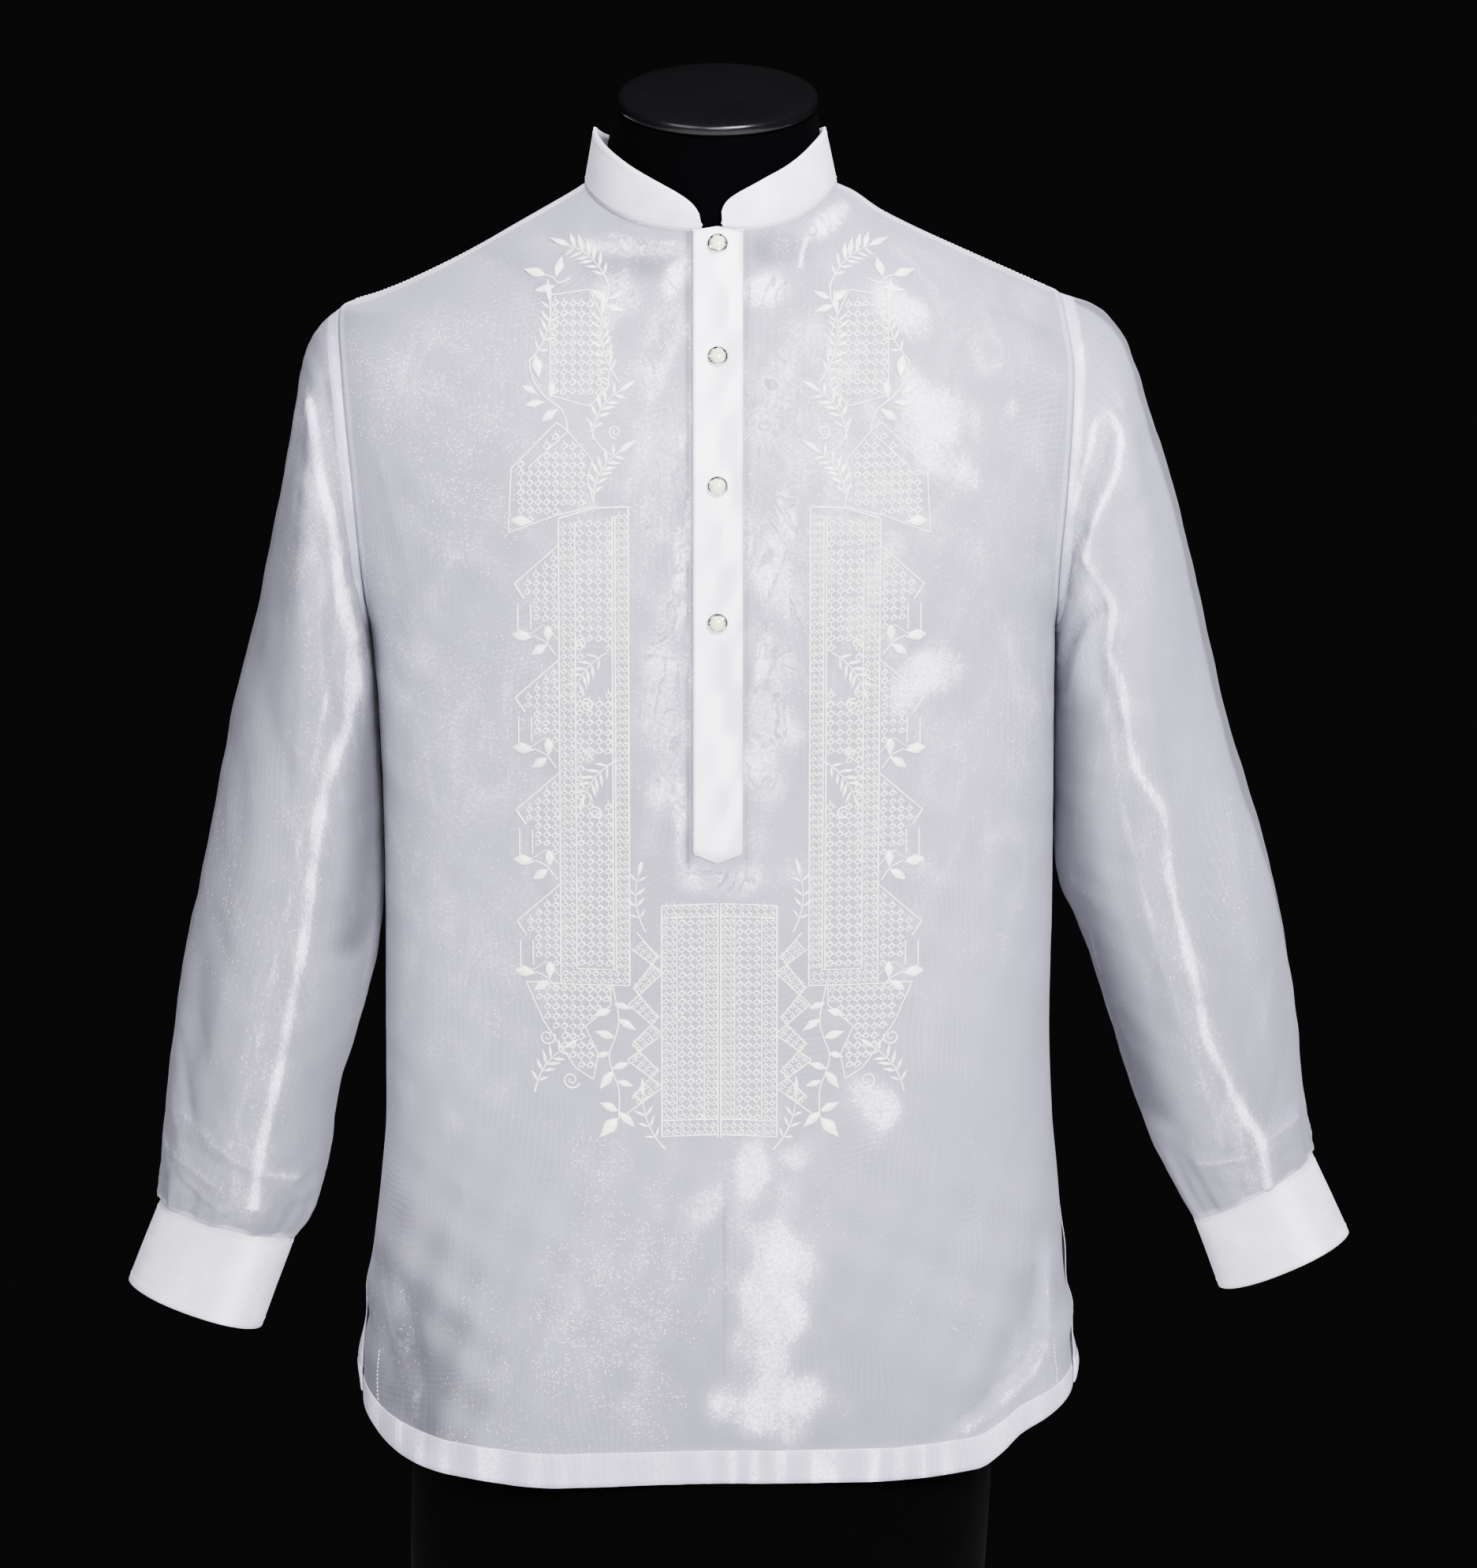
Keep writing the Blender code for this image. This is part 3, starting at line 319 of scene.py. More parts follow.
def body_depth(x, height, face):
    """The y of a panel at x and a height, cut back for the armholes."""
    depth, power = depth_and_power(height, face)
    tip = by_side(SHOULDER_TIP, x)
    place = (2.0 * height - tip - ARMPIT) / (tip - ARMPIT)
    hole = ARMHOLE_DEPTH[face] * np.sqrt(np.maximum(0.0, 1.0 - place * place))
    reach = half_width(x, height) / (1.0 - (hole / depth) ** power) ** (1.0 / power)
    share = np.minimum(np.abs(x) / reach, 1.0)
    return face * np.maximum(depth * (1.0 - share**power) ** (1.0 / power), SEAM_GAP / 2)


def halve(function, low, high):
    """The roots of a function that rises from low to high."""
    for _ in range(40):
        middle = (low + high) / 2
        above = function(middle) > 0
        low, high = np.where(above, low, middle), np.where(above, middle, high)
    return (low + high) / 2


def top_of_columns(place, face):
    """Height of the neck or the shoulder seam where each column of a panel ends."""
    reach = by_side(NECK_EDGE, place)
    y = NECK_DEPTH[face] * np.sqrt(np.maximum(0.0, 1.0 - (place / reach) ** 2))

    def outside(height):
        depth, power = depth_and_power(height, face)
        across = np.abs(place) / half_width(place, height)
        return across**power + (y / depth) ** power - 1.0

    neck = halve(outside, np.full(place.shape, 0.95), np.full(place.shape, NECK_POINT))
    shoulder = halve(
        lambda height: np.abs(place) - half_width(place, height),
        by_side(SHOULDER_TIP, place),
        np.full(place.shape, NECK_POINT),
    )
    return np.where(np.abs(place) < reach - 1e-6, neck, shoulder)


def swept_share(share):
    return np.sin(math.pi / 2 * np.minimum(share, 1.0) ** 1.15)


def hem_rise(place, face):
    """How much higher than at the middle a column's hem hangs."""
    tip = by_side(SHOULDER_TIP, place)
    share = swept_share(np.abs(place) / half_width(place, tip))
    front = "front_" if face < 0 else "back_"
    left, right = (between(HEM_CORNERS, front + side, share) for side in ("left", "right"))
    rise = np.where(place < 0, left, right)
    for x, width, drop in HEM_WAVES:
        rise = rise - drop * bell(place - x, width)
    return rise


def column_x(place, height, face):
    """The x of a column at a height, between its place at the shoulder and an even spread round the body."""
    side = np.where(place < 0, -1.0, 1.0)
    tip_height = by_side(SHOULDER_TIP, place)
    tip = half_width(place, tip_height)
    edge = np.where(height > tip_height, tip, half_width(place, height))
    share = np.abs(place) / tip
    below_arm = 1.0 - ease((height - SPREAD_FOOT) / SPREAD_HEIGHT)
    ratio = share + below_arm * (swept_share(share) - share)
    open_by = SLIT_OPEN[face] * (np.maximum(0.0, SLIT_TOP - height) / (SLIT_TOP - HEM)) ** 1.4
    depth, power = depth_and_power(height, face)
    ratio = ratio * (1.0 - (open_by / depth) ** power) ** (1.0 / power)
    blend = ease((np.abs(place) - PLACKET_HALF) / (tip - PLACKET_HALF))
    return side * (np.abs(place) * (1.0 - blend) + ratio * edge * blend)


def fold_lift(x, height, face):
    lift = np.zeros(x.shape)
    for side, top_x, top_z, foot_x, foot_z, width, rise in BODY_FOLDS:
        if side != face:
            continue
        along = (top_z - height) / (top_z - foot_z)
        middle = top_x + (foot_x - top_x) * np.clip(along, 0.0, 1.0)
        fade = ease(along / 0.5)
        if foot_z > HEM:
            fade = fade * ease((1.0 - along) / 0.4)
        lift += rise * fade * bell(x - middle, width)
    return lift


def crease_lift(x, height, face):
    lift = np.zeros(x.shape)
    for side, x1, z1, x2, z2, width, rise in BODY_CREASES:
        if side != face:
            continue
        run = math.hypot(x2 - x1, z2 - z1)
        ux, uz = (x2 - x1) / run, (z2 - z1) / run
        along = ((x - x1) * ux + (height - z1) * uz) / run
        away = (x - x1) * -uz + (height - z1) * ux
        away = away + 0.25 * run * (along - 0.5) ** 2
        fade = ease((along + 0.15) / 0.4) * ease((1.15 - along) / 0.4)
        lift += rise * fade * bell(away, width)
    return lift


# Slow waves of hanging cloth: pitch, slant, share of the height
RIPPLES = ((0.11, 0.3, 0.34), (0.067, -0.62, 0.26), (0.041, 0.95, 0.16), (0.026, -0.25, 0.1), (0.055, 1.9, 0.2))
RIPPLE_HEIGHT = 0.00085


def ripple(u, v, seed):
    """Slow unevenness of hanging cloth, about a third of a millimetre each way."""
    total = np.zeros(u.shape)
    for k, (pitch, slant, size) in enumerate(RIPPLES):
        phase = seed * (1.7 + k) + 2.1 * k
        bend = 0.7 * np.sin(2 * math.pi * (v * 3.1 + u * 2.3) + phase)
        total += size * np.sin(2 * math.pi * (u + slant * v) / pitch + phase + bend)
    return RIPPLE_HEIGHT * total


def grid_corners(rows, columns):
    """Row and column of each of the four corners of every face of a grid."""
    row, column = (part.ravel() for part in np.mgrid[0:rows, 0:columns])
    return np.array(((row, column), (row, column + 1), (row + 1, column + 1), (row + 1, column)))


def grid_normals(points, sign, wrap=False):
    if wrap:
        across = np.roll(points, -1, axis=1) - np.roll(points, 1, axis=1)
    else:
        across = np.gradient(points, axis=1)
    normals = sign * np.cross(across, np.gradient(points, axis=0))
    return normals / np.maximum(np.linalg.norm(normals, axis=2, keepdims=True), 1e-12)


def run_lengths(points, axis):
    """Distance along each line of a grid from its start."""
    steps = np.linalg.norm(np.diff(points, axis=axis), axis=2)
    total = np.cumsum(steps, axis=axis)
    return np.concatenate([np.zeros_like(np.take(total, [0], axis)), total], axis)


def panel_places(steps):
    """Columns of a panel, named by their x at the shoulder, closer together towards its sides."""
    line = []
    for side in (-1, 1):
        edge = NECK_EDGE[side]
        tip = float(half_width(np.array(side), np.array(SHOULDER_TIP[side])))
        shares = [PLACKET_HALF] + [edge * s for s in (0.43, 0.66, 0.80, 0.89, 0.96, 1.0)]
        shares += [edge + (tip - edge) * s for s in (0.13, 0.28, 0.44, 0.60, 0.75, 0.88, 1.0)]
        line.append(shares)
    coarse = np.array([-x for x in reversed(line[0])] + [0.0] + line[1])
    spots = np.linspace(0, len(coarse) - 1, (len(coarse) - 1) * steps + 1)
    return np.interp(spots, np.arange(len(coarse)), coarse)


@functools.cache
def panel_sheet(face, steps=7, lower_rows=146, yoke_rows=34):
    """Points, normals, doubled places, and the painted highlight and painted shade of the lines and hem of the front
    (-1) or the back (1) panel.
    """
    place = panel_places(steps)
    low = HEM + HEM_DEPTH
    lower = np.concatenate([np.linspace(HEM, low - HEM_FOLD, 7), np.linspace(low, YOKE, lower_rows)])
    shares = np.linspace(0, 1, yoke_rows + 1)[1:]
    top = top_of_columns(place, face)
    rows = np.concatenate(
        [np.repeat(lower[:, None], len(place), 1), YOKE + (top - YOKE) * (1.0 - (1.0 - shares[:, None]) ** 2)]
    )
    level = rows + hem_rise(place, face) * np.maximum(0.0, (RISE_TOP - rows) / (RISE_TOP - HEM))
    across = np.repeat(place[None, :], len(rows), 0)
    x = column_x(across, level, face)
    y = body_depth(x, level, face)
    share = np.abs(across) / half_width(across, by_side(SHOULDER_TIP, across))
    for side, way, height, half, out in SIDE_WAVES:
        if side == face:
            strip = np.clip((share - 0.80) / 0.20, 0.0, 1.0)
            strip = ease(strip) if face < 0 or height > SLIT_TOP else np.sin(math.pi * strip**1.5)
            x = x + way * out * bell(level - height, half) * strip * (np.sign(across) == way)
    if face > 0:
        y = y - SLIT_WRAP * ease((share - 0.84) / 0.16) * ease((SLIT_TOP + 0.004 - level) / 0.032)
    points = np.stack([x, y, level], -1)
    normals = grid_normals(points, -face)
    free = ease((1.0 - share) / 0.10) * ease((top - level) / 0.030)
    calm = 1.0 - 0.75 * ease((PLACKET_HALF + 0.012 - np.abs(x)) / 0.012) * (face < 0)
    lift = fold_lift(x, level, face) + crease_lift(x, level, face) * calm
    lift += ripple(x, level, face) * free * calm
    # Lines of the cloth raise or sink it and carry painted highlight and painted shade
    rise, gleam, shade = follow_lines(BODY_LINES[face], points, normals, face)
    lift += rise * free
    hem = within(rows, low, HEM_FOLD)
    stitched = bell(rows - low, 0.006) + 0.35 * hem
    pucker = np.sin(x / 0.0052 + 2.2 * np.sin(x / 0.021)) * (0.6 + 0.4 * np.sin(x / 0.034 + face))
    lift += HEM_LIFT * hem + HEM_PUCKER * stitched * pucker - HEM_GROOVE * bell(rows - low, 0.0014)
    points = points + normals * lift[..., None]
    normals = grid_normals(points, -face)
    seam = np.abs(np.abs(points[:, :, 1]) - SEAM_GAP / 2) < 0.0002
    normals[seam, 1] = 0.0
    normals[seam] /= np.linalg.norm(normals[seam], axis=1, keepdims=True)
    from_side = run_lengths(points, 1)
    from_side = np.minimum(from_side, from_side[:, -1:] - from_side)
    from_top = run_lengths(points[::-1], 0)[::-1]
    facing = within(from_side, SLIT_FACING) * (rows < SLIT_TOP)
    seam_cloth = within(from_top, SHOULDER_SEAM) * (np.abs(across) >= by_side(NECK_EDGE, across))
    seam_cloth = np.maximum(seam_cloth, 0.8 * within(from_side, SIDE_SEAM) * (rows > ARMPIT))
    # Painted highlight and painted shade in uneven upright stripes on the hem
    folds = np.sin(x / 0.0034 + 2.6 * np.sin(x / 0.017 + face)) * (0.55 + 0.45 * np.sin(x / 0.041))
    gleam = np.maximum(gleam, 0.55 * hem * ease(0.40 + 1.1 * folds))
    shade = np.maximum(shade, 0.50 * hem * ease(0.35 - 1.1 * folds))
    return points, normals, np.maximum.reduce([hem, facing, seam_cloth]), gleam, shade


def section(row, side):
    """Centre and half axes of an oval section of a sleeve or a cuff."""
    outer_x, outer_z, inner_x, inner_z, middle_y, half_depth = row
    if not inner_x:
        inner_x = float(half_width(np.array(side), np.array(inner_z))) + BODY_CLEARANCE
    outer = np.array((side * outer_x, middle_y, outer_z))
    inner = np.array((side * inner_x, middle_y, inner_z))
    return (outer + inner) / 2, (outer - inner) / 2, np.array((0.0, -half_depth, 0.0))


def oval(ends, angles):
    centre, across, forward = ends
    return centre + np.cos(angles)[:, None] * across + np.sin(angles)[:, None] * forward


def armhole_ring(angles, side):
    """The first ring of a sleeve, which lies along the armhole."""
    tip = SHOULDER_TIP[side]
    height = (tip + ARMPIT) / 2 + (tip - ARMPIT) / 2 * np.cos(angles)
    low = 0.5 - 0.5 * np.cos(angles)
    x = half_width(np.full(angles.shape, side), height)
    x = x + SLEEVE_GAP + (BODY_CLEARANCE - SLEEVE_GAP) * low**4
    depth = np.where(np.sin(angles) >= 0, ARMHOLE_DEPTH[-1], ARMHOLE_DEPTH[1])
    return np.stack([side * x, -depth * np.sin(angles), height], -1)


def follow_lines(table, points, normals, face):
    """What lines on a piece give at each of its points: height, painted highlight and painted shade."""
    spots = 1000 * points[:, :, (0, 2)].reshape(-1, 2)
    rise, gleam, shade = (np.zeros(points.shape[:2]) for _ in range(3))
    for way, width, high, bright, dark, path in table:
        away, hand = (part.reshape(rise.shape) for part in to_lines([bent(path, 4.0)], spots))
        facing = ease(0.5 + way * normals[:, :, 1] / 0.60) if way and not face else 1.0
        wander = 0.84 + 0.16 * np.sin(points[:, :, 2] * 130 + points[:, :, 0] * 70 + width)
        rise += 0.001 * high * facing * bell(away, width + 1.5)
        core = np.exp(-((away / (np.where(hand > 0, 0.70, 0.85) * width + 0.4)) ** 2))
        soft = np.exp(-((away / np.where(hand > 0, 1.8 * width, GLOW_REACH * width)) ** 2))
        gleam = np.maximum(gleam, bright * facing * wander * np.maximum(core, GLOW_SHARE * soft))
        shade = np.maximum(shade, dark * facing * bell(away, width))
    return rise, gleam, shade


def along_sleeve(folds, ring, degrees, sharp):
    lift = np.zeros(ring.shape)
    for start, start_angle, end, end_angle, width, rise in folds:
        along = (ring - start) / (end - start)
        middle = start_angle + (end_angle - start_angle) * along
        away = (degrees - middle + 180.0) % 360.0 - 180.0
        fade = np.sin(math.pi * np.clip(along, 0, 1)) ** (0.6 if sharp else 1.0)
        lift += rise * fade * bell(away, width)
    return lift


@functools.cache
def sleeve_sheet(side, ring_steps=13, around=168):
    """Points, normals, painted highlight lines and painted shade of a sleeve, from the armhole to inside its cuff."""
    rows = SLEEVES[side]
    sections = [section(row, side) for row in rows]
    cuff_top, cuff_end = (section(row, side) for row in CUFFS[side])
    axis = cuff_end[0] - cuff_top[0]
    axis /= np.linalg.norm(axis)
    sections.append((cuff_top[0] + axis * CUFF_TUCK, cuff_top[1], cuff_top[2]))
    angles = 2 * math.pi * (np.arange(around) + 0.5) / around
    coarse = np.array([armhole_ring(angles, side)] + [oval(ends, angles) for ends in sections])
    last = len(coarse) - 1
    ring = np.linspace(0, last, last * ring_steps + 1)
    points = follow(np.arange(last + 1.0), coarse, ring)
    normals = grid_normals(points, side, wrap=True)
    rings = np.repeat(ring[:, None], around, 1)
    degrees = np.repeat(np.degrees(angles)[None, :], len(ring), 0)
    near_cuff = ease((rings - (last - 3.5)) / 2.5)
    turn = np.radians(degrees)
    gather = np.cos(turn * GATHERS + 0.8 * np.sin(turn)) + 0.35 * np.cos(turn * 23 + side) * near_cuff**3
    free = ease(rings / 1.2) * ease((last - rings) / 0.6)
    lift = along_sleeve(SLEEVE_FOLDS[side], rings, degrees, False)
    lift += along_sleeve(SLEEVE_CREASES[side], rings, degrees, True) * free
    lift += GATHER_LIFT * near_cuff * gather
    lift += ripple(turn * 0.065, rings * 0.038, 3 * side) * free
    # Lines of the sleeve raise or sink it and carry painted highlight and painted shade
    rise, gleam, shade = follow_lines(SLEEVE_LINES[side], points, normals, 0)
    lift += rise * free
    lift *= np.where(rings > 0, 1.0, 0.0)
    # Painted shade where no highlight line lies: the left sleeve throughout and the right one towards its cuff,
    # standing partly for the dark inside seen through the sheer cloth
    shade = np.maximum(shade, 0.45 if side < 0 else 0.34 * within(points[:, :, 2], 0.74, 0.26))
    left = run_lengths(points, 0)
    left = left[-1:] - left
    tucked = within(left, CUFF_TUCK + TUCK_FADE, TUCK_FADE)
    lift = lift * (1 - tucked) - TUCK_DEPTH * tucked
    points = points + normals * lift[..., None]
    return points, grid_normals(points, side, wrap=True), gleam, shade


@functools.cache
def cuff_sheet(side, rows=24, count=190):
    """Points and normals of a cuff: a strip that laps over itself."""
    top, bottom = (section(row, side) for row in CUFFS[side])
    turn = 2 * math.pi + CUFF_LAP
    swept = turn * np.arange(count + 1) / count
    angles = CUFF_LAP_START + swept
    lines = []
    for level in np.linspace(0, 1, rows + 1):
        ends = [first + (second - first) * level for first, second in zip(top, bottom)]
        lift = (BAND + 2 * SEAM_GAP) * ease((swept - 2 * math.pi + CUFF_LAP_RAMP) / CUFF_LAP_RAMP)
        lift += 0.00018 * np.sin(angles * 5 + 3 * level) - 0.0002 * bell(level - 0.06, 0.03)
        away = np.cos(angles)[:, None] * ends[1] + np.sin(angles)[:, None] * ends[2]
        away /= np.linalg.norm(away, axis=1, keepdims=True)
        lines.append(oval(ends, angles) + away * lift[:, None])
    points = np.array(lines)
    return points, grid_normals(points, side)


@functools.cache
def placket_sheet(count=17):
    """Points and normals of the placket, which lies on the middle of the front."""
    points, normals = panel_sheet(-1)[:2]
    line = np.linspace(-PLACKET_HALF, PLACKET_HALF, count)
    first = int(np.searchsorted(points[:, points.shape[1] // 2, 2], PLACKET_END))
    base, facing = [], []
    for row in range(first, len(points)):
        near = np.abs(points[row, :, 0]) < 0.03
        keys = points[row, near, 0]
        base.append(np.stack([line] + [np.interp(line, keys, points[row, near, axis]) for axis in (1, 2)], -1))
        facing.append(np.stack([np.interp(line, keys, normals[row, near, axis]) for axis in range(3)], -1))
    base, facing = np.array(base), np.array(facing)
    facing /= np.linalg.norm(facing, axis=2, keepdims=True)
    below = points[first - 1, points.shape[1] // 2]
    tip = 1.0 - np.abs(line) / PLACKET_HALF
    slope = (below - base[0, count // 2]) / (base[0, count // 2, 2] - below[2])
    base[0] += slope * (PLACKET_TIP * tip)[:, None]
    base[-1] += (base[-2] - base[-1]) * (PLACKET_TOP / (base[-1, 0, 2] - base[-2, 0, 2]))
    edge = 1.0 - within(np.abs(line), PLACKET_HALF, BAND)
    lift = SEAM_GAP + BAND - 0.0004 * edge[None, :] + 0.00012 * np.sin(base[:, :, 2] / 0.013)
    return base + facing * lift[..., None], facing


@functools.cache
def neck_edge():
    """The closed neck edge of both panels, from the middle of the front round to it again."""
    lines = {}
    for face in (-1, 1):
        top = panel_sheet(face)[0][-1]
        inside = (top[:, 0] >= -NECK_EDGE[-1] - SEAM_GAP) & (top[:, 0] <= NECK_EDGE[1] + SEAM_GAP)
        lines[face] = top[inside]
    front = lines[-1]
    middle = int(np.argmin(np.abs(front[:, 0])))
    return np.concatenate([front[middle:], lines[1][::-1], front[: middle + 1]])


@functools.cache
def collar_sheet(levels=12, count=230, curved=28):
    """Points and normals of the stand collar, from its right front end round to its left one."""
    edge = neck_edge()
    run = np.concatenate([[0.0], np.cumsum(np.linalg.norm(np.diff(edge, axis=0), axis=1))])
    start = COLLAR_SHIFT + COLLAR_GAP
    length = run[-1] - 2 * COLLAR_GAP
    ends = COLLAR_CURVE * (np.arange(curved + 1) / curved) ** 1.7
    middle = np.linspace(COLLAR_CURVE, length - COLLAR_CURVE, count - 2 * curved)[1:-1]
    distance = start + np.concatenate([ends, middle, length - ends[::-1]])
    x, y, seam = (np.interp(distance, run, edge[:, axis]) for axis in range(3))
    share = np.maximum(0.0, 1.0 - np.minimum(distance - start, start + length - distance) / COLLAR_CURVE)
    height = COLLAR_END + (COLLAR_HEIGHT - COLLAR_END) * (1.0 - share**COLLAR_ROUND) ** (1 / COLLAR_ROUND)
    turn = np.arctan2(x / by_side(NECK_EDGE, x), -y / by_side(NECK_DEPTH, y))
    depth = np.where(np.cos(turn) > 0, COLLAR_TOP["front"], COLLAR_TOP["back"])
    top = COLLAR_TOP["shift"] + COLLAR_TOP["half"] * np.sin(turn), -depth * np.cos(turn)
    lines = []
    for level in np.linspace(0, 1, levels + 1):
        rise = height * level
        lean = rise / COLLAR_HEIGHT
        swell = 0.0007 * math.sin(math.pi * level) * np.sign(y)
        outwards = [x + (top[0] - x) * lean, y + (top[1] - y) * lean + swell]
        lines.append(np.stack(outwards + [seam + COLLAR_SEAM * (level > 0) + rise], -1))
    points = np.array(lines)
    return points, grid_normals(points, 1)


# ---------------------------------------------------------------- sizes of the needlework, in millimetres

# Lattice fields: distance from the middle line and height of each corner, for one side of the front
LATTICE_FIELDS = (
    ((104, 962), (80, 966), (70, 946), (66, 928), (69, 908), (80, 898), (104, 904)),
    ((100, 888), (128, 860), (130, 820), (100, 832), (77, 838), (81, 855), (78, 866), (94, 884)),
    ((121, 533), (68, 533), (68, 520), (84, 506), (76, 488), (79, 472), (90, 479), (100, 493), (110, 508)),
)
BAND_OUTSIDE, BAND_INSIDE, BAND_FOOT, BAND_TOP = 99, 56, 533, (830, 838)
BAND_LINES = ((89, 543, 828), (66, 543, 832), (64.2, 543, 832))
WING_TOPS = (813, 741, 669, 597)
WING = ((0, 0), (27, -25), (21, -34), (25, -37), (25, -54), (17, -56), (9, -50), (0, -59))
WING_LINES = (((0, 0), (27, -25), (21, -34)), ((25, -37), (25, -54)), ((17, -37), (17, -53)))
# Panel beside the middle: its foot and top, those of its inner lines, its edges, all its upright lines
PANEL_FOOT, PANEL_TOP = 436, 585
PANEL_LOW, PANEL_HIGH = PANEL_FOOT + 10, PANEL_TOP - 8
PANEL_EDGES = (36, 1.0)
PANEL_LINES = (36, 26.5, 9.5, 1.0)
LADDER = ((53, 562), (37, 547), (55, 526), (37, 507), (56, 490), (37, 473), (56, 456))
LADDER_HALF = 4.2
# Sprays: first and last point of the stem, its bow to one side, leaf pairs, leaf length, slimness
SPRAYS = (
    (95, 990, 68, 968, -5, 6, 9, 0.26), (105, 960, 117, 924, -5, 5, 8, 0.26), (72, 954, 61, 912, 5, 7, 9, 0.24),
    (60, 908, 78, 878, 5, 5, 9, 0.3), (60, 872, 77, 838, 6, 6, 9, 0.3), (89, 723, 69, 747, -3, 5, 10, 0.24),
    (84, 654, 64, 678, -3, 5, 10, 0.24), (96, 492, 116, 462, 4, 5, 9, 0.26), (50, 606, 46, 568, 4, 4, 8, 0.24),
    (48, 464, 34, 428, 4, 4, 8, 0.24),
)
# Single leaves: root, tip, slimness
LEAVES = (
    (108, 973, 121, 975, 0.42), (101, 973, 97, 983, 0.45), (102, 967, 115, 964, 0.42), (70, 960, 79, 966, 0.52),
    (68, 961, 58, 966, 0.4), (70, 957, 59, 954, 0.42), (113, 927, 111, 914, 0.5), (121, 909, 112, 905, 0.45),
    (119, 898, 107, 900, 0.42), (103, 912, 104, 902, 0.55), (109, 889, 99, 896, 0.5), (68, 517, 79, 513, 0.48),
    (66, 521, 55, 518, 0.4), (63, 511, 52, 504, 0.42), (66, 499, 78, 503, 0.46), (69, 489, 78, 486, 0.46),
    (67, 479, 56, 483, 0.42), (67, 477, 75, 466, 0.5), (64, 471, 54, 468, 0.42), (64, 452, 75, 457, 0.48),
    (64, 447, 75, 435, 0.55), (63, 451, 53, 442, 0.46),
)
# Leaves and stem of a wing, from its top corner; the first leaf also grows where there is no wing
WINGLESS_TOP = 885
WING_STEM = ((16, -57), (8, -61), (2, -69))
WING_LEAVES = ((29, -57, 16, -58, 0.55), (7, -50, 7, -61, 0.6), (17, -69, 7, -62, 0.5))
# Curls: centre, radius, where the stem comes in, in degrees
CURLS = (
    (71, 911, 4, 20), (64, 883, 4, 260), (85, 752, 3.2, 320), (82, 713, 4, 60), (80, 683, 3.2, 320), (77, 644, 4, 60),
    (108, 498, 5, 160), (93, 471, 5.5, 200),
)
# Plain stems, as a few points each
STEMS = (
    ((108, 973), (103, 972), (99, 969), (92, 972)), ((68, 968), (69, 960), (72, 954)),
    ((117, 924), (115, 914), (108, 904), (97, 896)), ((97, 896), (94, 889), (93, 882)),
    ((80, 890), (78, 882), (73, 874), (66, 869)),
    ((67, 534), (63, 512), (65, 500), (69, 488), (67, 477), (63, 465), (63, 447)),
)
BARE_FIELDS = ((77, 734, 11, 17), (73, 665, 11, 17))
RING_PITCH = (5.4, 5.9)
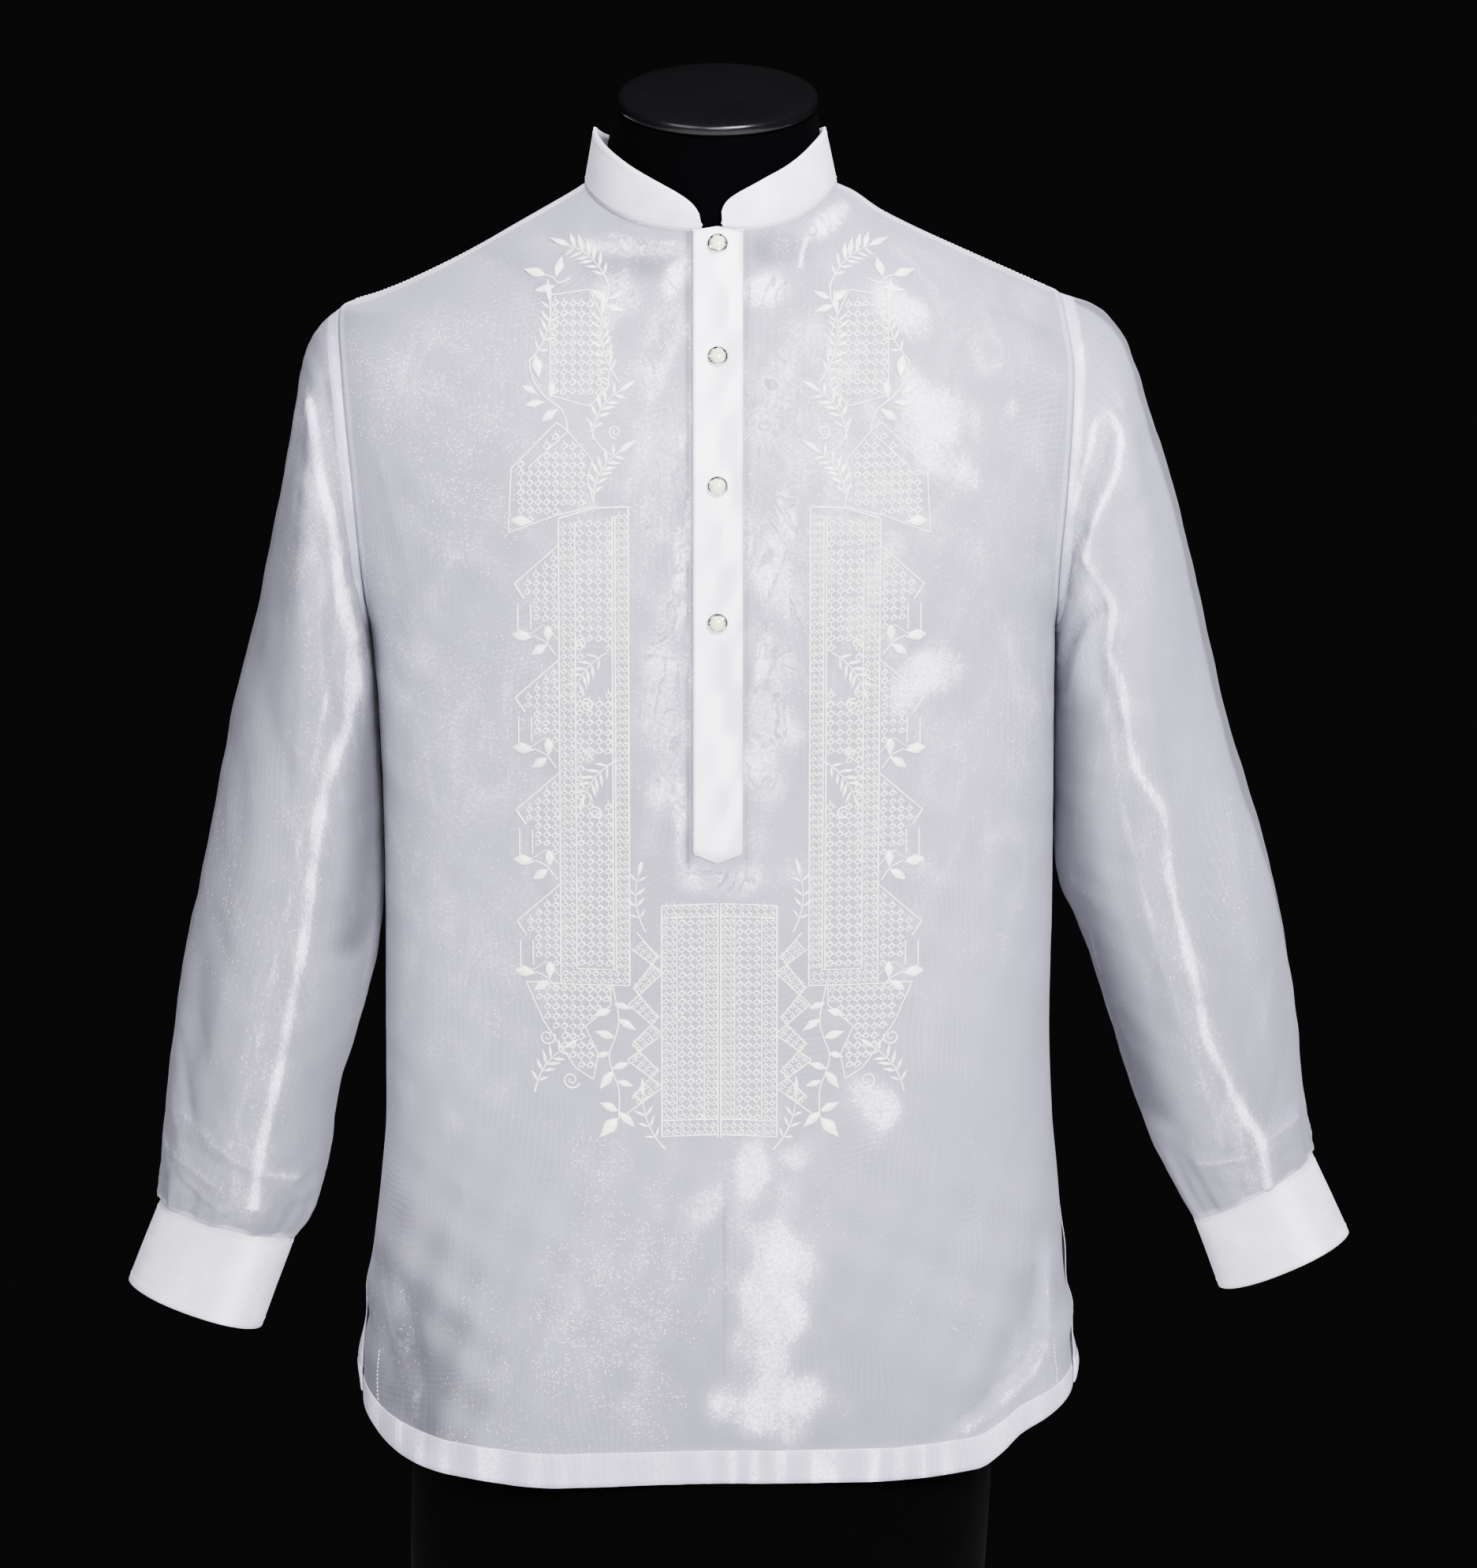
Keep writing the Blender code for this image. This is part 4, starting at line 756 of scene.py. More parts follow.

# Painted highlights, glints and shade of the cloth, the shade in places also standing for the dark form seen through
# it: face, x, height, half width, half height, slant, brightness, glints, darkness
GLEAMS = (
    (-1, 0.036, 0.335, 0.026, 0.065, 0.05, 0.8, 0.7, 0), (-1, 0.034, 0.264, 0.038, 0.024, 0, 0.78, 0.6, 0),
    (-1, 0.022, 0.412, 0.013, 0.03, 0.1, 0.75, 0.6, 0), (-1, -0.008, 0.393, 0.013, 0.022, 0.6, 0.6, 0.3, 0),
    (-1, 0.099, 0.452, 0.017, 0.021, -0.3, 0.8, 0.6, 0), (-1, 0.045, 0.423, 0.014, 0.01, 0, 0.5, 0.4, 0),
    (-1, -0.058, 0.335, 0.048, 0.062, 0.2, 0.22, 0.95, 0), (-1, -0.088, 0.3, 0.022, 0.024, 0, 0.22, 0.9, 0),
    (-1, -0.045, 0.262, 0.022, 0.02, 0, 0.15, 0.8, 0), (-1, -0.075, 0.42, 0.02, 0.026, 0, 0.2, 0.8, 0),
    (-1, 0.132, 0.884, 0.026, 0.04, -0.45, 0.86, 0.6, 0), (-1, 0.114, 0.952, 0.016, 0.022, -0.5, 0.78, 0.5, 0),
    (-1, 0.182, 0.893, 0.005, 0.008, 0, 0.6, 0.7, 0), (-1, 0.16, 0.925, 0.036, 0.024, -0.4, 0.34, 0.2, 0),
    (-1, 0.13, 0.728, 0.026, 0.022, 0.5, 0.72, 0.7, 0), (-1, 0.15, 0.69, 0.03, 0.02, 0.4, 0.36, 0.4, 0),
    (-1, 0.12, 0.61, 0.022, 0.016, 0.4, 0.4, 0.4, 0), (-1, -0.195, 0.905, 0.04, 0.034, 0.15, 0.3, 1, 0),
    (-1, -0.15, 0.93, 0.05, 0.024, 0.4, 0.22, 0.8, 0), (-1, -0.15, 0.86, 0.04, 0.07, 0.1, 0.2, 0.8, 0),
    (-1, -0.14, 0.7, 0.05, 0.06, 0.1, 0.12, 0.55, 0), (-1, -0.06, 0.99, 0.04, 0.006, -0.2, 0.6, 0.6, 0),
    (-1, -0.062, 0.962, 0.018, 0.02, 0.3, 0.55, 0.5, 0), (-1, -0.028, 0.972, 0.01, 0.014, 0.3, 0.85, 0.6, 0),
    (-1, -0.038, 0.93, 0.02, 0.036, 0.3, 0.52, 0.6, 0), (-1, -0.036, 0.845, 0.019, 0.06, 0.1, 0.5, 0.7, 0),
    (-1, -0.034, 0.72, 0.018, 0.085, 0, 0.58, 0.7, 0), (-1, -0.024, 0.79, 0.005, 0.05, 0, 0.85, 0.6, 0),
    (-1, -0.024, 0.645, 0.005, 0.03, 0, 0.8, 0.6, 0), (-1, 0.066, 1.003, 0.013, 0.009, 0.8, 1, 0.7, 0),
    (-1, 0.034, 0.968, 0.018, 0.012, 0.2, 0.8, 0.8, 0), (-1, 0.036, 0.905, 0.021, 0.05, 0.2, 0.56, 0.8, 0),
    (-1, 0.038, 0.8, 0.02, 0.06, -0.2, 0.6, 0.8, 0), (-1, 0.034, 0.7, 0.018, 0.07, 0.2, 0.58, 0.7, 0),
    (-1, 0.042, 0.836, 0.006, 0.022, -0.3, 0.9, 0.7, 0), (-1, 0.028, 0.744, 0.006, 0.03, 0.2, 0.85, 0.6, 0),
    (-1, 0.01, 0.603, 0.04, 0.011, 0, 0.6, 0.5, 0), (-1, 0.034, 0.99, 0.022, 0.01, 0.1, 0, 0.2, 0.6),
    (-1, 0.08, 0.85, 0.11, 0.13, 0, 0.46, 0.25, 0), (-1, -0.07, 0.86, 0.09, 0.12, 0, 0.34, 0.25, 0),
    (-1, -0.205, 0.25, 0.06, 0.11, 0.1, 0, 0, 0.85), (-1, -0.05, 0.98, 0.032, 0.009, 0, 0, 0.4, 0.5),
    (-1, -0.197, 0.258, 0.022, 0.058, -0.25, 0, 0, 1), (-1, -0.19, 0.3, 0.026, 0.06, -0.2, 0, 0, 0.3),
    (-1, 0.196, 0.318, 0.012, 0.036, 0, 0, 0, 0.4), (-1, 0.14, 0.79, 0.08, 0.28, 0, 0.3, 0, 0),
    (-1, -0.15, 0.64, 0.07, 0.19, 0, 0.32, 0.1, 0), (-1, 0.085, 0.3, 0.08, 0.08, 0, 0, 0, 0.1),
    (-1, -0.12, 0.56, 0.04, 0.12, 0, 0, 0.2, 0.1), (-1, 0, 0.23, 0.3, 0.16, 0, 0, 0, 0.36),
    (1, -0.09, 0.88, 0.07, 0.075, 0.2, 0.34, 0.2, 0), (1, 0.1, 0.86, 0.065, 0.09, -0.2, 0.36, 0.2, 0),
    (1, 0.01, 0.93, 0.034, 0.05, 0.1, 0.28, 0.2, 0), (1, 0.02, 0.64, 0.055, 0.16, 0.05, 0.34, 0.2, 0),
    (1, -0.06, 0.56, 0.06, 0.08, 0.1, 0.2, 0.3, 0), (1, -0.08, 0.4, 0.06, 0.12, 0, 0.34, 0.2, 0),
    (1, 0.09, 0.34, 0.06, 0.1, 0.1, 0.34, 0.2, 0), (1, 0.19, 0.3, 0.02, 0.05, 0, 0, 0, 0.36),
    (1, -0.19, 0.3, 0.02, 0.05, 0, 0, 0, 0.36),
)
# Lines of the cloth, raised or sunk, that carry painted highlight and painted shade: front (-1) or back (1), half
# width, height, brightness, darkness; then x and height, all in mm
BODY_LINES = {
    -1: (
        (-1, 2.4, -0.9, 0, 0.55, ((-219, 309), (-213, 283), (-200, 244))),
        (-1, 2, 0.9, 0.12, 0, ((-214, 306), (-207, 276), (-194, 242))),
        (-1, 2.2, -0.6, 0, 0.4, ((-206, 312), (-201, 280), (-186, 244))),
        (-1, 2.6, 1, 0.55, 0, ((213, 340), (213, 293), (207, 273), (187, 254), (160, 238))),
        (-1, 2.6, -1, 0, 0.5, ((206, 336), (205, 295), (199, 278), (179, 261), (148, 243))),
        (-1, 2, 0.7, 0.6, 0, ((17, 936), (30, 930), (46, 918))),
        (-1, 2, 0.7, 0.6, 0, ((21, 911), (45, 900), (52, 884))),
        (-1, 2.2, -0.8, 0, 0.45, ((20, 902), (30, 899), (40, 886))),
        (-1, 2, -0.6, 0, 0.35, ((20, 925), (33, 920), (46, 908))),
        (-1, 2.2, 0.8, 0.9, 0, ((72, 1005), (55, 995), (51, 979))),
        (-1, 1.6, 0.5, 0.8, 0, ((-66, 997), (-41, 994), (-22, 994), (-19, 984))),
        (-1, 1.8, 0.6, 0.85, 0, ((-21, 885), (-23, 859), (-19, 839), (-19, 810), (-22, 781), (-19, 761), (-20, 731))),
        (-1, 1.8, 0.6, 0.7, 0, ((-22, 712), (-27, 690), (-22, 664), (-26, 640))),
        (-1, 1.8, 0.6, 0.7, 0, ((20, 860), (25, 838), (20, 812), (22, 786))),
        (-1, 2, 0.6, 0.6, 0, ((24, 752), (34, 738), (28, 716), (36, 700))),
        (-1, 1.8, -0.6, 0, 0.35, ((24, 776), (30, 760), (24, 742))),
        (-1, 1.8, -0.6, 0, 0.35, ((-26, 792), (-32, 770), (-27, 744))),
        (-1, 1.4, -0.3, 0, 0.55, ((4, 408), (5, 274))), (-1, 2, -0.3, 0, 0.85, ((-18, 1000), (-18, 600))),
        (-1, 1.8, -0.2, 0, 0.45, ((18, 1000), (18, 600))),
        (-1, 5, -0.8, 0, 0.22, ((-150, 985), (-120, 975), (-95, 940))),
        (-1, 5, -0.8, 0, 0.2, ((205, 935), (170, 950), (150, 930))),
        (-1, 4, 0.8, 0.25, 0, ((-208, 860), (-190, 780), (-194, 720))),
        (-1, 4, 0.8, 0.25, 0, ((206, 880), (196, 800), (200, 730))),
    ),
    1: (
        (1, 3.4, 1, 0.36, 0, ((-206, 335), (-204, 290), (-180, 252))),
        (1, 3.4, 1, 0.36, 0, ((207, 335), (205, 290), (182, 252))),
        (1, 2.4, -0.9, 0, 0.45, ((-198, 330), (-195, 288), (-170, 250))),
        (1, 2.4, -0.9, 0, 0.45, ((199, 330), (196, 288), (172, 250))),
        (1, 5.5, 1, 0.34, 0, ((-160, 905), (-120, 880), (-100, 820), (-110, 740))),
        (1, 5.5, 1, 0.34, 0, ((158, 900), (122, 870), (104, 810), (112, 720))),
        (1, 6, 0.8, 0.28, 0, ((-30, 960), (-8, 880), (-14, 790), (4, 700))),
        (1, 6, -1, 0, 0.22, ((30, 940), (22, 840), (34, 740))),
        (1, 6, 0.8, 0.28, 0, ((-60, 520), (-50, 420), (-62, 320), (-54, 240))),
        (1, 6, -1, 0, 0.22, ((70, 560), (60, 440), (72, 320), (64, 240))),
    ),
}
# Lines of the sleeves, raised or sunk, that carry painted highlight and painted shade, in the columns of the lines of
# the body
SLEEVE_LINES = {
    -1: (
        (-1, 4.6, 1.2, 0.95, 0, ((-254, 890), (-251, 873), (-246, 844), (-240, 811), (-234, 772), (-229, 744))),
        (-1, 6.6, 1.3, 0.86, 0, ((-229, 744), (-228, 713), (-233, 687), (-243, 664), (-250, 636), (-255, 601))),
        (
            -1, 5.8, 1.3, 0.88, 0,
            ((-255, 601), (-259, 562), (-267, 523), (-275, 484), (-284, 444), (-293, 404), (-298, 370)),
        ),
        (-1, 2.6, 0.8, 0.55, 0, ((-241, 928), (-238, 908), (-232, 868), (-228, 832), (-225, 800))),
        (-1, 2.8, 0.3, 0.45, 0, ((-238, 738), (-253, 671), (-264, 610), (-270, 579), (-292, 481), (-311, 413))),
        (-1, 5, -1.6, 0, 0.72, ((-244, 902), (-239, 878), (-233, 845), (-229, 812), (-226, 780))),
        (0, 19, -1, 0, 0.88, ((-215, 740), (-220, 640), (-224, 590), (-232, 545))),
        (-1, 2.4, 1.2, 0.5, 0, ((-356, 404), (-339, 396), (-323, 386))),
        (-1, 2.8, -1.2, 0, 0.45, ((-350, 417), (-330, 405), (-305, 392))),
        (-1, 2.4, 1, 0.4, 0, ((-345, 430), (-322, 414), (-296, 396), (-270, 388))),
        (-1, 8, -1.4, 0, 0.28, ((-298, 765), (-286, 705), (-268, 655))),
        (-1, 7, -1.2, 0, 0.24, ((-324, 565), (-302, 520), (-285, 495))),
        (-1, 6, 1, 0.18, 0, ((-310, 650), (-304, 560), (-322, 470))),
        (-1, 6, -1, 0, 0.22, ((-340, 500), (-322, 455), (-330, 425))),
        (
            1, 6, 1.2, 0.5, 0,
            ((-252, 890), (-243, 820), (-250, 740), (-262, 660), (-272, 580), (-290, 480), (-305, 385)),
        ),
        (1, 4.4, 1, 0.4, 0, ((-240, 900), (-232, 850), (-226, 790))),
        (1, 5, -1.4, 0, 0.4, ((-246, 800), (-236, 740), (-240, 680))),
        (1, 7, -1.2, 0, 0.25, ((-310, 650), (-295, 580), (-310, 500))),
    ),
    1: (
        (-1, 3, 1.3, 0.95, 0, ((245, 884), (250, 873), (249, 857), (245, 842), (238, 827), (233, 812), (231, 795))),
        (-1, 5, 1.4, 0.95, 0, ((231, 795), (238, 780), (246, 768), (246, 758), (243, 738), (252, 722), (256, 700))),
        (-1, 4.4, 1.3, 0.92, 0, ((256, 700), (258, 684), (265, 660), (276, 642), (282, 624), (285, 592), (295, 554))),
        (-1, 4.8, 1.3, 0.9, 0, ((295, 554), (305, 515), (313, 480), (325, 455))),
        (-1, 5, 1.3, 1, 0, ((325, 455), (339, 426), (349, 409), (356, 374))),
        (-1, 3.6, 0.8, 0.8, 0, ((243, 885), (236, 880), (232, 862), (226, 842), (221, 822))),
        (-1, 3.2, 0.5, 0.75, 0, ((227, 925), (226, 900), (224, 870), (221, 835), (219, 800))),
        (
            -1, 2.8, 0.3, 0.45, 0,
            ((249, 685), (253, 649), (262, 611), (272, 573), (282, 539), (294, 504), (310, 455), (325, 406)),
        ),
        (-1, 2.6, -1.4, 0, 0.45, ((244, 868), (240, 850), (233, 833), (227, 812))),
        (-1, 3, -1.6, 0, 0.7, ((219, 770), (222, 795), (229, 812))),
        (-1, 3.2, -1.8, 0, 0.7, ((218, 703), (221, 730), (229, 755), (239, 764))),
        (0, 21, -1, 0, 0.88, ((216, 690), (219, 640), (229, 580), (246, 520), (264, 470), (280, 430))),
        (-1, 7, -1, 0, 0.2, ((300, 850), (318, 730), (334, 640), (342, 560))),
        (-1, 6, 1, 0.18, 0, ((322, 640), (336, 560), (352, 480))),
        (-1, 5, -1, 0, 0.22, ((350, 520), (338, 470), (356, 420))),
        (-1, 2.4, 1, 0.4, 0, ((372, 420), (356, 408), (338, 396), (310, 392))),
        (1, 6, 1.2, 0.5, 0, ((250, 890), (242, 810), (252, 730), (268, 650), (284, 580), (306, 480), (330, 390))),
        (1, 4.4, 1, 0.4, 0, ((238, 900), (230, 850), (224, 790))),
        (1, 5, -1.4, 0, 0.4, ((246, 790), (238, 730), (246, 670))),
        (1, 7, -1.2, 0, 0.25, ((318, 650), (312, 570), (330, 490))),
    ),
}

# ---------------------------------------------------------------- what a user may change


def colour_setting(name, description, default):
    return FloatVectorProperty(name=name, description=description, subtype="COLOR", default=default)


def length_setting(name, description, default, **limits):
    return FloatProperty(name=name, description=description, default=default, subtype="DISTANCE", **limits)


def power_setting(name, description, default):
    return FloatProperty(name=name, description=description, default=default, subtype="POWER")


class FormSettings(PropertyGroup):
    jersey: colour_setting("Jersey", "Colour of the covered trunk", (0.0003, 0.0003, 0.0004))
    lacquer: colour_setting("Lacquer", "Colour of the neck cap", (0.0020, 0.0020, 0.0023))


class ClothSettings(PropertyGroup):
    organza: colour_setting("Organza", "Colour of body and sleeves", (0.216, 0.211, 0.262))
    band: colour_setting("Band cloth", "Colour of collar, placket and cuffs", (0.66, 0.645, 0.76))
    thickness: length_setting("Thickness", "Wall of the organza", 0.0006, min=0.0002, max=0.0012)
    thread_pitch: length_setting("Thread pitch", "Distance between threads of the weave", 0.00055)


class NeedleSettings(PropertyGroup):
    silk: colour_setting("Silk", "Colour of the embroidery thread", (0.94, 0.935, 0.85))
    lattice: colour_setting("Lattice silk", "Colour of the lattice thread", (0.93, 0.925, 0.84))
    ring_radius: length_setting("Ring radius", "Middle radius of a lattice ring", 0.0017)
    ring_thread: length_setting("Ring thread", "Radius of a lattice ring's thread", 0.00070)
    cord_thread: length_setting("Border thread", "Radius of a laid border thread", 0.00064)
    stitch_pitch: length_setting("Stitch pitch", "Length of a machine stitch", 0.0026)
    seed: IntProperty(name="Seed", description="Seed of the needlework's unevenness", default=7)


class ButtonSettings(PropertyGroup):
    pearl: colour_setting("Pearl", "Colour of the pearl domes", (0.60, 0.585, 0.43))
    dome_radius: length_setting("Dome radius", "Radius of a pearl dome", 0.0047)
    rim_radius: length_setting("Rim radius", "Outside radius of the silver rim", 0.0066)


class StageSettings(PropertyGroup):
    floor: colour_setting("Floor", "Colour of the floor", (0.62, 0.62, 0.62))
    key: power_setting("Key light", "Strength of the main light", 322.0)
    fill: power_setting("Fill light", "Strength of the fill light", 95.0)


SETTINGS = {
    "barong_form": FormSettings,
    "barong_cloth": ClothSettings,
    "barong_needle": NeedleSettings,
    "barong_button": ButtonSettings,
    "barong_stage": StageSettings,
}


def settings_of(group):
    return getattr(bpy.context.scene, "barong_" + group)


# ---------------------------------------------------------------- nodes


class Value:
    """A node's output that adds, multiplies and so on as a number does."""

    def __init__(self, socket):
        self.socket = socket

    def __add__(self, other):
        return maths("ADD", self, other)

    def __sub__(self, other):
        return maths("SUBTRACT", self, other)

    def __rsub__(self, other):
        return maths("SUBTRACT", other, self)

    def __mul__(self, other):
        return maths("MULTIPLY", self, other)

    def __truediv__(self, other):
        return maths("DIVIDE", self, other)

    def __abs__(self):
        return maths("ABSOLUTE", self)


class Outputs:
    """A node's outputs as values, by name or number."""

    def __init__(self, node):
        self.node = node

    def __getitem__(self, key):
        return Value(self.node.outputs[key])


def tree_of(*values):
    return next(value.socket.id_data for value in values if isinstance(value, Value))


def fill(node, inputs):
    """Links or sets a node's inputs."""
    for key, value in inputs.items():
        if isinstance(value, Value):
            node.id_data.links.new(value.socket, node.inputs[key])
        else:
            node.inputs[key].default_value = value


def put(tree, kind, inputs=None, **settings):
    """The outputs of a new node with its settings and inputs."""
    made = tree.nodes.new(kind)
    for key, value in settings.items():
        setattr(made, key, value)
    fill(made, inputs or {})
    return Outputs(made)


def maths(operation, *values, clamp=False):
    return put(tree_of(*values), "ShaderNodeMath", dict(enumerate(values)), operation=operation, use_clamp=clamp)[0]


def wave(turns):
    """The sine of a number of whole turns."""
    return maths("SINE", turns * (2 * math.pi))


def noise(vector, scale, detail=2.0, stretch=None, roughness=0.5, swirl=0.0):
    tree = tree_of(vector)
    if stretch:
        vector = put(tree, "ShaderNodeMapping", {"Vector": vector, "Scale": stretch})[0]
    values = {"Vector": vector, "Scale": scale, "Detail": detail, "Roughness": roughness, "Distortion": swirl}
    return put(tree, "ShaderNodeTexNoise", values)[0]


def span(value, low, high, to_low=0.0, to_high=1.0):
    """A value moved from one range to another and kept inside it."""
    ends = {"From Min": low, "From Max": high, "To Min": to_low, "To Max": to_high}
    return put(tree_of(value), "ShaderNodeMapRange", {"Value": value, **ends})[0]


def blend(factor, first, second, kind="MIX"):
    """Two colours mixed; a plain colour has no alpha of its own."""
    colours = [(*colour, 1.0) if isinstance(colour, tuple) else colour for colour in (first, second)]
    inputs = {0: factor, 6: colours[0], 7: colours[1]}
    return put(tree_of(factor, first, second), "ShaderNodeMix", inputs, data_type="RGBA", blend_type=kind)[2]


def shaded(ground, tone):
    """A colour made lighter and darker by a tone round 1."""
    grey = put(tree_of(tone), "ShaderNodeCombineColor", {part: tone for part in (0, 1, 2)})[0]
    return blend(1.0, ground, grey, "MULTIPLY")


def parts_of(vector):
    return put(tree_of(vector), "ShaderNodeSeparateXYZ", {0: vector})


def turned_by(vector, angle):
    return put(tree_of(vector), "ShaderNodeMapping", {"Vector": vector, "Rotation": (0.0, 0.0, angle)})[0]


def new_group(name, kind, inputs, outputs):
    """A node group; each socket has its kind or, for a number, its default."""
    group = bpy.data.node_groups.new(name, kind)
    for in_out, sockets in (("INPUT", inputs), ("OUTPUT", outputs)):
        for label, value in sockets.items():
            holds = value if isinstance(value, str) else "Float"
            socket = group.interface.new_socket(label, in_out=in_out, socket_type="NodeSocket" + holds)
            if holds == "Float":
                socket.default_value = value
    return group, Outputs(group.nodes.new("NodeGroupInput")), group.nodes.new("NodeGroupOutput")


# Masks of the cloth: two layers, one sheer layer, painted satin highlight, painted glints, painted shade
MASKS = ("layers", "sheer", "gleam", "spark", "shade")


def weave_effect():
    """Plain weave with uneven threads; the vector is in metres."""
    inputs = {"Vector": "Vector", "Pitch": 0.00055, "Slub": 0.5}
    group, given, result = new_group("Plain weave", "ShaderNodeTree", inputs, {"Height": 0.0, "Tone": 0.0})
    wander = noise(given["Vector"], 90.0)
    parts = parts_of(given["Vector"])
    warp, weft = (wave((parts[axis] + wander * 0.0012) / given["Pitch"]) for axis in (0, 1))
    ways = (1.0, 0.03, 1.0), (0.03, 1.0, 1.0)
    along_warp, along_weft = (noise(given["Vector"], 700.0, 1.0, way) for way in ways)
    slub = (along_warp + along_weft - 1.0) * given["Slub"]
    fill(result, {"Height": (warp + weft) * 0.25 + 0.5 + slub, "Tone": slub})
    return group


def glitter_effect():
    """Painted pinpoint glints, one to a cell, in as many cells as the amount allows."""
    inputs = {"Vector": "Vector", "Amount": 0.5, "Scale": 600.0}
    group, given, result = new_group("Thread glitter", "ShaderNodeTree", inputs, {"Mask": 0.0})
    place = {"Vector": given["Vector"], "Scale": given["Scale"]}
    cells = put(group, "ShaderNodeTexVoronoi", place, voronoi_dimensions="2D")
    draw = put(group, "ShaderNodeSeparateColor", {"Color": cells["Color"]})
    dot = maths("MULTIPLY", 0.34 - cells["Distance"], 7.0, clamp=True)
    patches = span(noise(given["Vector"], 60.0, 3.0), 0.35, 0.62, 0.15, 1.0)
    picked = maths("MULTIPLY", given["Amount"] * patches * 0.42 - draw[0], 14.0, clamp=True)
    fill(result, {"Mask": dot * picked * (draw[1] * 0.5 + 0.5)})
    return group


def watering_effect():
    """The watered look of two sheer layers: fine upright wavy lines in broad patches."""
    inputs = {"Vector": "Vector", "Pitch": 0.0042}
    group, given, result = new_group("Watered lines", "ShaderNodeTree", inputs, {"Value": 0.0})
    bend = noise(given["Vector"], 9.0, 3.0, (1.0, 0.55, 1.0))
    lines = wave((parts_of(given["Vector"])[0] + bend * 0.055) / given["Pitch"])
    fill(result, {"Value": lines * span(noise(given["Vector"], 11.0, 1.0), 0.45, 0.62)})
    return group


def grain_effect():
    """Fine unevenness of a hard or matt finish."""
    inputs = {"Vector": "Vector", "Scale": 400.0, "Amount": 0.1}
    group, given, result = new_group("Fine grain", "ShaderNodeTree", inputs, {"Value": 0.0, "Height": 0.0})
    fine = noise(given["Vector"], given["Scale"], 3.0)
    fill(result, {"Value": (fine + noise(given["Vector"], 18.0) - 1.0) * given["Amount"], "Height": fine})
    return group


EFFECTS = {"weave": weave_effect, "glitter": glitter_effect, "watering": watering_effect, "grain": grain_effect}


@functools.cache
def effect_group(name):
    """The node group of an effect, made once."""
    return EFFECTS[name]()


def effect(tree, name, **inputs):
    return put(tree, "ShaderNodeGroup", inputs, node_tree=effect_group(name))


def new_material(name, **constants):
    """A material whose shader's own constants are set, with its tree and shader."""
    material = bpy.data.materials.new(name)
    material.use_nodes = True
    shader = material.node_tree.nodes["Principled BSDF"]
    fill(shader, {key.replace("_", " "): value for key, value in constants.items()})
    return material, material.node_tree, shader


def wire(shader, colour, rough, height, depth, strength):
    """Gives a shader its colour, its roughness and its relief."""
    relief = put(shader.id_data, "ShaderNodeBump", {"Height": height, "Distance": depth, "Strength": strength})
    fill(shader, {"Base Color": colour, "Roughness": rough, "Normal": relief[0]})


def tint(colour, factor):
    return tuple(min(1.0, part * factor) for part in colour)


def cloth_place(tree):
    return put(tree, "ShaderNodeUVMap", uv_map="Cloth")[0]


def object_place(tree):
    return put(tree, "ShaderNodeTexCoord")["Object"]


def mask(tree, name):
    return put(tree, "ShaderNodeAttribute", attribute_name=name)["Fac"]


def satin_patches(tree, cloth, gleam):
    """Painted highlight: how brightly the cloth gleams, cloudy and torn at the edge; and the painted shade of its
    crumples beside the placket.
    """
    cloudy = noise(cloth, 28.0, 4.0, (1.0, 0.50, 1.0), 0.52, 1.5)
    grain = noise(cloth, 420.0) + noise(cloth, 1300.0, 1.0)
    torn = gleam + (cloudy - 0.5) * 1.45 + (grain - 1.0) * 0.62
    crisp = span(torn, 0.44, 0.86) * span(gleam, 0.0, 0.60)
    patch = crisp * 0.66 + span(torn, 0.20, 1.0) * 0.36
    crumpled = noise(cloth, 34.0, 3.0, (1.0, 0.55, 1.0), 0.5, 2.2) - 0.5
    # Painted highlight along thin crumple lines where the gleam is strong
    crease = span(abs(crumpled), 0.0, 0.028, 0.9, 0.0) * span(gleam, 0.40, 0.60)
    patch = maths("MAXIMUM", patch, crease) * span(grain, 0.80, 1.20, 0.45, 1.0)
    place = parts_of(object_place(tree))
    pulled = span(abs(place["X"]), 0.06, 0.10, 1.0, 0.15) * span(place["Z"], 0.44, 0.52)
    # Painted shade in the crumples beside the placket
    crumple_shade = span(abs(crumpled - 0.05), 0.01, 0.055, 0.60, 0.0) * span(gleam, 0.44, 0.56) * pulled
    return patch * span(crumple_shade, 0.0, 0.60, 1.0, 0.25) * 0.86 + gleam * 0.14, crumple_shade


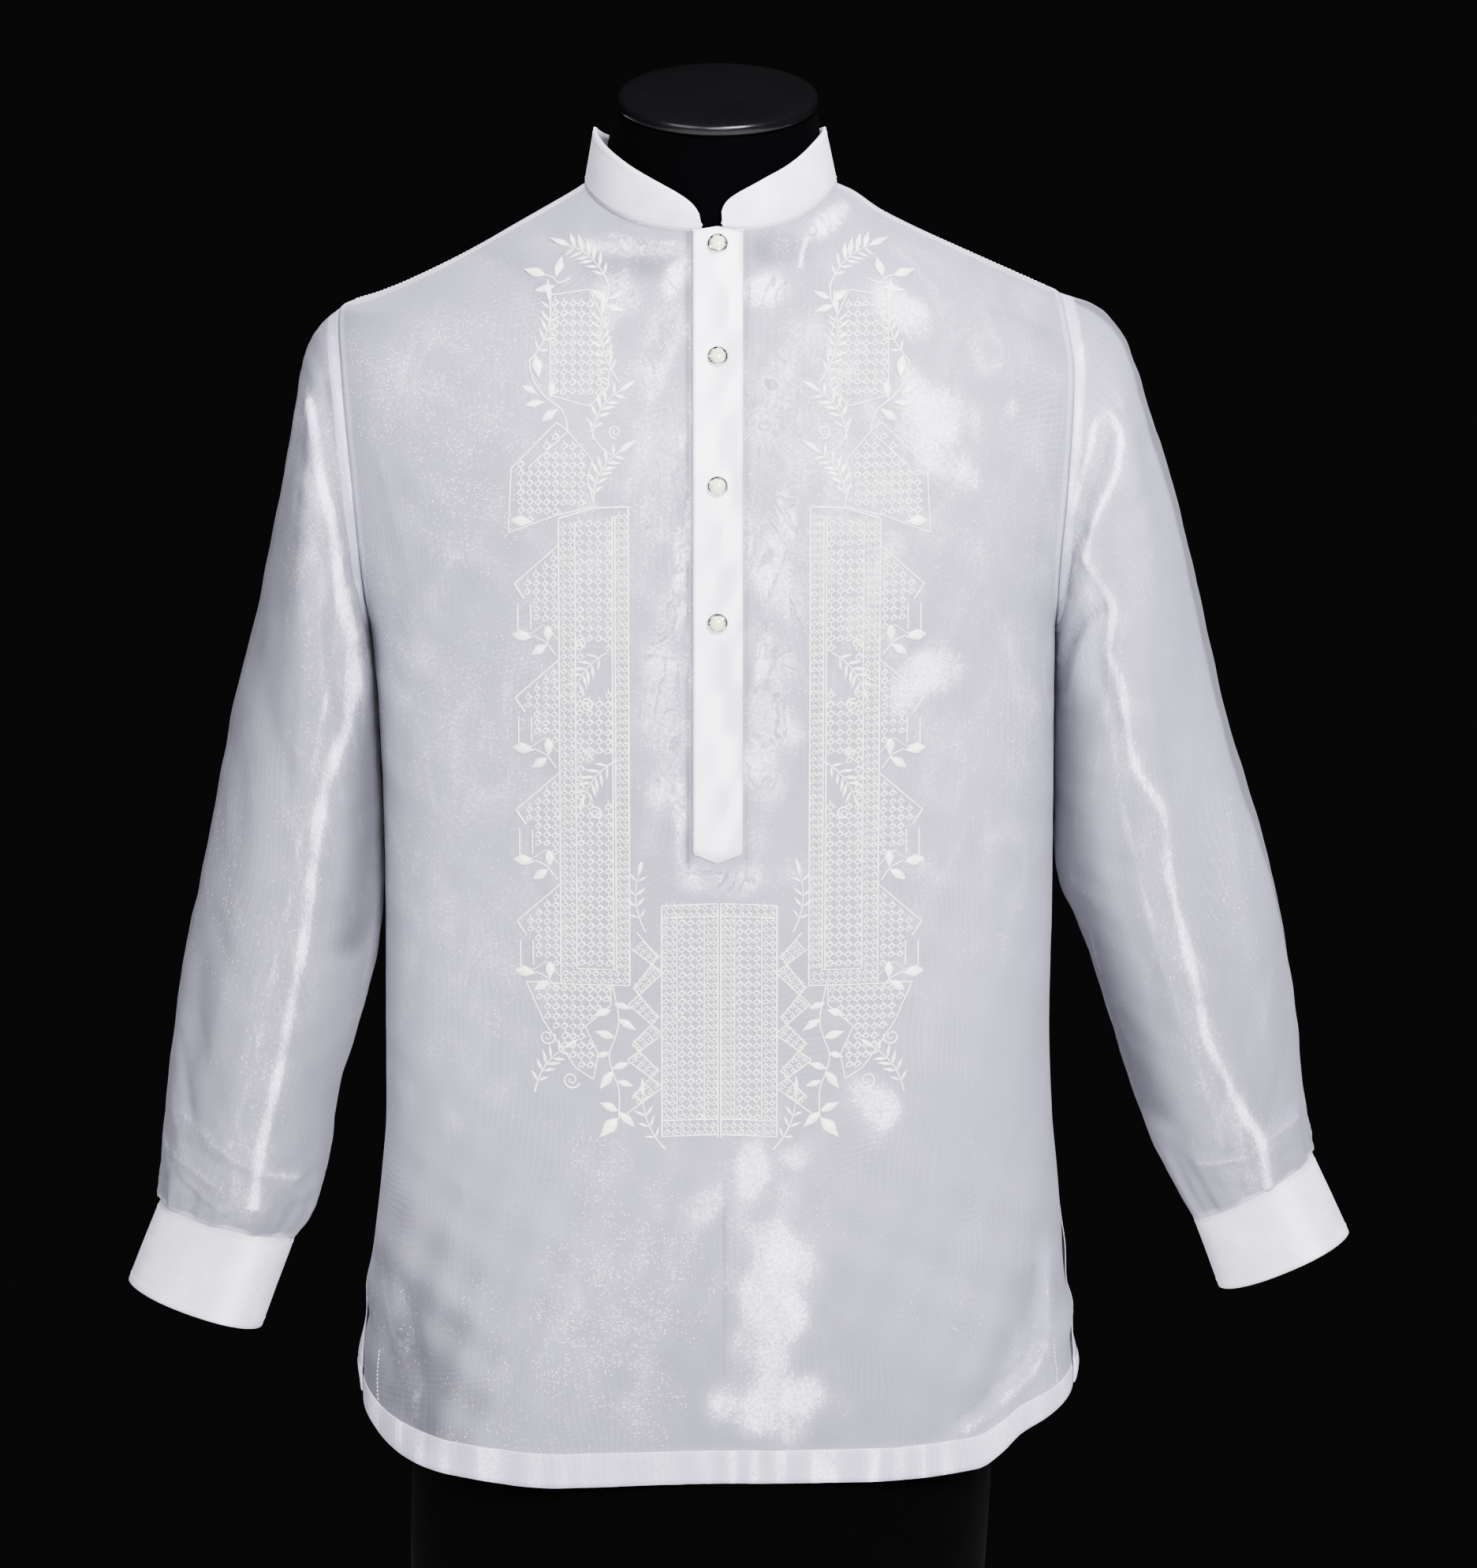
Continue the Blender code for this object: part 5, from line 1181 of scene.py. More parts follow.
def organza_material(settings):
    """Sheer cloth: whiter in two layers, grey where it is single, with painted satin highlights, painted glints and
    painted shade.
    """
    material, tree, shader = new_material(
        "Organza", Sheen_Weight=0.06, Sheen_Roughness=0.35, Specular_IOR_Level=0.35, Sheen_Tint=(0.93, 0.94, 1.0, 1.0)
    )
    cloth, colour = cloth_place(tree), tuple(settings.organza)
    layers, sheer, gleam, spark, shade = (mask(tree, name) for name in MASKS)
    weave = effect(tree, "weave", Vector=cloth, Pitch=settings.thread_pitch, Slub=0.5)
    lines = effect(tree, "watering", Vector=cloth, Pitch=0.0042)["Value"]
    waves = effect(tree, "watering", Vector=turned_by(cloth, 1.25), Pitch=0.0038)["Value"]
    waves = waves * span(noise(cloth, 5.0, 1.0), 0.47, 0.60, 0.0, 0.10)
    drift = noise(cloth, 7.0, 3.0)
    glow, crumple_shade = satin_patches(tree, cloth, gleam)
    dark = maths("MAXIMUM", shade, crumple_shade)
    few = spark + span(drift, 0.48, 0.70, 0.01, 0.40)
    glints = effect(tree, "glitter", Vector=cloth, Amount=few, Scale=800.0)["Mask"]
    ground = blend(span(drift, 0.30, 0.70), tint(colour, 0.88), tint(colour, 1.14))
    # Painted shade from the shade masks and the crumples
    ground = blend(dark, ground, tint(colour, 0.25))
    ground = blend(layers, ground, blend(dark, tint(colour, 1.75), tint(colour, 0.85)))
    ground = blend(sheer, ground, tint(colour, 0.24))
    # Painted satin highlight
    ground = blend(glow, ground, tint(colour, 4.0))
    ground = shaded(ground, lines * 0.055 + weave["Tone"] * 0.18 + waves + 1.0)
    # Painted glints
    ground = blend(glints, ground, (0.96, 0.96, 1.0))
    height = weave["Height"] + noise(cloth, 240.0) * 1.2 + lines * 0.10
    wire(shader, ground, 0.52 - glow * 0.14 - glints * 0.18, height, 0.00011, 0.8)
    return material


def band_material(settings):
    """Stiffened cloth: two layers over interfacing, close and bright, with a dry satin face, painted highlights,
    painted shade and painted glints.
    """
    material, tree, shader = new_material(
        "Interfaced organza", Sheen_Weight=0.12, Sheen_Roughness=0.3, Specular_IOR_Level=0.5
    )
    cloth, colour = cloth_place(tree), tuple(settings.band)
    gleam = mask(tree, "gleam")
    weave = effect(tree, "weave", Vector=cloth, Pitch=settings.thread_pitch, Slub=0.35)
    cloudy = span(noise(cloth, 30.0, 4.0, None, 0.6), 0.35, 0.68)
    glints = effect(tree, "glitter", Vector=cloth, Amount=cloudy, Scale=700.0)["Mask"]
    ground = blend(cloudy, tint(colour, 0.84), tint(colour, 1.10))
    # Painted highlight where the gleam mask lies, painted shade where the shade mask lies, then painted glints
    ground = blend(gleam, ground, tint(colour, 1.46))
    ground = blend(mask(tree, "shade"), ground, tint(colour, 0.40))
    ground = shaded(ground, weave["Tone"] * 0.14 + 1.0)
    ground = blend(glints * 0.8, ground, (1.0, 1.0, 1.0))
    wire(shader, ground, 0.52 - gleam * 0.16, weave["Height"] + noise(cloth, 190.0) * 0.8, 0.00010, 0.7)
    return material


def silk_material(name, colour):
    """Embroidery silk: fine strands that catch the light, darker in random patches."""
    material, tree, shader = new_material(name, Sheen_Weight=0.3, Sheen_Roughness=0.3, Specular_IOR_Level=0.6)
    place = object_place(tree)
    grain = effect(tree, "grain", Vector=place, Scale=900.0, Amount=0.5)
    strands = noise(place, 1500.0, 1.0, (1.0, 0.4, 0.35))
    ground = blend(strands, tint(colour, 0.76), tint(colour, 1.10))
    dim_patches = span(noise(place, 210.0, 3.0), 0.38, 0.62)
    ground = blend(dim_patches, blend(0.35, ground, tint(colour, 0.4)), ground)
    wire(shader, ground, span(grain["Value"], -0.3, 0.3, 0.30, 0.50), strands, 0.00012, 0.6)
    return material


def hard_material(name, colour, rough, depth, scale, spread, **constants):
    """A hard finish with slight unevenness in colour, gloss and surface."""
    material, tree, shader = new_material(name, **constants)
    grain = effect(tree, "grain", Vector=object_place(tree), Scale=scale, Amount=1.0)
    even = span(grain["Value"], -0.35, 0.35)
    ground = blend(even, tint(colour, 1.0 - spread), tint(colour, 1.0 + spread))
    wire(shader, ground, span(even, 0.0, 1.0, rough * 0.85, rough * 1.15), grain["Height"], depth, 0.5)
    return material


def jersey_material(settings):
    """Black knitted cover: upright wales with a matt nap."""
    sheen = {"Sheen_Weight": 0.001, "Sheen_Roughness": 0.6}
    material, tree, shader = new_material("Black jersey", Specular_IOR_Level=0.01, **sheen)
    cloth, colour = cloth_place(tree), tuple(settings.jersey)
    knit = effect(tree, "weave", Vector=cloth, Pitch=0.0013, Slub=0.2)
    nap = noise(cloth, 60.0, 3.0)
    ground = blend(nap, tint(colour, 0.7), tint(colour, 1.5))
    wire(shader, ground, span(nap, 0.3, 0.7, 0.78, 0.92), knit["Height"], 0.0003, 0.6)
    return material


# Hard finishes: name, colour, roughness, relief, scale of the grain, spread of the colour, other constants
HARD_FINISHES = {
    "lacquer": ("Black lacquer", ("form", "lacquer"), 0.24, 4e-05, 260, 0.15, {"Specular_IOR_Level": 0.25}),
    "pearl": ("Pearl", ("button", "pearl"), 0.2, 2e-05, 300, 0.06, {"Coat_Weight": 0.8, "Coat_Roughness": 0.08}),
    "silver": ("Silver", (0.78, 0.78, 0.76), 0.22, 2e-05, 700, 0.08, {"Metallic": 1}),
    "shell": ("White shell", (0.8, 0.79, 0.77), 0.22, 2e-05, 500, 0.05, {"Coat_Weight": 0.4}),
    "stitch": ("White sewing thread", (0.86, 0.86, 0.9), 0.45, 3e-05, 1200, 0.1, {"Sheen_Weight": 0.2}),
    "floor": ("Floor", ("stage", "floor"), 0.6, 0.0002, 60, 0.03, {}),
}


@functools.cache
def finish(name):
    """The material of a finish, made once."""
    if name in HARD_FINISHES:
        label, colour, *numbers, constants = HARD_FINISHES[name]
        if len(colour) == 2:
            colour = tuple(getattr(settings_of(colour[0]), colour[1]))
        return hard_material(label, colour, *numbers, **constants)
    makers = {
        "organza": lambda: organza_material(settings_of("cloth")),
        "band": lambda: band_material(settings_of("cloth")),
        "silk": lambda: silk_material("Ivory silk", tuple(settings_of("needle").silk)),
        "lattice": lambda: silk_material("Lattice silk", tuple(settings_of("needle").lattice)),
        "jersey": lambda: jersey_material(settings_of("form")),
    }
    return makers[name]()


# ---------------------------------------------------------------- making pieces


def link_piece(name, mesh, material=None):
    if material:
        mesh.materials.append(material)
    piece = bpy.data.objects.new(name, mesh)
    bpy.context.scene.collection.objects.link(piece)
    return piece


def cloth_piece(name, points, sign, thickness, material, wrap=False, masks=None):
    """Cloth whose outside is a grid of points, thickened inwards, with its lengths in metres as UV."""
    rows, count, _ = points.shape
    corners = grid_corners(rows - 1, count if wrap else count - 1)[::sign]
    faces = (corners[:, 0] * count + corners[:, 1] % count).T
    mesh = bpy.data.meshes.new(name)
    mesh.from_pydata(points.reshape(-1, 3).tolist(), [], faces.tolist())
    closed = np.concatenate([points, points[:, :1]], 1) if wrap else points
    across, along = run_lengths(closed, 1), run_lengths(closed, 0)
    across = across - across[:, [count // 2]]
    flat = np.stack([across, along], -1)[corners[:, 0], corners[:, 1]]
    mesh.uv_layers.new(name="Cloth").uv.foreach_set("vector", flat.transpose(1, 0, 2).ravel().astype(np.float32))
    for key in MASKS:
        values = (masks or {}).get(key, np.zeros((rows, count)))
        layer = mesh.attributes.new(key, "FLOAT", "POINT")
        layer.data.foreach_set("value", values.ravel().astype(np.float32))
    mesh.shade_smooth()
    piece = link_piece(name, mesh, material)
    if thickness:
        wall = piece.modifiers.new("Wall", "SOLIDIFY")
        wall.thickness = thickness
        wall.offset = -1.0
    return piece


def turned(profile, segments):
    """A bmesh turned round Z from a profile that runs from the top down its outside."""
    made = bmesh.new()
    verts = [made.verts.new((radius, 0.0, height)) for radius, height in profile]
    edges = [made.edges.new(pair) for pair in zip(verts, verts[1:])]
    bmesh.ops.spin(made, geom=verts + edges, cent=(0, 0, 0), axis=(0, 0, 1), angle=2 * math.pi, steps=segments)
    bmesh.ops.remove_doubles(made, verts=made.verts, dist=1e-6)
    bmesh.ops.recalc_face_normals(made, faces=made.faces)
    return made


def mesh_of(made, name, place, sharp=35):
    """The mesh of a bmesh in its place, smooth but for edges sharper than an angle."""
    bmesh.ops.transform(made, matrix=place, verts=made.verts)
    mesh = bpy.data.meshes.new(name)
    made.to_mesh(mesh)
    made.free()
    mesh.shade_smooth()
    mesh.set_sharp_from_angle(angle=math.radians(sharp))
    return mesh


def take_in(made, part, place):
    """Adds one bmesh to another, in its place."""
    bmesh.ops.transform(part, matrix=place, verts=part.verts)
    mesh = bpy.data.meshes.new("part")
    part.to_mesh(mesh)
    part.free()
    made.from_mesh(mesh)
    bpy.data.meshes.remove(mesh)


def join_meshes(name, meshes_and_finishes):
    """One piece from several meshes, each with its own material."""
    joined = bmesh.new()
    mesh = bpy.data.meshes.new(name)
    for index, (part, material) in enumerate(meshes_and_finishes):
        first = len(joined.faces)
        joined.from_mesh(part)
        joined.faces.ensure_lookup_table()
        for face in joined.faces[first:]:
            face.material_index = index
        mesh.materials.append(material)
        bpy.data.meshes.remove(part)
    joined.to_mesh(mesh)
    joined.free()
    return link_piece(name, mesh)


def dress(piece, slot, *nodes):
    """Lets a piece ride with the shirt, in place of the named nodes; the slot is not used."""
    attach(piece, BODY_NAME)
    if nodes:
        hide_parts(*nodes)
    return piece


# ---------------------------------------------------------------- trees that repeat a shape


def new_tree(name, inputs):
    """A geometry tree with a geometry in and out and named inputs."""
    inputs = {"Geometry": "Geometry", **inputs, "Material": "Material"}
    return new_group(name, "GeometryNodeTree", inputs, {"Geometry": "Geometry"})


def close_tree(tree, geometry, given, result):
    made = put(tree, "GeometryNodeRealizeInstances", {"Geometry": geometry})[0]
    made = put(tree, "GeometryNodeSetShadeSmooth", {"Geometry": made})[0]
    made = put(tree, "GeometryNodeSetMaterial", {"Geometry": made, "Material": given["Material"]})[0]
    fill(result, {0: made})
    return tree


def named(tree, name, kind="FLOAT_VECTOR"):
    return put(tree, "GeometryNodeInputNamedAttribute", {"Name": name}, data_type=kind)[0]


def place_copies(tree, points, shape):
    inputs = {"Points": points, "Instance": shape, "Rotation": named(tree, "turned"), "Scale": named(tree, "size")}
    return put(tree, "GeometryNodeInstanceOnPoints", inputs)[0]


def circle(tree, sides, radius):
    return put(tree, "GeometryNodeCurvePrimitiveCircle", {"Resolution": sides, "Radius": radius})[0]


def line_along(tree, axis, start, end):
    """A straight line along an axis between two values."""
    ends = (put(tree, "ShaderNodeCombineXYZ", {axis: value})[0] for value in (start, end))
    return put(tree, "GeometryNodeCurvePrimitiveLine", dict(zip(("Start", "End"), ends)))[0]


def cut_curve(tree, mesh, step):
    """The edges of a mesh as curves with a point at every step."""
    curve = put(tree, "GeometryNodeMeshToCurve", {"Mesh": mesh})[0]
    return put(tree, "GeometryNodeResampleCurve", {"Curve": curve, "Length": step}, mode="LENGTH")[0]


def swept(tree, curve, profile, scale=1.0):
    inputs = {"Curve": curve, "Profile Curve": profile, "Scale": scale, "Fill Caps": True}
    return put(tree, "GeometryNodeCurveToMesh", inputs)[0]


@functools.cache
def ring_tree():
    """Lattice rings with the short bars that tie each to its neighbours."""
    inputs = {"Ring Radius": 0.0017, "Thread Radius": 0.00052, "Pitch Across": 0.0054, "Pitch Up": 0.0059}
    tree, given, result = new_tree("Lattice rings", inputs)
    radius, thread = given["Ring Radius"], circle(tree, 3, given["Thread Radius"])
    loop = swept(tree, circle(tree, 9, radius), thread)
    slanted = {"Geometry": loop, "Rotation": (0.0, 0.0, 0.6), "Scale": (1.16, 0.80, 1.0)}
    shapes = [put(tree, "GeometryNodeTransform", slanted)[0]]
    for axis, pitch in (("X", given["Pitch Across"]), ("Y", given["Pitch Up"])):
        shapes.append(swept(tree, line_along(tree, axis, radius, pitch - radius), thread, 0.70))
    joined = put(tree, "GeometryNodeJoinGeometry")
    for shape in shapes:
        fill(joined.node, {0: shape})
    return close_tree(tree, place_copies(tree, given["Geometry"], joined[0]), given, result)


@functools.cache
def leaf_tree():
    """Satin leaves, fullest past their root and drawn out to a tip."""
    tree, given, result = new_tree("Satin leaves", {"Flatness": 0.30})
    line = put(tree, "GeometryNodeCurvePrimitiveLine", {"Start": (0, 0, 0), "End": (1, 0, 0)})[0]
    line = put(tree, "GeometryNodeResampleCurve", {"Curve": line, "Count": 9})[0]
    width = put(tree, "ShaderNodeFloatCurve", {"Value": put(tree, "GeometryNodeSplineParameter")["Factor"]})
    curve = width.node.mapping.curves[0]
    curve.points[0].location = (0.0, 0.06)
    curve.points[1].location = (1.0, 0.03)
    for spot in ((0.18, 0.30), (0.42, 0.50), (0.72, 0.30), (0.9, 0.11)):
        curve.points.new(*spot)
    width.node.mapping.update()
    solid = swept(tree, line, circle(tree, 6, 1.0), width[0])
    height = put(tree, "ShaderNodeCombineXYZ", {"X": 1.0, "Y": 1.0, "Z": given["Flatness"]})[0]
    solid = put(tree, "GeometryNodeTransform", {"Geometry": solid, "Scale": height})[0]
    return close_tree(tree, place_copies(tree, given["Geometry"], solid), given, result)


@functools.cache
def cord_tree():
    """A laid thread whose twist swells it at an even pitch."""
    tree, given, result = new_tree("Laid thread", {"Radius": 0.0006, "Twist Pitch": 0.0018, "Step": 0.0009})
    curve = cut_curve(tree, given["Geometry"], given["Step"])
    swell = wave(put(tree, "GeometryNodeSplineParameter")["Length"] / given["Twist Pitch"]) * 0.22 + 1.0
    solid = swept(tree, curve, circle(tree, 5, given["Radius"]), swell * named(tree, "girth", "FLOAT"))
    return close_tree(tree, solid, given, result)


@functools.cache
def stitch_tree():
    """Machine stitches that dip into the cloth between one and the next."""
    tree, given, result = new_tree("Machine stitches", {"Pitch": 0.0026, "Thread Radius": 0.0002})
    curve = cut_curve(tree, given["Geometry"], given["Pitch"])
    half = given["Pitch"] * 0.36
    line = put(tree, "GeometryNodeResampleCurve", {"Curve": line_along(tree, "X", half * -1.0, half), "Count": 3})[0]
    size = maths("SINE", put(tree, "GeometryNodeSplineParameter")["Factor"] * math.pi) + 0.25
    solid = swept(tree, line, circle(tree, 4, given["Thread Radius"]), size)
    tangent = put(tree, "GeometryNodeInputTangent")[0]
    turn = put(tree, "FunctionNodeAlignRotationToVector", {"Vector": tangent}, axis="X")[0]
    copies = put(tree, "GeometryNodeInstanceOnPoints", {"Points": curve, "Instance": solid, "Rotation": turn})[0]
    return close_tree(tree, copies, given, result)


def grow(name, tree, mesh, values):
    """The plain mesh that a tree makes of a mesh, as a piece."""
    holder = link_piece(name, mesh)
    modifier = holder.modifiers.new("Repeat", "NODES")
    modifier.node_group = tree
    for socket in tree.interface.items_tree:
        if socket.in_out == "INPUT" and socket.name in values:
            modifier[socket.identifier] = values[socket.name]
    bpy.context.view_layer.update()
    graph = bpy.context.evaluated_depsgraph_get()
    result = bpy.data.meshes.new_from_object(holder.evaluated_get(graph), depsgraph=graph)
    bpy.data.objects.remove(holder)
    bpy.data.meshes.remove(mesh)
    if not result.polygons:
        raise RuntimeError(f"{name} came out empty")
    result.name = name
    return link_piece(name, result)


def points_mesh(name, places, turns, sizes):
    """Loose points that carry how each copy is turned and scaled."""
    mesh = bpy.data.meshes.new(name)
    mesh.from_pydata([tuple(place) for place in places], [], [])
    for key, rows in (("turned", turns), ("size", sizes)):
        layer = mesh.attributes.new(key, "FLOAT_VECTOR", "POINT")
        layer.data.foreach_set("vector", np.array(rows, np.float32).ravel())
    return mesh


def lines_mesh(name, lines):
    """Open lines of points with a girth at each point."""
    verts, edges, girths = [], [], []
    for places, girth in lines:
        first = len(verts)
        verts += [tuple(place) for place in places]
        edges += [(first + k, first + k + 1) for k in range(len(places) - 1)]
        girths += list(np.broadcast_to(girth, len(places)))
    mesh = bpy.data.meshes.new(name)
    mesh.from_pydata(verts, edges, [])
    mesh.attributes.new("girth", "FLOAT", "POINT").data.foreach_set("value", np.array(girths, np.float32))
    return mesh


# ---------------------------------------------------------------- needlework on the front


def inside(polygon, spots):
    """Which of the spots lie inside a polygon."""
    result = np.zeros(len(spots), bool)
    x, z = spots[:, 0], spots[:, 1]
    for (x1, z1), (x2, z2) in zip(polygon, np.roll(polygon, -1, 0)):
        crosses = (z1 > z) != (z2 > z)
        where = x1 + (z - z1) * (x2 - x1) / (z2 - z1 if z2 != z1 else 1.0)
        result ^= crosses & (x < where)
    return result


def to_lines(lines, spots):
    """Distance of each spot to the nearest of some straight lines, and the side of it that the spot is on."""
    best, side = np.full(len(spots), 1e9), np.zeros(len(spots))
    for line in lines:
        line = np.array(line, float)
        for a, b in zip(line[:-1], line[1:]):
            t = np.clip(((spots - a) @ (b - a)) / max((b - a) @ (b - a), 1e-9), 0, 1)
            off = spots - a - t[:, None] * (b - a)
            away = np.linalg.norm(off, axis=1)
            side = np.where(away < best, (b - a)[0] * off[:, 1] - (b - a)[1] * off[:, 0], side)
            best = np.minimum(best, away)
    return best, np.sign(side)


def even_spots(low, high, pitch):
    """Spots between two ends, half a step in from each, about a pitch apart."""
    count = max(1, round((high - low) / pitch))
    return low + (high - low) * (np.arange(count) + 0.5) / count


def box_spots(box, pitch):
    x1, x2, z1, z2 = box
    return np.array([(x, z) for z in even_spots(z1, z2, pitch[1]) for x in even_spots(x1, x2, pitch[0])])


BORDER_CLEARANCE, LINE_CLEARANCE = 2.3, 2.0


def field_spots(polygon, pitch, lines=()):
    """Lattice spots that lie clear of a field's border and of the lines across it."""
    polygon = np.array(polygon, float)
    low, high = polygon.min(0), polygon.max(0)
    spots = box_spots((low[0], high[0], low[1], high[1]), pitch)
    border = np.concatenate([polygon, polygon[:1]])
    kept = inside(polygon, spots) & (to_lines([border], spots)[0] > BORDER_CLEARANCE)
    if lines:
        kept &= to_lines(lines, spots)[0] > LINE_CLEARANCE
    return spots[kept]


def wing_shape(top, shape):
    return [(BAND_OUTSIDE + 0.5 + x, top + z) for x, z in shape]


# The bar across the second lattice field, and the boxes of rings beside the band: box, pitch, size
FIELD_BAR = (94, 882), (117, 861)
RING_BOXES = (
    ((89.6, 98.4, 543, 828), (4.4, 4.8), 0.8), ((56.6, 63.6, 543, 834), (3.5, 4.8), 0.72),
    ((56.6, 98.4, 533.5, 542.5), (4.6, 4.5), 0.8),
)


def all_rings():
    """Every lattice ring of one side: distance from the middle, height, size."""
    barred = ((), [FIELD_BAR], ())
    groups = [(field_spots(field, RING_PITCH, lines), 1.0) for field, lines in zip(LATTICE_FIELDS, barred)]
    for top in WING_TOPS:
        lines = [wing_shape(top, line) for line in WING_LINES]
        groups.append((field_spots(wing_shape(top, WING), (5.0, 5.4), lines), 0.92))
    middle = box_spots((66, 89, 544, 830), (5.75, 5.9))
    for x, z, across, up in BARE_FIELDS:
        middle = middle[((middle[:, 0] - x) / across) ** 2 + ((middle[:, 1] - z) / up) ** 2 > 1]
    groups.append((middle, 1.0))
    groups += [(box_spots(box, pitch), size) for box, pitch, size in RING_BOXES]
    for x1, x2, count, size in ((27, 35.5, 2, 0.80), (10, 26, 3, 0.96), (1.6, 9, 2, 0.76)):
        groups.append((box_spots((x1, x2, PANEL_LOW, PANEL_HIGH), ((x2 - x1) / count, 5.2 * size + 0.6)), size))
    for foot in (PANEL_FOOT + 0.5, PANEL_HIGH):
        groups.append((box_spots((1.6, 35.5, foot, foot + 9), (4.9, 4.5)), 0.80))
    path = np.array(LADDER, float)
    steps = []
    for a, b in zip(path[:-1], path[1:]):
        run = np.linalg.norm(b - a)
        across = np.array((-(b - a)[1], (b - a)[0])) / run
        for t in even_spots(0.12, 0.88, 4.6 / run):
            steps += [a + (b - a) * t + across * 2.0 * side for side in (-1, 1)]
    groups.append((np.array(steps), 0.74))
    return np.concatenate([np.column_stack([spots, np.full(len(spots), size)]) for spots, size in groups])


def bent(points, step=1.0):
    """A smooth flat line through a few points."""
    points = np.array(points, float)
    keys = np.concatenate([[0], np.cumsum(np.linalg.norm(np.diff(points, axis=0), axis=1))])
    padded = np.concatenate([2 * points[:1] - points[1:2], points, 2 * points[-1:] - points[-2:-1]])
    at = np.linspace(0, keys[-1], max(3, int(keys[-1] / step) + 1))
    spot = np.clip(np.searchsorted(keys, at, side="right") - 1, 0, len(points) - 2)
    t = ((at - keys[spot]) / (keys[spot + 1] - keys[spot]))[:, None]
    a, b, c, d = (padded[spot + k] for k in range(4))
    return 0.5 * (2 * b + (c - a) * t + (2 * a - 5 * b + 4 * c - d) * t**2 + (3 * b - a - 3 * c + d) * t**3)


def spray(row):
    """The stem of a spray and its leaves as (root, tip, slimness)."""
    x1, z1, x2, z2, bow, pairs, length, slim = row
    start, end = np.array((x1, z1), float), np.array((x2, z2), float)
    across = np.array((-(end - start)[1], (end - start)[0]))
    across /= np.linalg.norm(across)
    t = np.linspace(0, 1, 22)[:, None]
    stem = start + (end - start) * t + across * bow * 4 * t * (1 - t)
    leaves = [(stem[1], stem[1] + (stem[0] - stem[3]) * 2.2, slim)]
    for k in range(pairs):
        spot = int(round(2 + 17 * (k + 0.35) / pairs))
        along = stem[spot - 1] - stem[min(spot + 1, 21)]
        along /= np.linalg.norm(along)
        reach = length * (0.72 + 0.28 * math.sin(math.pi * (k + 0.6) / pairs))
        for side in (-1, 1):
            angle = side * math.radians(52 - 3 * k % 8)
            cos, sin = math.cos(angle), math.sin(angle)
            way = np.array((along[0] * cos - along[1] * sin, along[0] * sin + along[1] * cos))
            root = stem[spot] + way * 0.6
            leaves.append((root, root + way * reach, slim))
    return stem, leaves


def curl(row):
    x, z, radius, enters = row
    t = np.linspace(0, 1, 34)
    angle = np.radians(enters) + t * 2 * math.pi * 1.55
    reach = radius * (1.0 - 0.86 * t) + 0.2
    return np.stack([x + reach * np.cos(angle), z + reach * np.sin(angle)], -1)


def needle_plan():
    """Lines with their girth, and leaves, of one side."""
    lines = []

    def straight(points, girth=1.0):
        points = np.array(points, float)
        steps = [max(2, int(np.linalg.norm(step)) + 1) for step in np.diff(points, axis=0)]
        runs = [np.linspace(*ends)[:-1] for ends in zip(points[:-1], points[1:], steps)]
        lines.append((np.concatenate(runs + [points[-1:]]), girth))

    for field in LATTICE_FIELDS:
        straight(list(field) + [field[0]], 0.72)
    straight(FIELD_BAR, 0.8)
    for top in WING_TOPS:
        for line in WING_LINES:
            straight(wing_shape(top, line), 0.85)
        straight(wing_shape(top, WING[4:]), 0.5)
    straight(((BAND_OUTSIDE, BAND_TOP[0]), (77, BAND_TOP[1] - 1), (BAND_INSIDE, BAND_TOP[1])), 0.9)
    straight(((BAND_OUTSIDE, BAND_TOP[0]), (BAND_OUTSIDE, BAND_FOOT)), 1.1)
    straight(((BAND_INSIDE, BAND_TOP[1]), (BAND_INSIDE, BAND_FOOT)), 1.1)
    straight(((BAND_OUTSIDE, BAND_FOOT), (BAND_INSIDE, BAND_FOOT)), 0.7)
    straight(((89, 543), (64.2, 543)), 0.6)
    for x, low, high in BAND_LINES:
        straight(((x, low), (x, high)), 1.0)
    for x in PANEL_LINES:
        foot, top = (PANEL_FOOT, PANEL_TOP) if x in PANEL_EDGES else (PANEL_LOW, PANEL_HIGH)
        straight(((x, foot), (x, top + (0 if x > 30 else 1.5))), 1.1 if x in PANEL_EDGES else 0.8)
    for z in (PANEL_FOOT, PANEL_LOW, PANEL_HIGH, PANEL_TOP):
        straight(((36, z), (18, z + 1.0), (1, z + 1.5)), 0.7)
    path = np.array(LADDER, float)
    for side in (-1, 1):
        offset = path.copy()
        offset[:, 0] += side * LADDER_HALF * np.where(np.arange(len(path)) % 2, 1, -1) * 0.4
        offset[:, 1] += side * LADDER_HALF * 1.25
        straight(offset, 0.8)
    leaves = [((row[0], row[1]), (row[2], row[3]), row[4]) for row in LEAVES]
    for top in WING_TOPS + (WINGLESS_TOP,):
        for x1, z1, x2, z2, slim in WING_LEAVES if top in WING_TOPS else WING_LEAVES[:1]:
            leaves.append(((BAND_OUTSIDE + x1, top + z1), (BAND_OUTSIDE + x2, top + z2), slim))
        if top in WING_TOPS:
            lines.append((bent([(BAND_OUTSIDE + x, top + z) for x, z in WING_STEM]), 0.7))
    for row in SPRAYS:
        stem, its_leaves = spray(row)
        lines.append((stem, np.linspace(0.5, 0.95, len(stem))))
        leaves += its_leaves
    for row in CURLS:
        spiral = curl(row)
        lines.append((spiral, np.linspace(1.0, 0.6, len(spiral))))
    for stem in STEMS:
        lines.append((bent(stem), 0.8))
    return lines, leaves


@functools.cache
def front_tree():
    """The front's outside, to lay needlework on."""
    points = panel_sheet(-1)[0]
    rows, count, _ = points.shape
    corners = grid_corners(rows - 1, count - 1)
    faces = (corners[:, 0] * count + corners[:, 1]).T
    return BVHTree.FromPolygons(points.reshape(-1, 3).tolist(), faces.tolist())


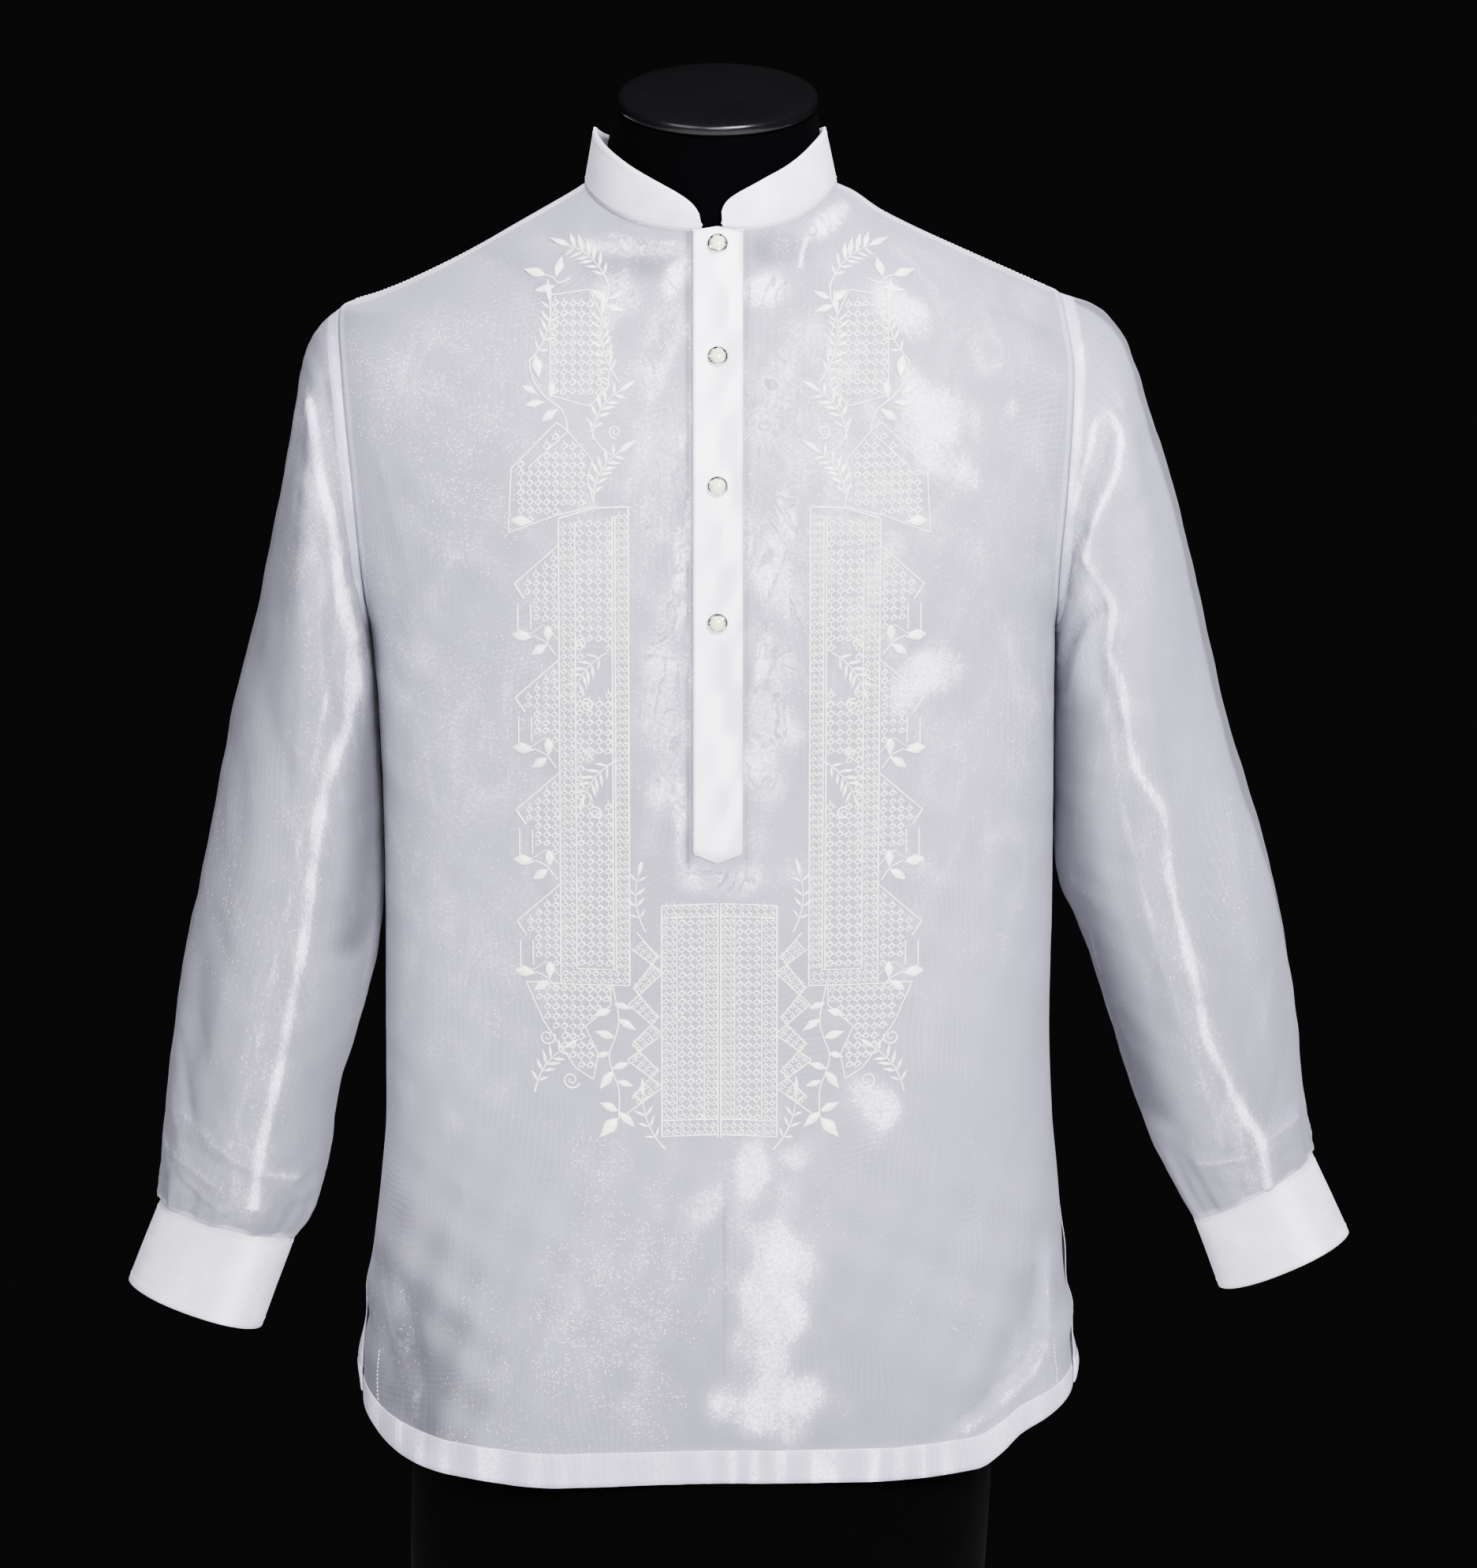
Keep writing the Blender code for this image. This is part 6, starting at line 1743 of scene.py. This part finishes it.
def laid(flat, side, lift):
    """Places and normals on the front for flat spots in millimetres."""
    places, normals = [], []
    for across, height in flat:
        start = Vector((side * across / 1000 + 0.001, -0.4, height / 1000))
        place, normal, _, _ = front_tree().ray_cast(start, Vector((0, 1, 0)))
        if place is None:
            raise RuntimeError(f"the front doesn't reach {across:.0f}, {height:.0f} mm")
        normal = normal if normal.y < 0 else -normal
        places.append(place + normal * lift)
        normals.append(normal)
    return places, normals


def turn_of(along, normal):
    """The turn that points X along a way on the cloth and Z out of it."""
    across = normal.cross(along).normalized()
    along = across.cross(normal).normalized()
    return Matrix((along, across, normal)).transposed().to_euler()


# ---------------------------------------------------------------- masks of the cloth


def panel_masks(face):
    points, _, layers, gleam, shade = panel_sheet(face)
    x, z = points[:, :, 0], points[:, :, 2]
    # Painted glints follow the painted highlights; the table adds painted highlights, glints and shade
    spark = 0.6 * gleam
    for side, x0, z0, across, up, slant, bright, glints, dark in GLEAMS:
        if side != face:
            continue
        du, dv = x - x0 - slant * (z - z0), z - z0
        reach = np.sqrt((du / across) ** 2 + (dv / up) ** 2)
        wobble = 0.16 * np.sin(z * 150 + 80 * x) + 0.12 * np.sin(z * 70 - 210 * x + 50 * x0)
        near = ease((1.50 + wobble - reach) / 1.20)
        gleam = np.maximum(gleam, bright * near)
        spark = np.maximum(spark, glints * near)
        shade = np.maximum(shade, dark * near)
    return {"layers": layers, "gleam": gleam, "spark": spark, "shade": shade * (1 - 0.3 * layers)}


# Sheer strip of each sleeve: middle and reach in rings, half its width in degrees, strength
SHEER_STRIPS = {-1: (6.5, 6.0, 21.0, 0.50), 1: (6.0, 6.5, 27.0, 0.74)}


def sleeve_masks(side):
    points, _, gleam, shade = sleeve_sheet(side)
    rows, around, _ = points.shape
    last = len(SLEEVES[side]) + 1
    ring = np.repeat(np.linspace(0, last, rows)[:, None], around, 1)
    degrees = np.repeat((360.0 * (np.arange(around) + 0.5) / around)[None, :], rows, 0)
    middle, reach, wide, most = SHEER_STRIPS[side]
    half = wide * np.sqrt(1.0 - np.minimum(((ring - middle) / reach) ** 2, 1.0))
    off = (degrees + 180.0) % 360.0 - 180.0
    sheer = most * ease((half - off) / 5.0) * ease((off + 0.6 * half) / 16.0)
    run = run_lengths(points, 0)
    layers = np.maximum(within(run, SHOULDER_SEAM), within(run[-1:] - run, GATHERED_SEAM, 0.002))
    # Painted glints where the sleeve has painted highlight lines
    return {"gleam": gleam, "spark": gleam, "shade": shade, "sheer": sheer * (1 - layers), "layers": layers}


def levels_of(points):
    return np.linspace(0, 1, len(points))[:, None]


def collar_masks(points):
    """Painted highlight on the collar towards its top and right, and painted shade at its foot and left."""
    level = levels_of(points)
    gleam = 0.12 * level**3 + 0.08 * ease(points[:, :, 0] / 0.06)
    shade = 0.55 * bell(level, 0.10) + 0.34 * ease(-points[:, :, 0] / 0.07)
    return {"gleam": gleam, "shade": shade}


def placket_masks(points):
    """Painted highlight in clouds on the placket, and painted shade along its edges and between the clouds."""
    share, height = np.linspace(-1, 1, points.shape[1])[None, :], points[:, :, 2]
    cloudy = np.sin(height * 61 + 3 * share) * np.sin(height * 23 + 1) + 0.5 * np.sin(height * 143 - 4 * share)
    shade = np.maximum(0.90 * bell(share + 1.0, 0.08), 0.20 * bell(share - 0.70, 0.06))
    shade = np.maximum(shade, 0.30 * bell(share - 0.97, 0.05))
    shade = np.maximum(shade, 0.42 * ease(0.5 - cloudy) * ease(0.6 + share))
    return {"gleam": 0.78 + 0.26 * cloudy, "shade": shade}


# Where each cuff has a painted highlight, in degrees round it, and how much painted shade the rest of it has
CUFF_LIGHT = {-1: (118, 0.46), 1: (66, 0.26)}


def cuff_masks(side, points):
    rows, count, _ = points.shape
    turn = (CUFF_LAP_START + (2 * math.pi + CUFF_LAP) * np.linspace(0, 1, count)) % (2 * math.pi)
    spot, dark = CUFF_LIGHT[side]
    # A painted highlight round one spot, painted shade at the cuff's top edge and over the rest
    gleam = np.repeat(0.6 * bell(turn - math.radians(spot), 0.24)[None, :], rows, 0)
    return {"gleam": gleam, "shade": 0.40 * bell(levels_of(points), 0.05) + dark * (1 - gleam)}


# ---------------------------------------------------------------- operators

SIDES = ((-1, "left"), (1, "right"))
FACES = ((-1, "front"), (1, "back"))

# Camera: lens and height of the sensor in millimetres, shift, place and tilt
LENS, SENSOR, SHIFT = 95.6, 24, 0.0133
CAMERA_PLACE, CAMERA_TILT = (0, -3.9126, 1.4686), 78

# Floor slab: middle and size
FLOOR_MIDDLE, FLOOR_SIZE = (0, -0.85, -0.011), (3.2, 2.3, 0.02, 1)

# Soft lights: name, setting and share of its strength, place, aim, side, whether shiny things mirror it
LIGHTS = (
    ("Key", "key", 1, (0.95, -2.5, 2), (0.05, 0, 0.82), 0.9, True),
    ("Fill", "fill", 0.8, (-1.7, -2.3, 1.7), (0, 0, 0.75), 1.6, True),
    ("Front", "fill", 1.2, (0.1, -3.3, 1.4), (0, 0, 0.75), 1.4, True),
    ("Top", "fill", 0.8, (0.1, -0.4, 2.5), (0, 0, 0.9), 0.9, False),
    ("Back", "key", 1.1, (-0.4, 2.6, 1.9), (0, 0, 0.6), 1.8, False),
    ("Side", "fill", 0.7, (2.4, 0.4, 1.6), (0.3, 0, 0.7), 0.8, False),
)
LIGHT_COLOUR, WORLD_COLOUR = (0.96, 0.95, 1.0), (0.004, 0.004, 0.0045, 1)

# Heights of the trunk's rings and how many points each has
FORM_HEIGHTS = np.concatenate(
    [[0.0, 0.0008, 0.0022, 0.004], np.linspace(0.006, 0.94, 56), np.linspace(0.945, 1.0694, 30)]
)
FORM_COLUMNS = 104

# Outline of the neck cap from the middle of its top: radius, height
CAP_PROFILE = (
    (0, 0.0016), (0.03, 0.0014), (0.047, 0.0008), (0.056, 0), (0.0598, -0.0008), (0.0618, -0.0019), (0.0627, -0.0031),
    (CAP_RADIUS, -0.0045), (CAP_RADIUS, -0.0072), (0.0625, -0.0087), (0.0612, -0.0096), (0.0595, -CAP_DEPTH),
    (0, -CAP_DEPTH),
)

# Prongs of a stud's rim: how many, height, lean, size
PRONGS, PRONG_HEIGHT, PRONG_LEAN, PRONG_SIZE = 5, 0.0030, 0.45, (0.0021, 0.0024, 0.0009, 1)

# A cuff's sewn button: radius, how far round the cuff it sits, outline as share of the radius and height
CUFF_BUTTON_RADIUS, CUFF_BUTTON_SPOT = 0.0052, 1 - 2 / 38
CUFF_BUTTON_PROFILE = (
    (0, 0.001), (0.62, 0.001), (0.74, 0.0016), (0.9, 0.0018), (1, 0.0012), (1, 0.0005), (0.85, 0), (0, 0),
)

# How far machine stitches and each kind of embroidery stand off the cloth
STITCH_LIFT, RING_LIFT, CORD_LIFT, LEAF_LIFT = 0.00012, 0.0002, 0.0003, 0.00015
# How far rings stray, in millimetres, and how much their sizes vary
RING_STRAY, RING_SPREAD = 0.12, 0.04
# Height of the row of stitches across the placket
CROSS_ROW = 0.709


def add_light(name, setting, share, place, aim, side, mirrored):
    """A square soft light; one that isn't mirrored casts light but leaves no reflection of its own."""
    data = bpy.data.lights.new(name, "AREA")
    data.energy = getattr(settings_of("stage"), setting) * share
    data.shape = "SQUARE"
    data.color = LIGHT_COLOUR
    data.size = side
    light = bpy.data.objects.new(name, data)
    light.location = place
    light.rotation_euler = (Vector(aim) - Vector(place)).to_track_quat("-Z", "Y").to_euler()
    light.visible_glossy = mirrored
    bpy.context.scene.collection.objects.link(light)


class BARONG_OT_stage(Operator):
    """Adds the camera, the soft lights and the pale floor"""

    bl_idname = "barong.stage"
    bl_label = "Add Stage"

    def execute(self, context):
        data = bpy.data.cameras.new("Camera")
        data.sensor_fit = "VERTICAL"
        data.sensor_height = SENSOR
        data.lens = LENS
        data.shift_x = SHIFT
        camera = bpy.data.objects.new("Camera", data)
        camera.location = CAMERA_PLACE
        camera.rotation_euler = (math.radians(CAMERA_TILT), 0, 0)
        context.scene.collection.objects.link(camera)
        context.scene.camera = camera
        world = bpy.data.worlds.new("Studio")
        world.use_nodes = True
        world.node_tree.nodes["Background"].inputs["Color"].default_value = WORLD_COLOUR
        context.scene.world = world
        slab = bmesh.new()
        bmesh.ops.create_cube(slab, size=1.0)
        place = Matrix.Translation(FLOOR_MIDDLE) @ Matrix.Diagonal(FLOOR_SIZE)
        floor = link_piece("floor", mesh_of(slab, "floor", place), finish("floor"))
        for light in LIGHTS:
            add_light(*light)
        return {"FINISHED"}


class BARONG_OT_form(Operator):
    """Adds the covered trunk and neck of the form and its lacquered cap"""

    bl_idname = "barong.form"
    bl_label = "Add Dress Form"

    def execute(self, context):
        angles = 2 * math.pi * np.arange(FORM_COLUMNS) / FORM_COLUMNS
        cos, sin = np.cos(angles)[None, :], np.sin(angles)[None, :]
        bend = 2.0 / between(FORM, "power", FORM_HEIGHTS)[:, None]
        across, along = (np.sign(part) * np.abs(part) ** bend for part in (cos, sin))
        names = ("left", "right", "front", "back", "rise")
        left, right, front, back, rise = (between(FORM, name, FORM_HEIGHTS)[:, None] for name in names)
        x = across * np.where(across > 0, right, left)
        y = along * np.where(along > 0, back, front)
        points = np.stack([x, y, FORM_HEIGHTS[:, None] + rise * y], -1)
        torso = cloth_piece("trunk_cover", points, 1, 0, finish("jersey"), wrap=True)
        closed = bmesh.new()
        closed.from_mesh(torso.data)
        bmesh.ops.holes_fill(closed, edges=[edge for edge in closed.edges if edge.is_boundary])
        closed.to_mesh(torso.data)
        closed.free()
        torso.data.set_sharp_from_angle(angle=math.radians(50))
        dress(torso, "jersey", "form_torso")
        place = Matrix.Translation((0, 0, CAP_TOP)) @ Matrix.Rotation(CAP_TILT, 4, "X")
        mesh = mesh_of(turned(CAP_PROFILE, 128), "lacquered_cap", place, 60)
        dress(link_piece("lacquered_cap", mesh, finish("lacquer")), "lacquer", "form_neck_cap")
        return {"FINISHED"}


class BARONG_OT_panels(Operator):
    """Adds the front and the back with their shoulder and side seams and their hems"""

    bl_idname = "barong.panels"
    bl_label = "Add Front and Back"

    def execute(self, context):
        wall = settings_of("cloth").thickness
        for face, name in FACES:
            points, masks = panel_sheet(face)[0], panel_masks(face)
            piece = cloth_piece(name + "_cloth", points, -face, wall, finish("organza"), masks=masks)
            dress(piece, "organza", name + "_panel")
        return {"FINISHED"}


class BARONG_OT_sleeves(Operator):
    """Adds both sleeves, gathered into their cuffs"""

    bl_idname = "barong.sleeves"
    bl_label = "Add Sleeves"

    def execute(self, context):
        wall = settings_of("cloth").thickness
        for side, name in SIDES:
            points, masks = sleeve_sheet(side)[0], sleeve_masks(side)
            piece = cloth_piece(f"sleeve_{name}_cloth", points, side, wall, finish("organza"), True, masks)
            dress(piece, "organza", "sleeve_" + name)
        return {"FINISHED"}


def add_band(name, points, side, masks, node):
    piece = cloth_piece(name + "_cloth", points, side, BAND, finish("band"), masks=masks)
    return dress(piece, "interfaced_organza", node)


class BARONG_OT_bands(Operator):
    """Adds the collar band, the placket and both cuffs"""

    bl_idname = "barong.bands"
    bl_label = "Add Collar, Placket and Cuffs"

    def execute(self, context):
        points = collar_sheet()[0]
        collar = add_band("collar", points, 1, collar_masks(points), "collar_band")
        points = placket_sheet()[0]
        placket = add_band("placket", points, 1, placket_masks(points), "placket")
        for side, name in SIDES:
            points = cuff_sheet(side)[0]
            cuff = add_band("cuff_" + name, points, side, cuff_masks(side, points), "cuff_" + name)
        return {"FINISHED"}


def stand_on(place, normal, lift):
    """Where a button stands: off the cloth, with its +Z along the way out."""
    return Matrix.Translation(place + normal * lift) @ normal.to_track_quat("Z", "Y").to_matrix().to_4x4()


def placket_stand(number, height):
    """Where a stud stands on the middle of the placket at a height."""
    points, facing = placket_sheet()
    middle = points.shape[1] // 2
    place, normal = (
        Vector([float(np.interp(height, points[:, middle, 2], grid[:, middle, axis])) for axis in range(3)])
        for grid in (points, facing)
    )
    return stand_on(place, normal.normalized(), SEAM_GAP) @ Matrix.Rotation(0.45 + 0.7 * number, 4, "Z")


def pearl_stud(name, stand, dome, rim):
    """A pearl dome in a silver rim with prongs."""
    bezel = ((dome * 0.5, 0.0014), (dome * 1.02, 0.0014), (dome * 1.04, 0.0024), (dome * 1.10, 0.0028))
    bezel += ((rim * 0.86, 0.0025), (rim * 0.96, 0.0019), (rim, 0.0013), (rim * 0.97, 0.0006), (rim * 0.8, 0))
    bezel += ((dome * 0.5, 0),)
    metal = turned(bezel, 40)
    for spoke in range(PRONGS):
        prong = bmesh.new()
        bmesh.ops.create_cube(prong, size=1.0)
        bmesh.ops.bevel(
            prong, geom=prong.edges, offset=0.18, segments=2, affect="EDGES", profile=0.5, clamp_overlap=True
        )
        place = Matrix.Rotation(2 * math.pi * spoke / PRONGS, 4, "Z")
        place = place @ Matrix.Translation((dome * 1.03, 0, PRONG_HEIGHT)) @ Matrix.Rotation(PRONG_LEAN, 4, "Y")
        take_in(metal, prong, place @ Matrix.Diagonal(PRONG_SIZE))
    steps = [math.pi / 2 * k / 9 for k in range(9)]
    profile = [(dome * math.sin(a), 0.0024 + 0.0030 * math.cos(a)) for a in steps]
    profile += [(dome, 0.0024), (dome * 0.98, 0.0015), (0, 0.0015)]
    parts = (
        (mesh_of(turned(profile, 36), "dome", stand, 60), finish("pearl")),
        (mesh_of(metal, "rim", stand, 50), finish("silver")),
    )
    return join_meshes(name, parts)


def sewn_button(name, stand):
    """A small disc held by two crossed pairs of threads."""
    profile = [(share * CUFF_BUTTON_RADIUS, height) for share, height in CUFF_BUTTON_PROFILE]
    disc = mesh_of(turned(profile, 36), "disc", stand, 50)
    thread = bmesh.new()
    for slant in (math.pi / 4, -math.pi / 4):
        for shift in (-0.0002, 0.0002):
            bar = bmesh.new()
            bmesh.ops.create_cone(bar, cap_ends=True, segments=8, radius1=0.0002, radius2=0.0002, depth=0.0027)
            place = Matrix.Rotation(slant, 4, "Z") @ Matrix.Translation((0, shift, 0.0011))
            take_in(thread, bar, place @ Matrix.Rotation(math.pi / 2, 4, "Y"))
    return join_meshes(name, ((disc, finish("shell")), (mesh_of(thread, "thread", stand), finish("stitch"))))


class BARONG_OT_buttons(Operator):
    """Adds the four pearl studs in pronged silver rims and a sewn button on each cuff"""

    bl_idname = "barong.buttons"
    bl_label = "Add Buttons"

    def execute(self, context):
        settings = settings_of("button")
        for number, height in enumerate(BUTTON_HEIGHTS, 1):
            stand = placket_stand(number, height)
            stud = pearl_stud(f"pearl_stud_{number}", stand, settings.dome_radius, settings.rim_radius)
            dress(stud, "pearl", f"button_{number}")
        for side, name in SIDES:
            points, normals = cuff_sheet(side)
            spot = points.shape[0] // 2, round(points.shape[1] * CUFF_BUTTON_SPOT)
            stand = stand_on(Vector(points[spot]), Vector(normals[spot]), 2 * SEAM_GAP)
            dress(sewn_button(f"cuff_stud_{name}", stand), "pearl", f"cuff_button_{name}")
        return {"FINISHED"}


def lifted(points, normals, rows, columns):
    """A line of a grid, lifted a little off it."""
    return points[rows, columns] + normals[rows, columns] * STITCH_LIFT


def sew(name, lines, slot="interfaced_organza"):
    """Machine stitches along lines, as a piece."""
    mesh = lines_mesh(name, [(line, 1.0) for line in lines])
    values = {"Pitch": settings_of("needle").stitch_pitch, "Material": finish("stitch")}
    return dress(grow(name, stitch_tree(), mesh, values), slot)


class BARONG_OT_stitching(Operator):
    """Adds the machine stitches along hems, seams, placket, collar and cuffs"""

    bl_idname = "barong.stitching"
    bl_label = "Add Stitching"

    def execute(self, context):
        for face, name in FACES:
            sheet = panel_sheet(face)[:2]
            x, _, z = sheet[0].transpose(2, 0, 1)
            hem_line = HEM + HEM_DEPTH - 0.0022
            hem = int(np.argmin(np.abs(z[:, z.shape[1] // 2] - hem_line)))
            slit = z[:, 3] < SLIT_TOP - 0.004
            lines = [lifted(*sheet, hem, slice(6, -6))]
            lines += [lifted(*sheet, slit, column)[hem:] for column in (14, -15)]
            for side, _ in SIDES:
                on = (np.abs(x[-1]) > NECK_EDGE[side] + 0.004) & (np.sign(x[-1]) == side)
                lines.append(lifted(*sheet, -5, np.nonzero(on)[0][4:-4]))
            sew(name + "_stitches", lines, "organza")
        sheet = placket_sheet()
        cross = int(np.argmin(np.abs(sheet[0][:, 8, 2] - CROSS_ROW)))
        lines = [lifted(*sheet, slice(None), column) for column in (1, sheet[0].shape[1] - 2)]
        sew("placket_stitches", lines + [lifted(*sheet, cross, slice(1, -1))])
        sew("collar_stitches", [lifted(*collar_sheet(), row, slice(2, -2)) for row in (1, -2)])
        for side, name in SIDES:
            sew(f"cuff_{name}_stitches", [lifted(*cuff_sheet(side), row, slice(2, -2)) for row in (2, -3)])
        return {"FINISHED"}


class BARONG_OT_embroidery(Operator):
    """Lays the embroidery on the front: lattice fields, border threads, sprays and leaves"""

    bl_idname = "barong.embroidery"
    bl_label = "Add Embroidery"

    def execute(self, context):
        settings = settings_of("needle")
        chance = np.random.default_rng(settings.seed)
        rings = all_rings()
        lines, leaves = needle_plan()
        copies, cords, leaf_copies = [], [], []
        for side in (-1, 1):
            spots = rings[:, :2] + chance.normal(0, RING_STRAY, (len(rings), 2))
            for place, normal, size in zip(*laid(spots, side, RING_LIFT), rings[:, 2]):
                turn = turn_of(Vector((1, 0, 0)), normal)
                copies.append((place, turn, [size * chance.normal(1.0, RING_SPREAD)] * 3))
            cords += [(laid(flat, side, CORD_LIFT)[0], girth) for flat, girth in lines]
            for root, tip, slim in leaves:
                (start, end), (normal, _) = laid((root, tip), side, LEAF_LIFT)
                length = (end - start).length
                size = (length, length * slim * 1.02, length * slim)
                leaf_copies.append((start, turn_of((end - start).normalized(), normal), size))
        ring = {"Ring Radius": settings.ring_radius, "Thread Radius": settings.ring_thread}
        ring["Material"] = finish("lattice")
        cord = {"Radius": settings.cord_thread, "Material": finish("silk")}
        leaf = {"Material": finish("silk")}
        pieces = [
            grow("embroidery_lattice", ring_tree(), points_mesh("rings", *zip(*copies)), ring),
            grow("embroidery_threads", cord_tree(), lines_mesh("threads", cords), cord),
            grow("embroidery_leaves", leaf_tree(), points_mesh("leaves", *zip(*leaf_copies)), leaf),
        ]
        for piece in pieces:
            dress(piece, "organza")
        return {"FINISHED"}


class BARONG_PT_pieces(Panel):
    """Lists the pieces of the shirt"""

    bl_idname = "BARONG_PT_pieces"
    bl_label = "Barong Tagalog"
    bl_space_type = "VIEW_3D"
    bl_region_type = "UI"
    bl_category = "Barong"

    def draw(self, context):
        for operator in STEPS:
            self.layout.operator(operator.bl_idname)
        for group in SETTINGS:
            box = self.layout.box()
            values = getattr(context.scene, group)
            for name in values.bl_rna.properties.keys():
                if name not in ("rna_type", "name"):
                    box.prop(values, name)


STEPS = (
    BARONG_OT_stage,
    BARONG_OT_form,
    BARONG_OT_panels,
    BARONG_OT_sleeves,
    BARONG_OT_bands,
    BARONG_OT_buttons,
    BARONG_OT_stitching,
    BARONG_OT_embroidery,
)
CLASSES = (*SETTINGS.values(), *STEPS, BARONG_PT_pieces)


def register():
    for made in CLASSES:
        bpy.utils.register_class(made)
    for name, group in SETTINGS.items():
        setattr(bpy.types.Scene, name, PointerProperty(type=group))


def unregister():
    for name in SETTINGS:
        delattr(bpy.types.Scene, name)
    for made in reversed(CLASSES):
        bpy.utils.unregister_class(made)


def main():
    register()
    for operator in STEPS:
        group, name = operator.bl_idname.split(".")
        getattr(getattr(bpy.ops, group), name)()


if __name__ == "__main__":
    main()
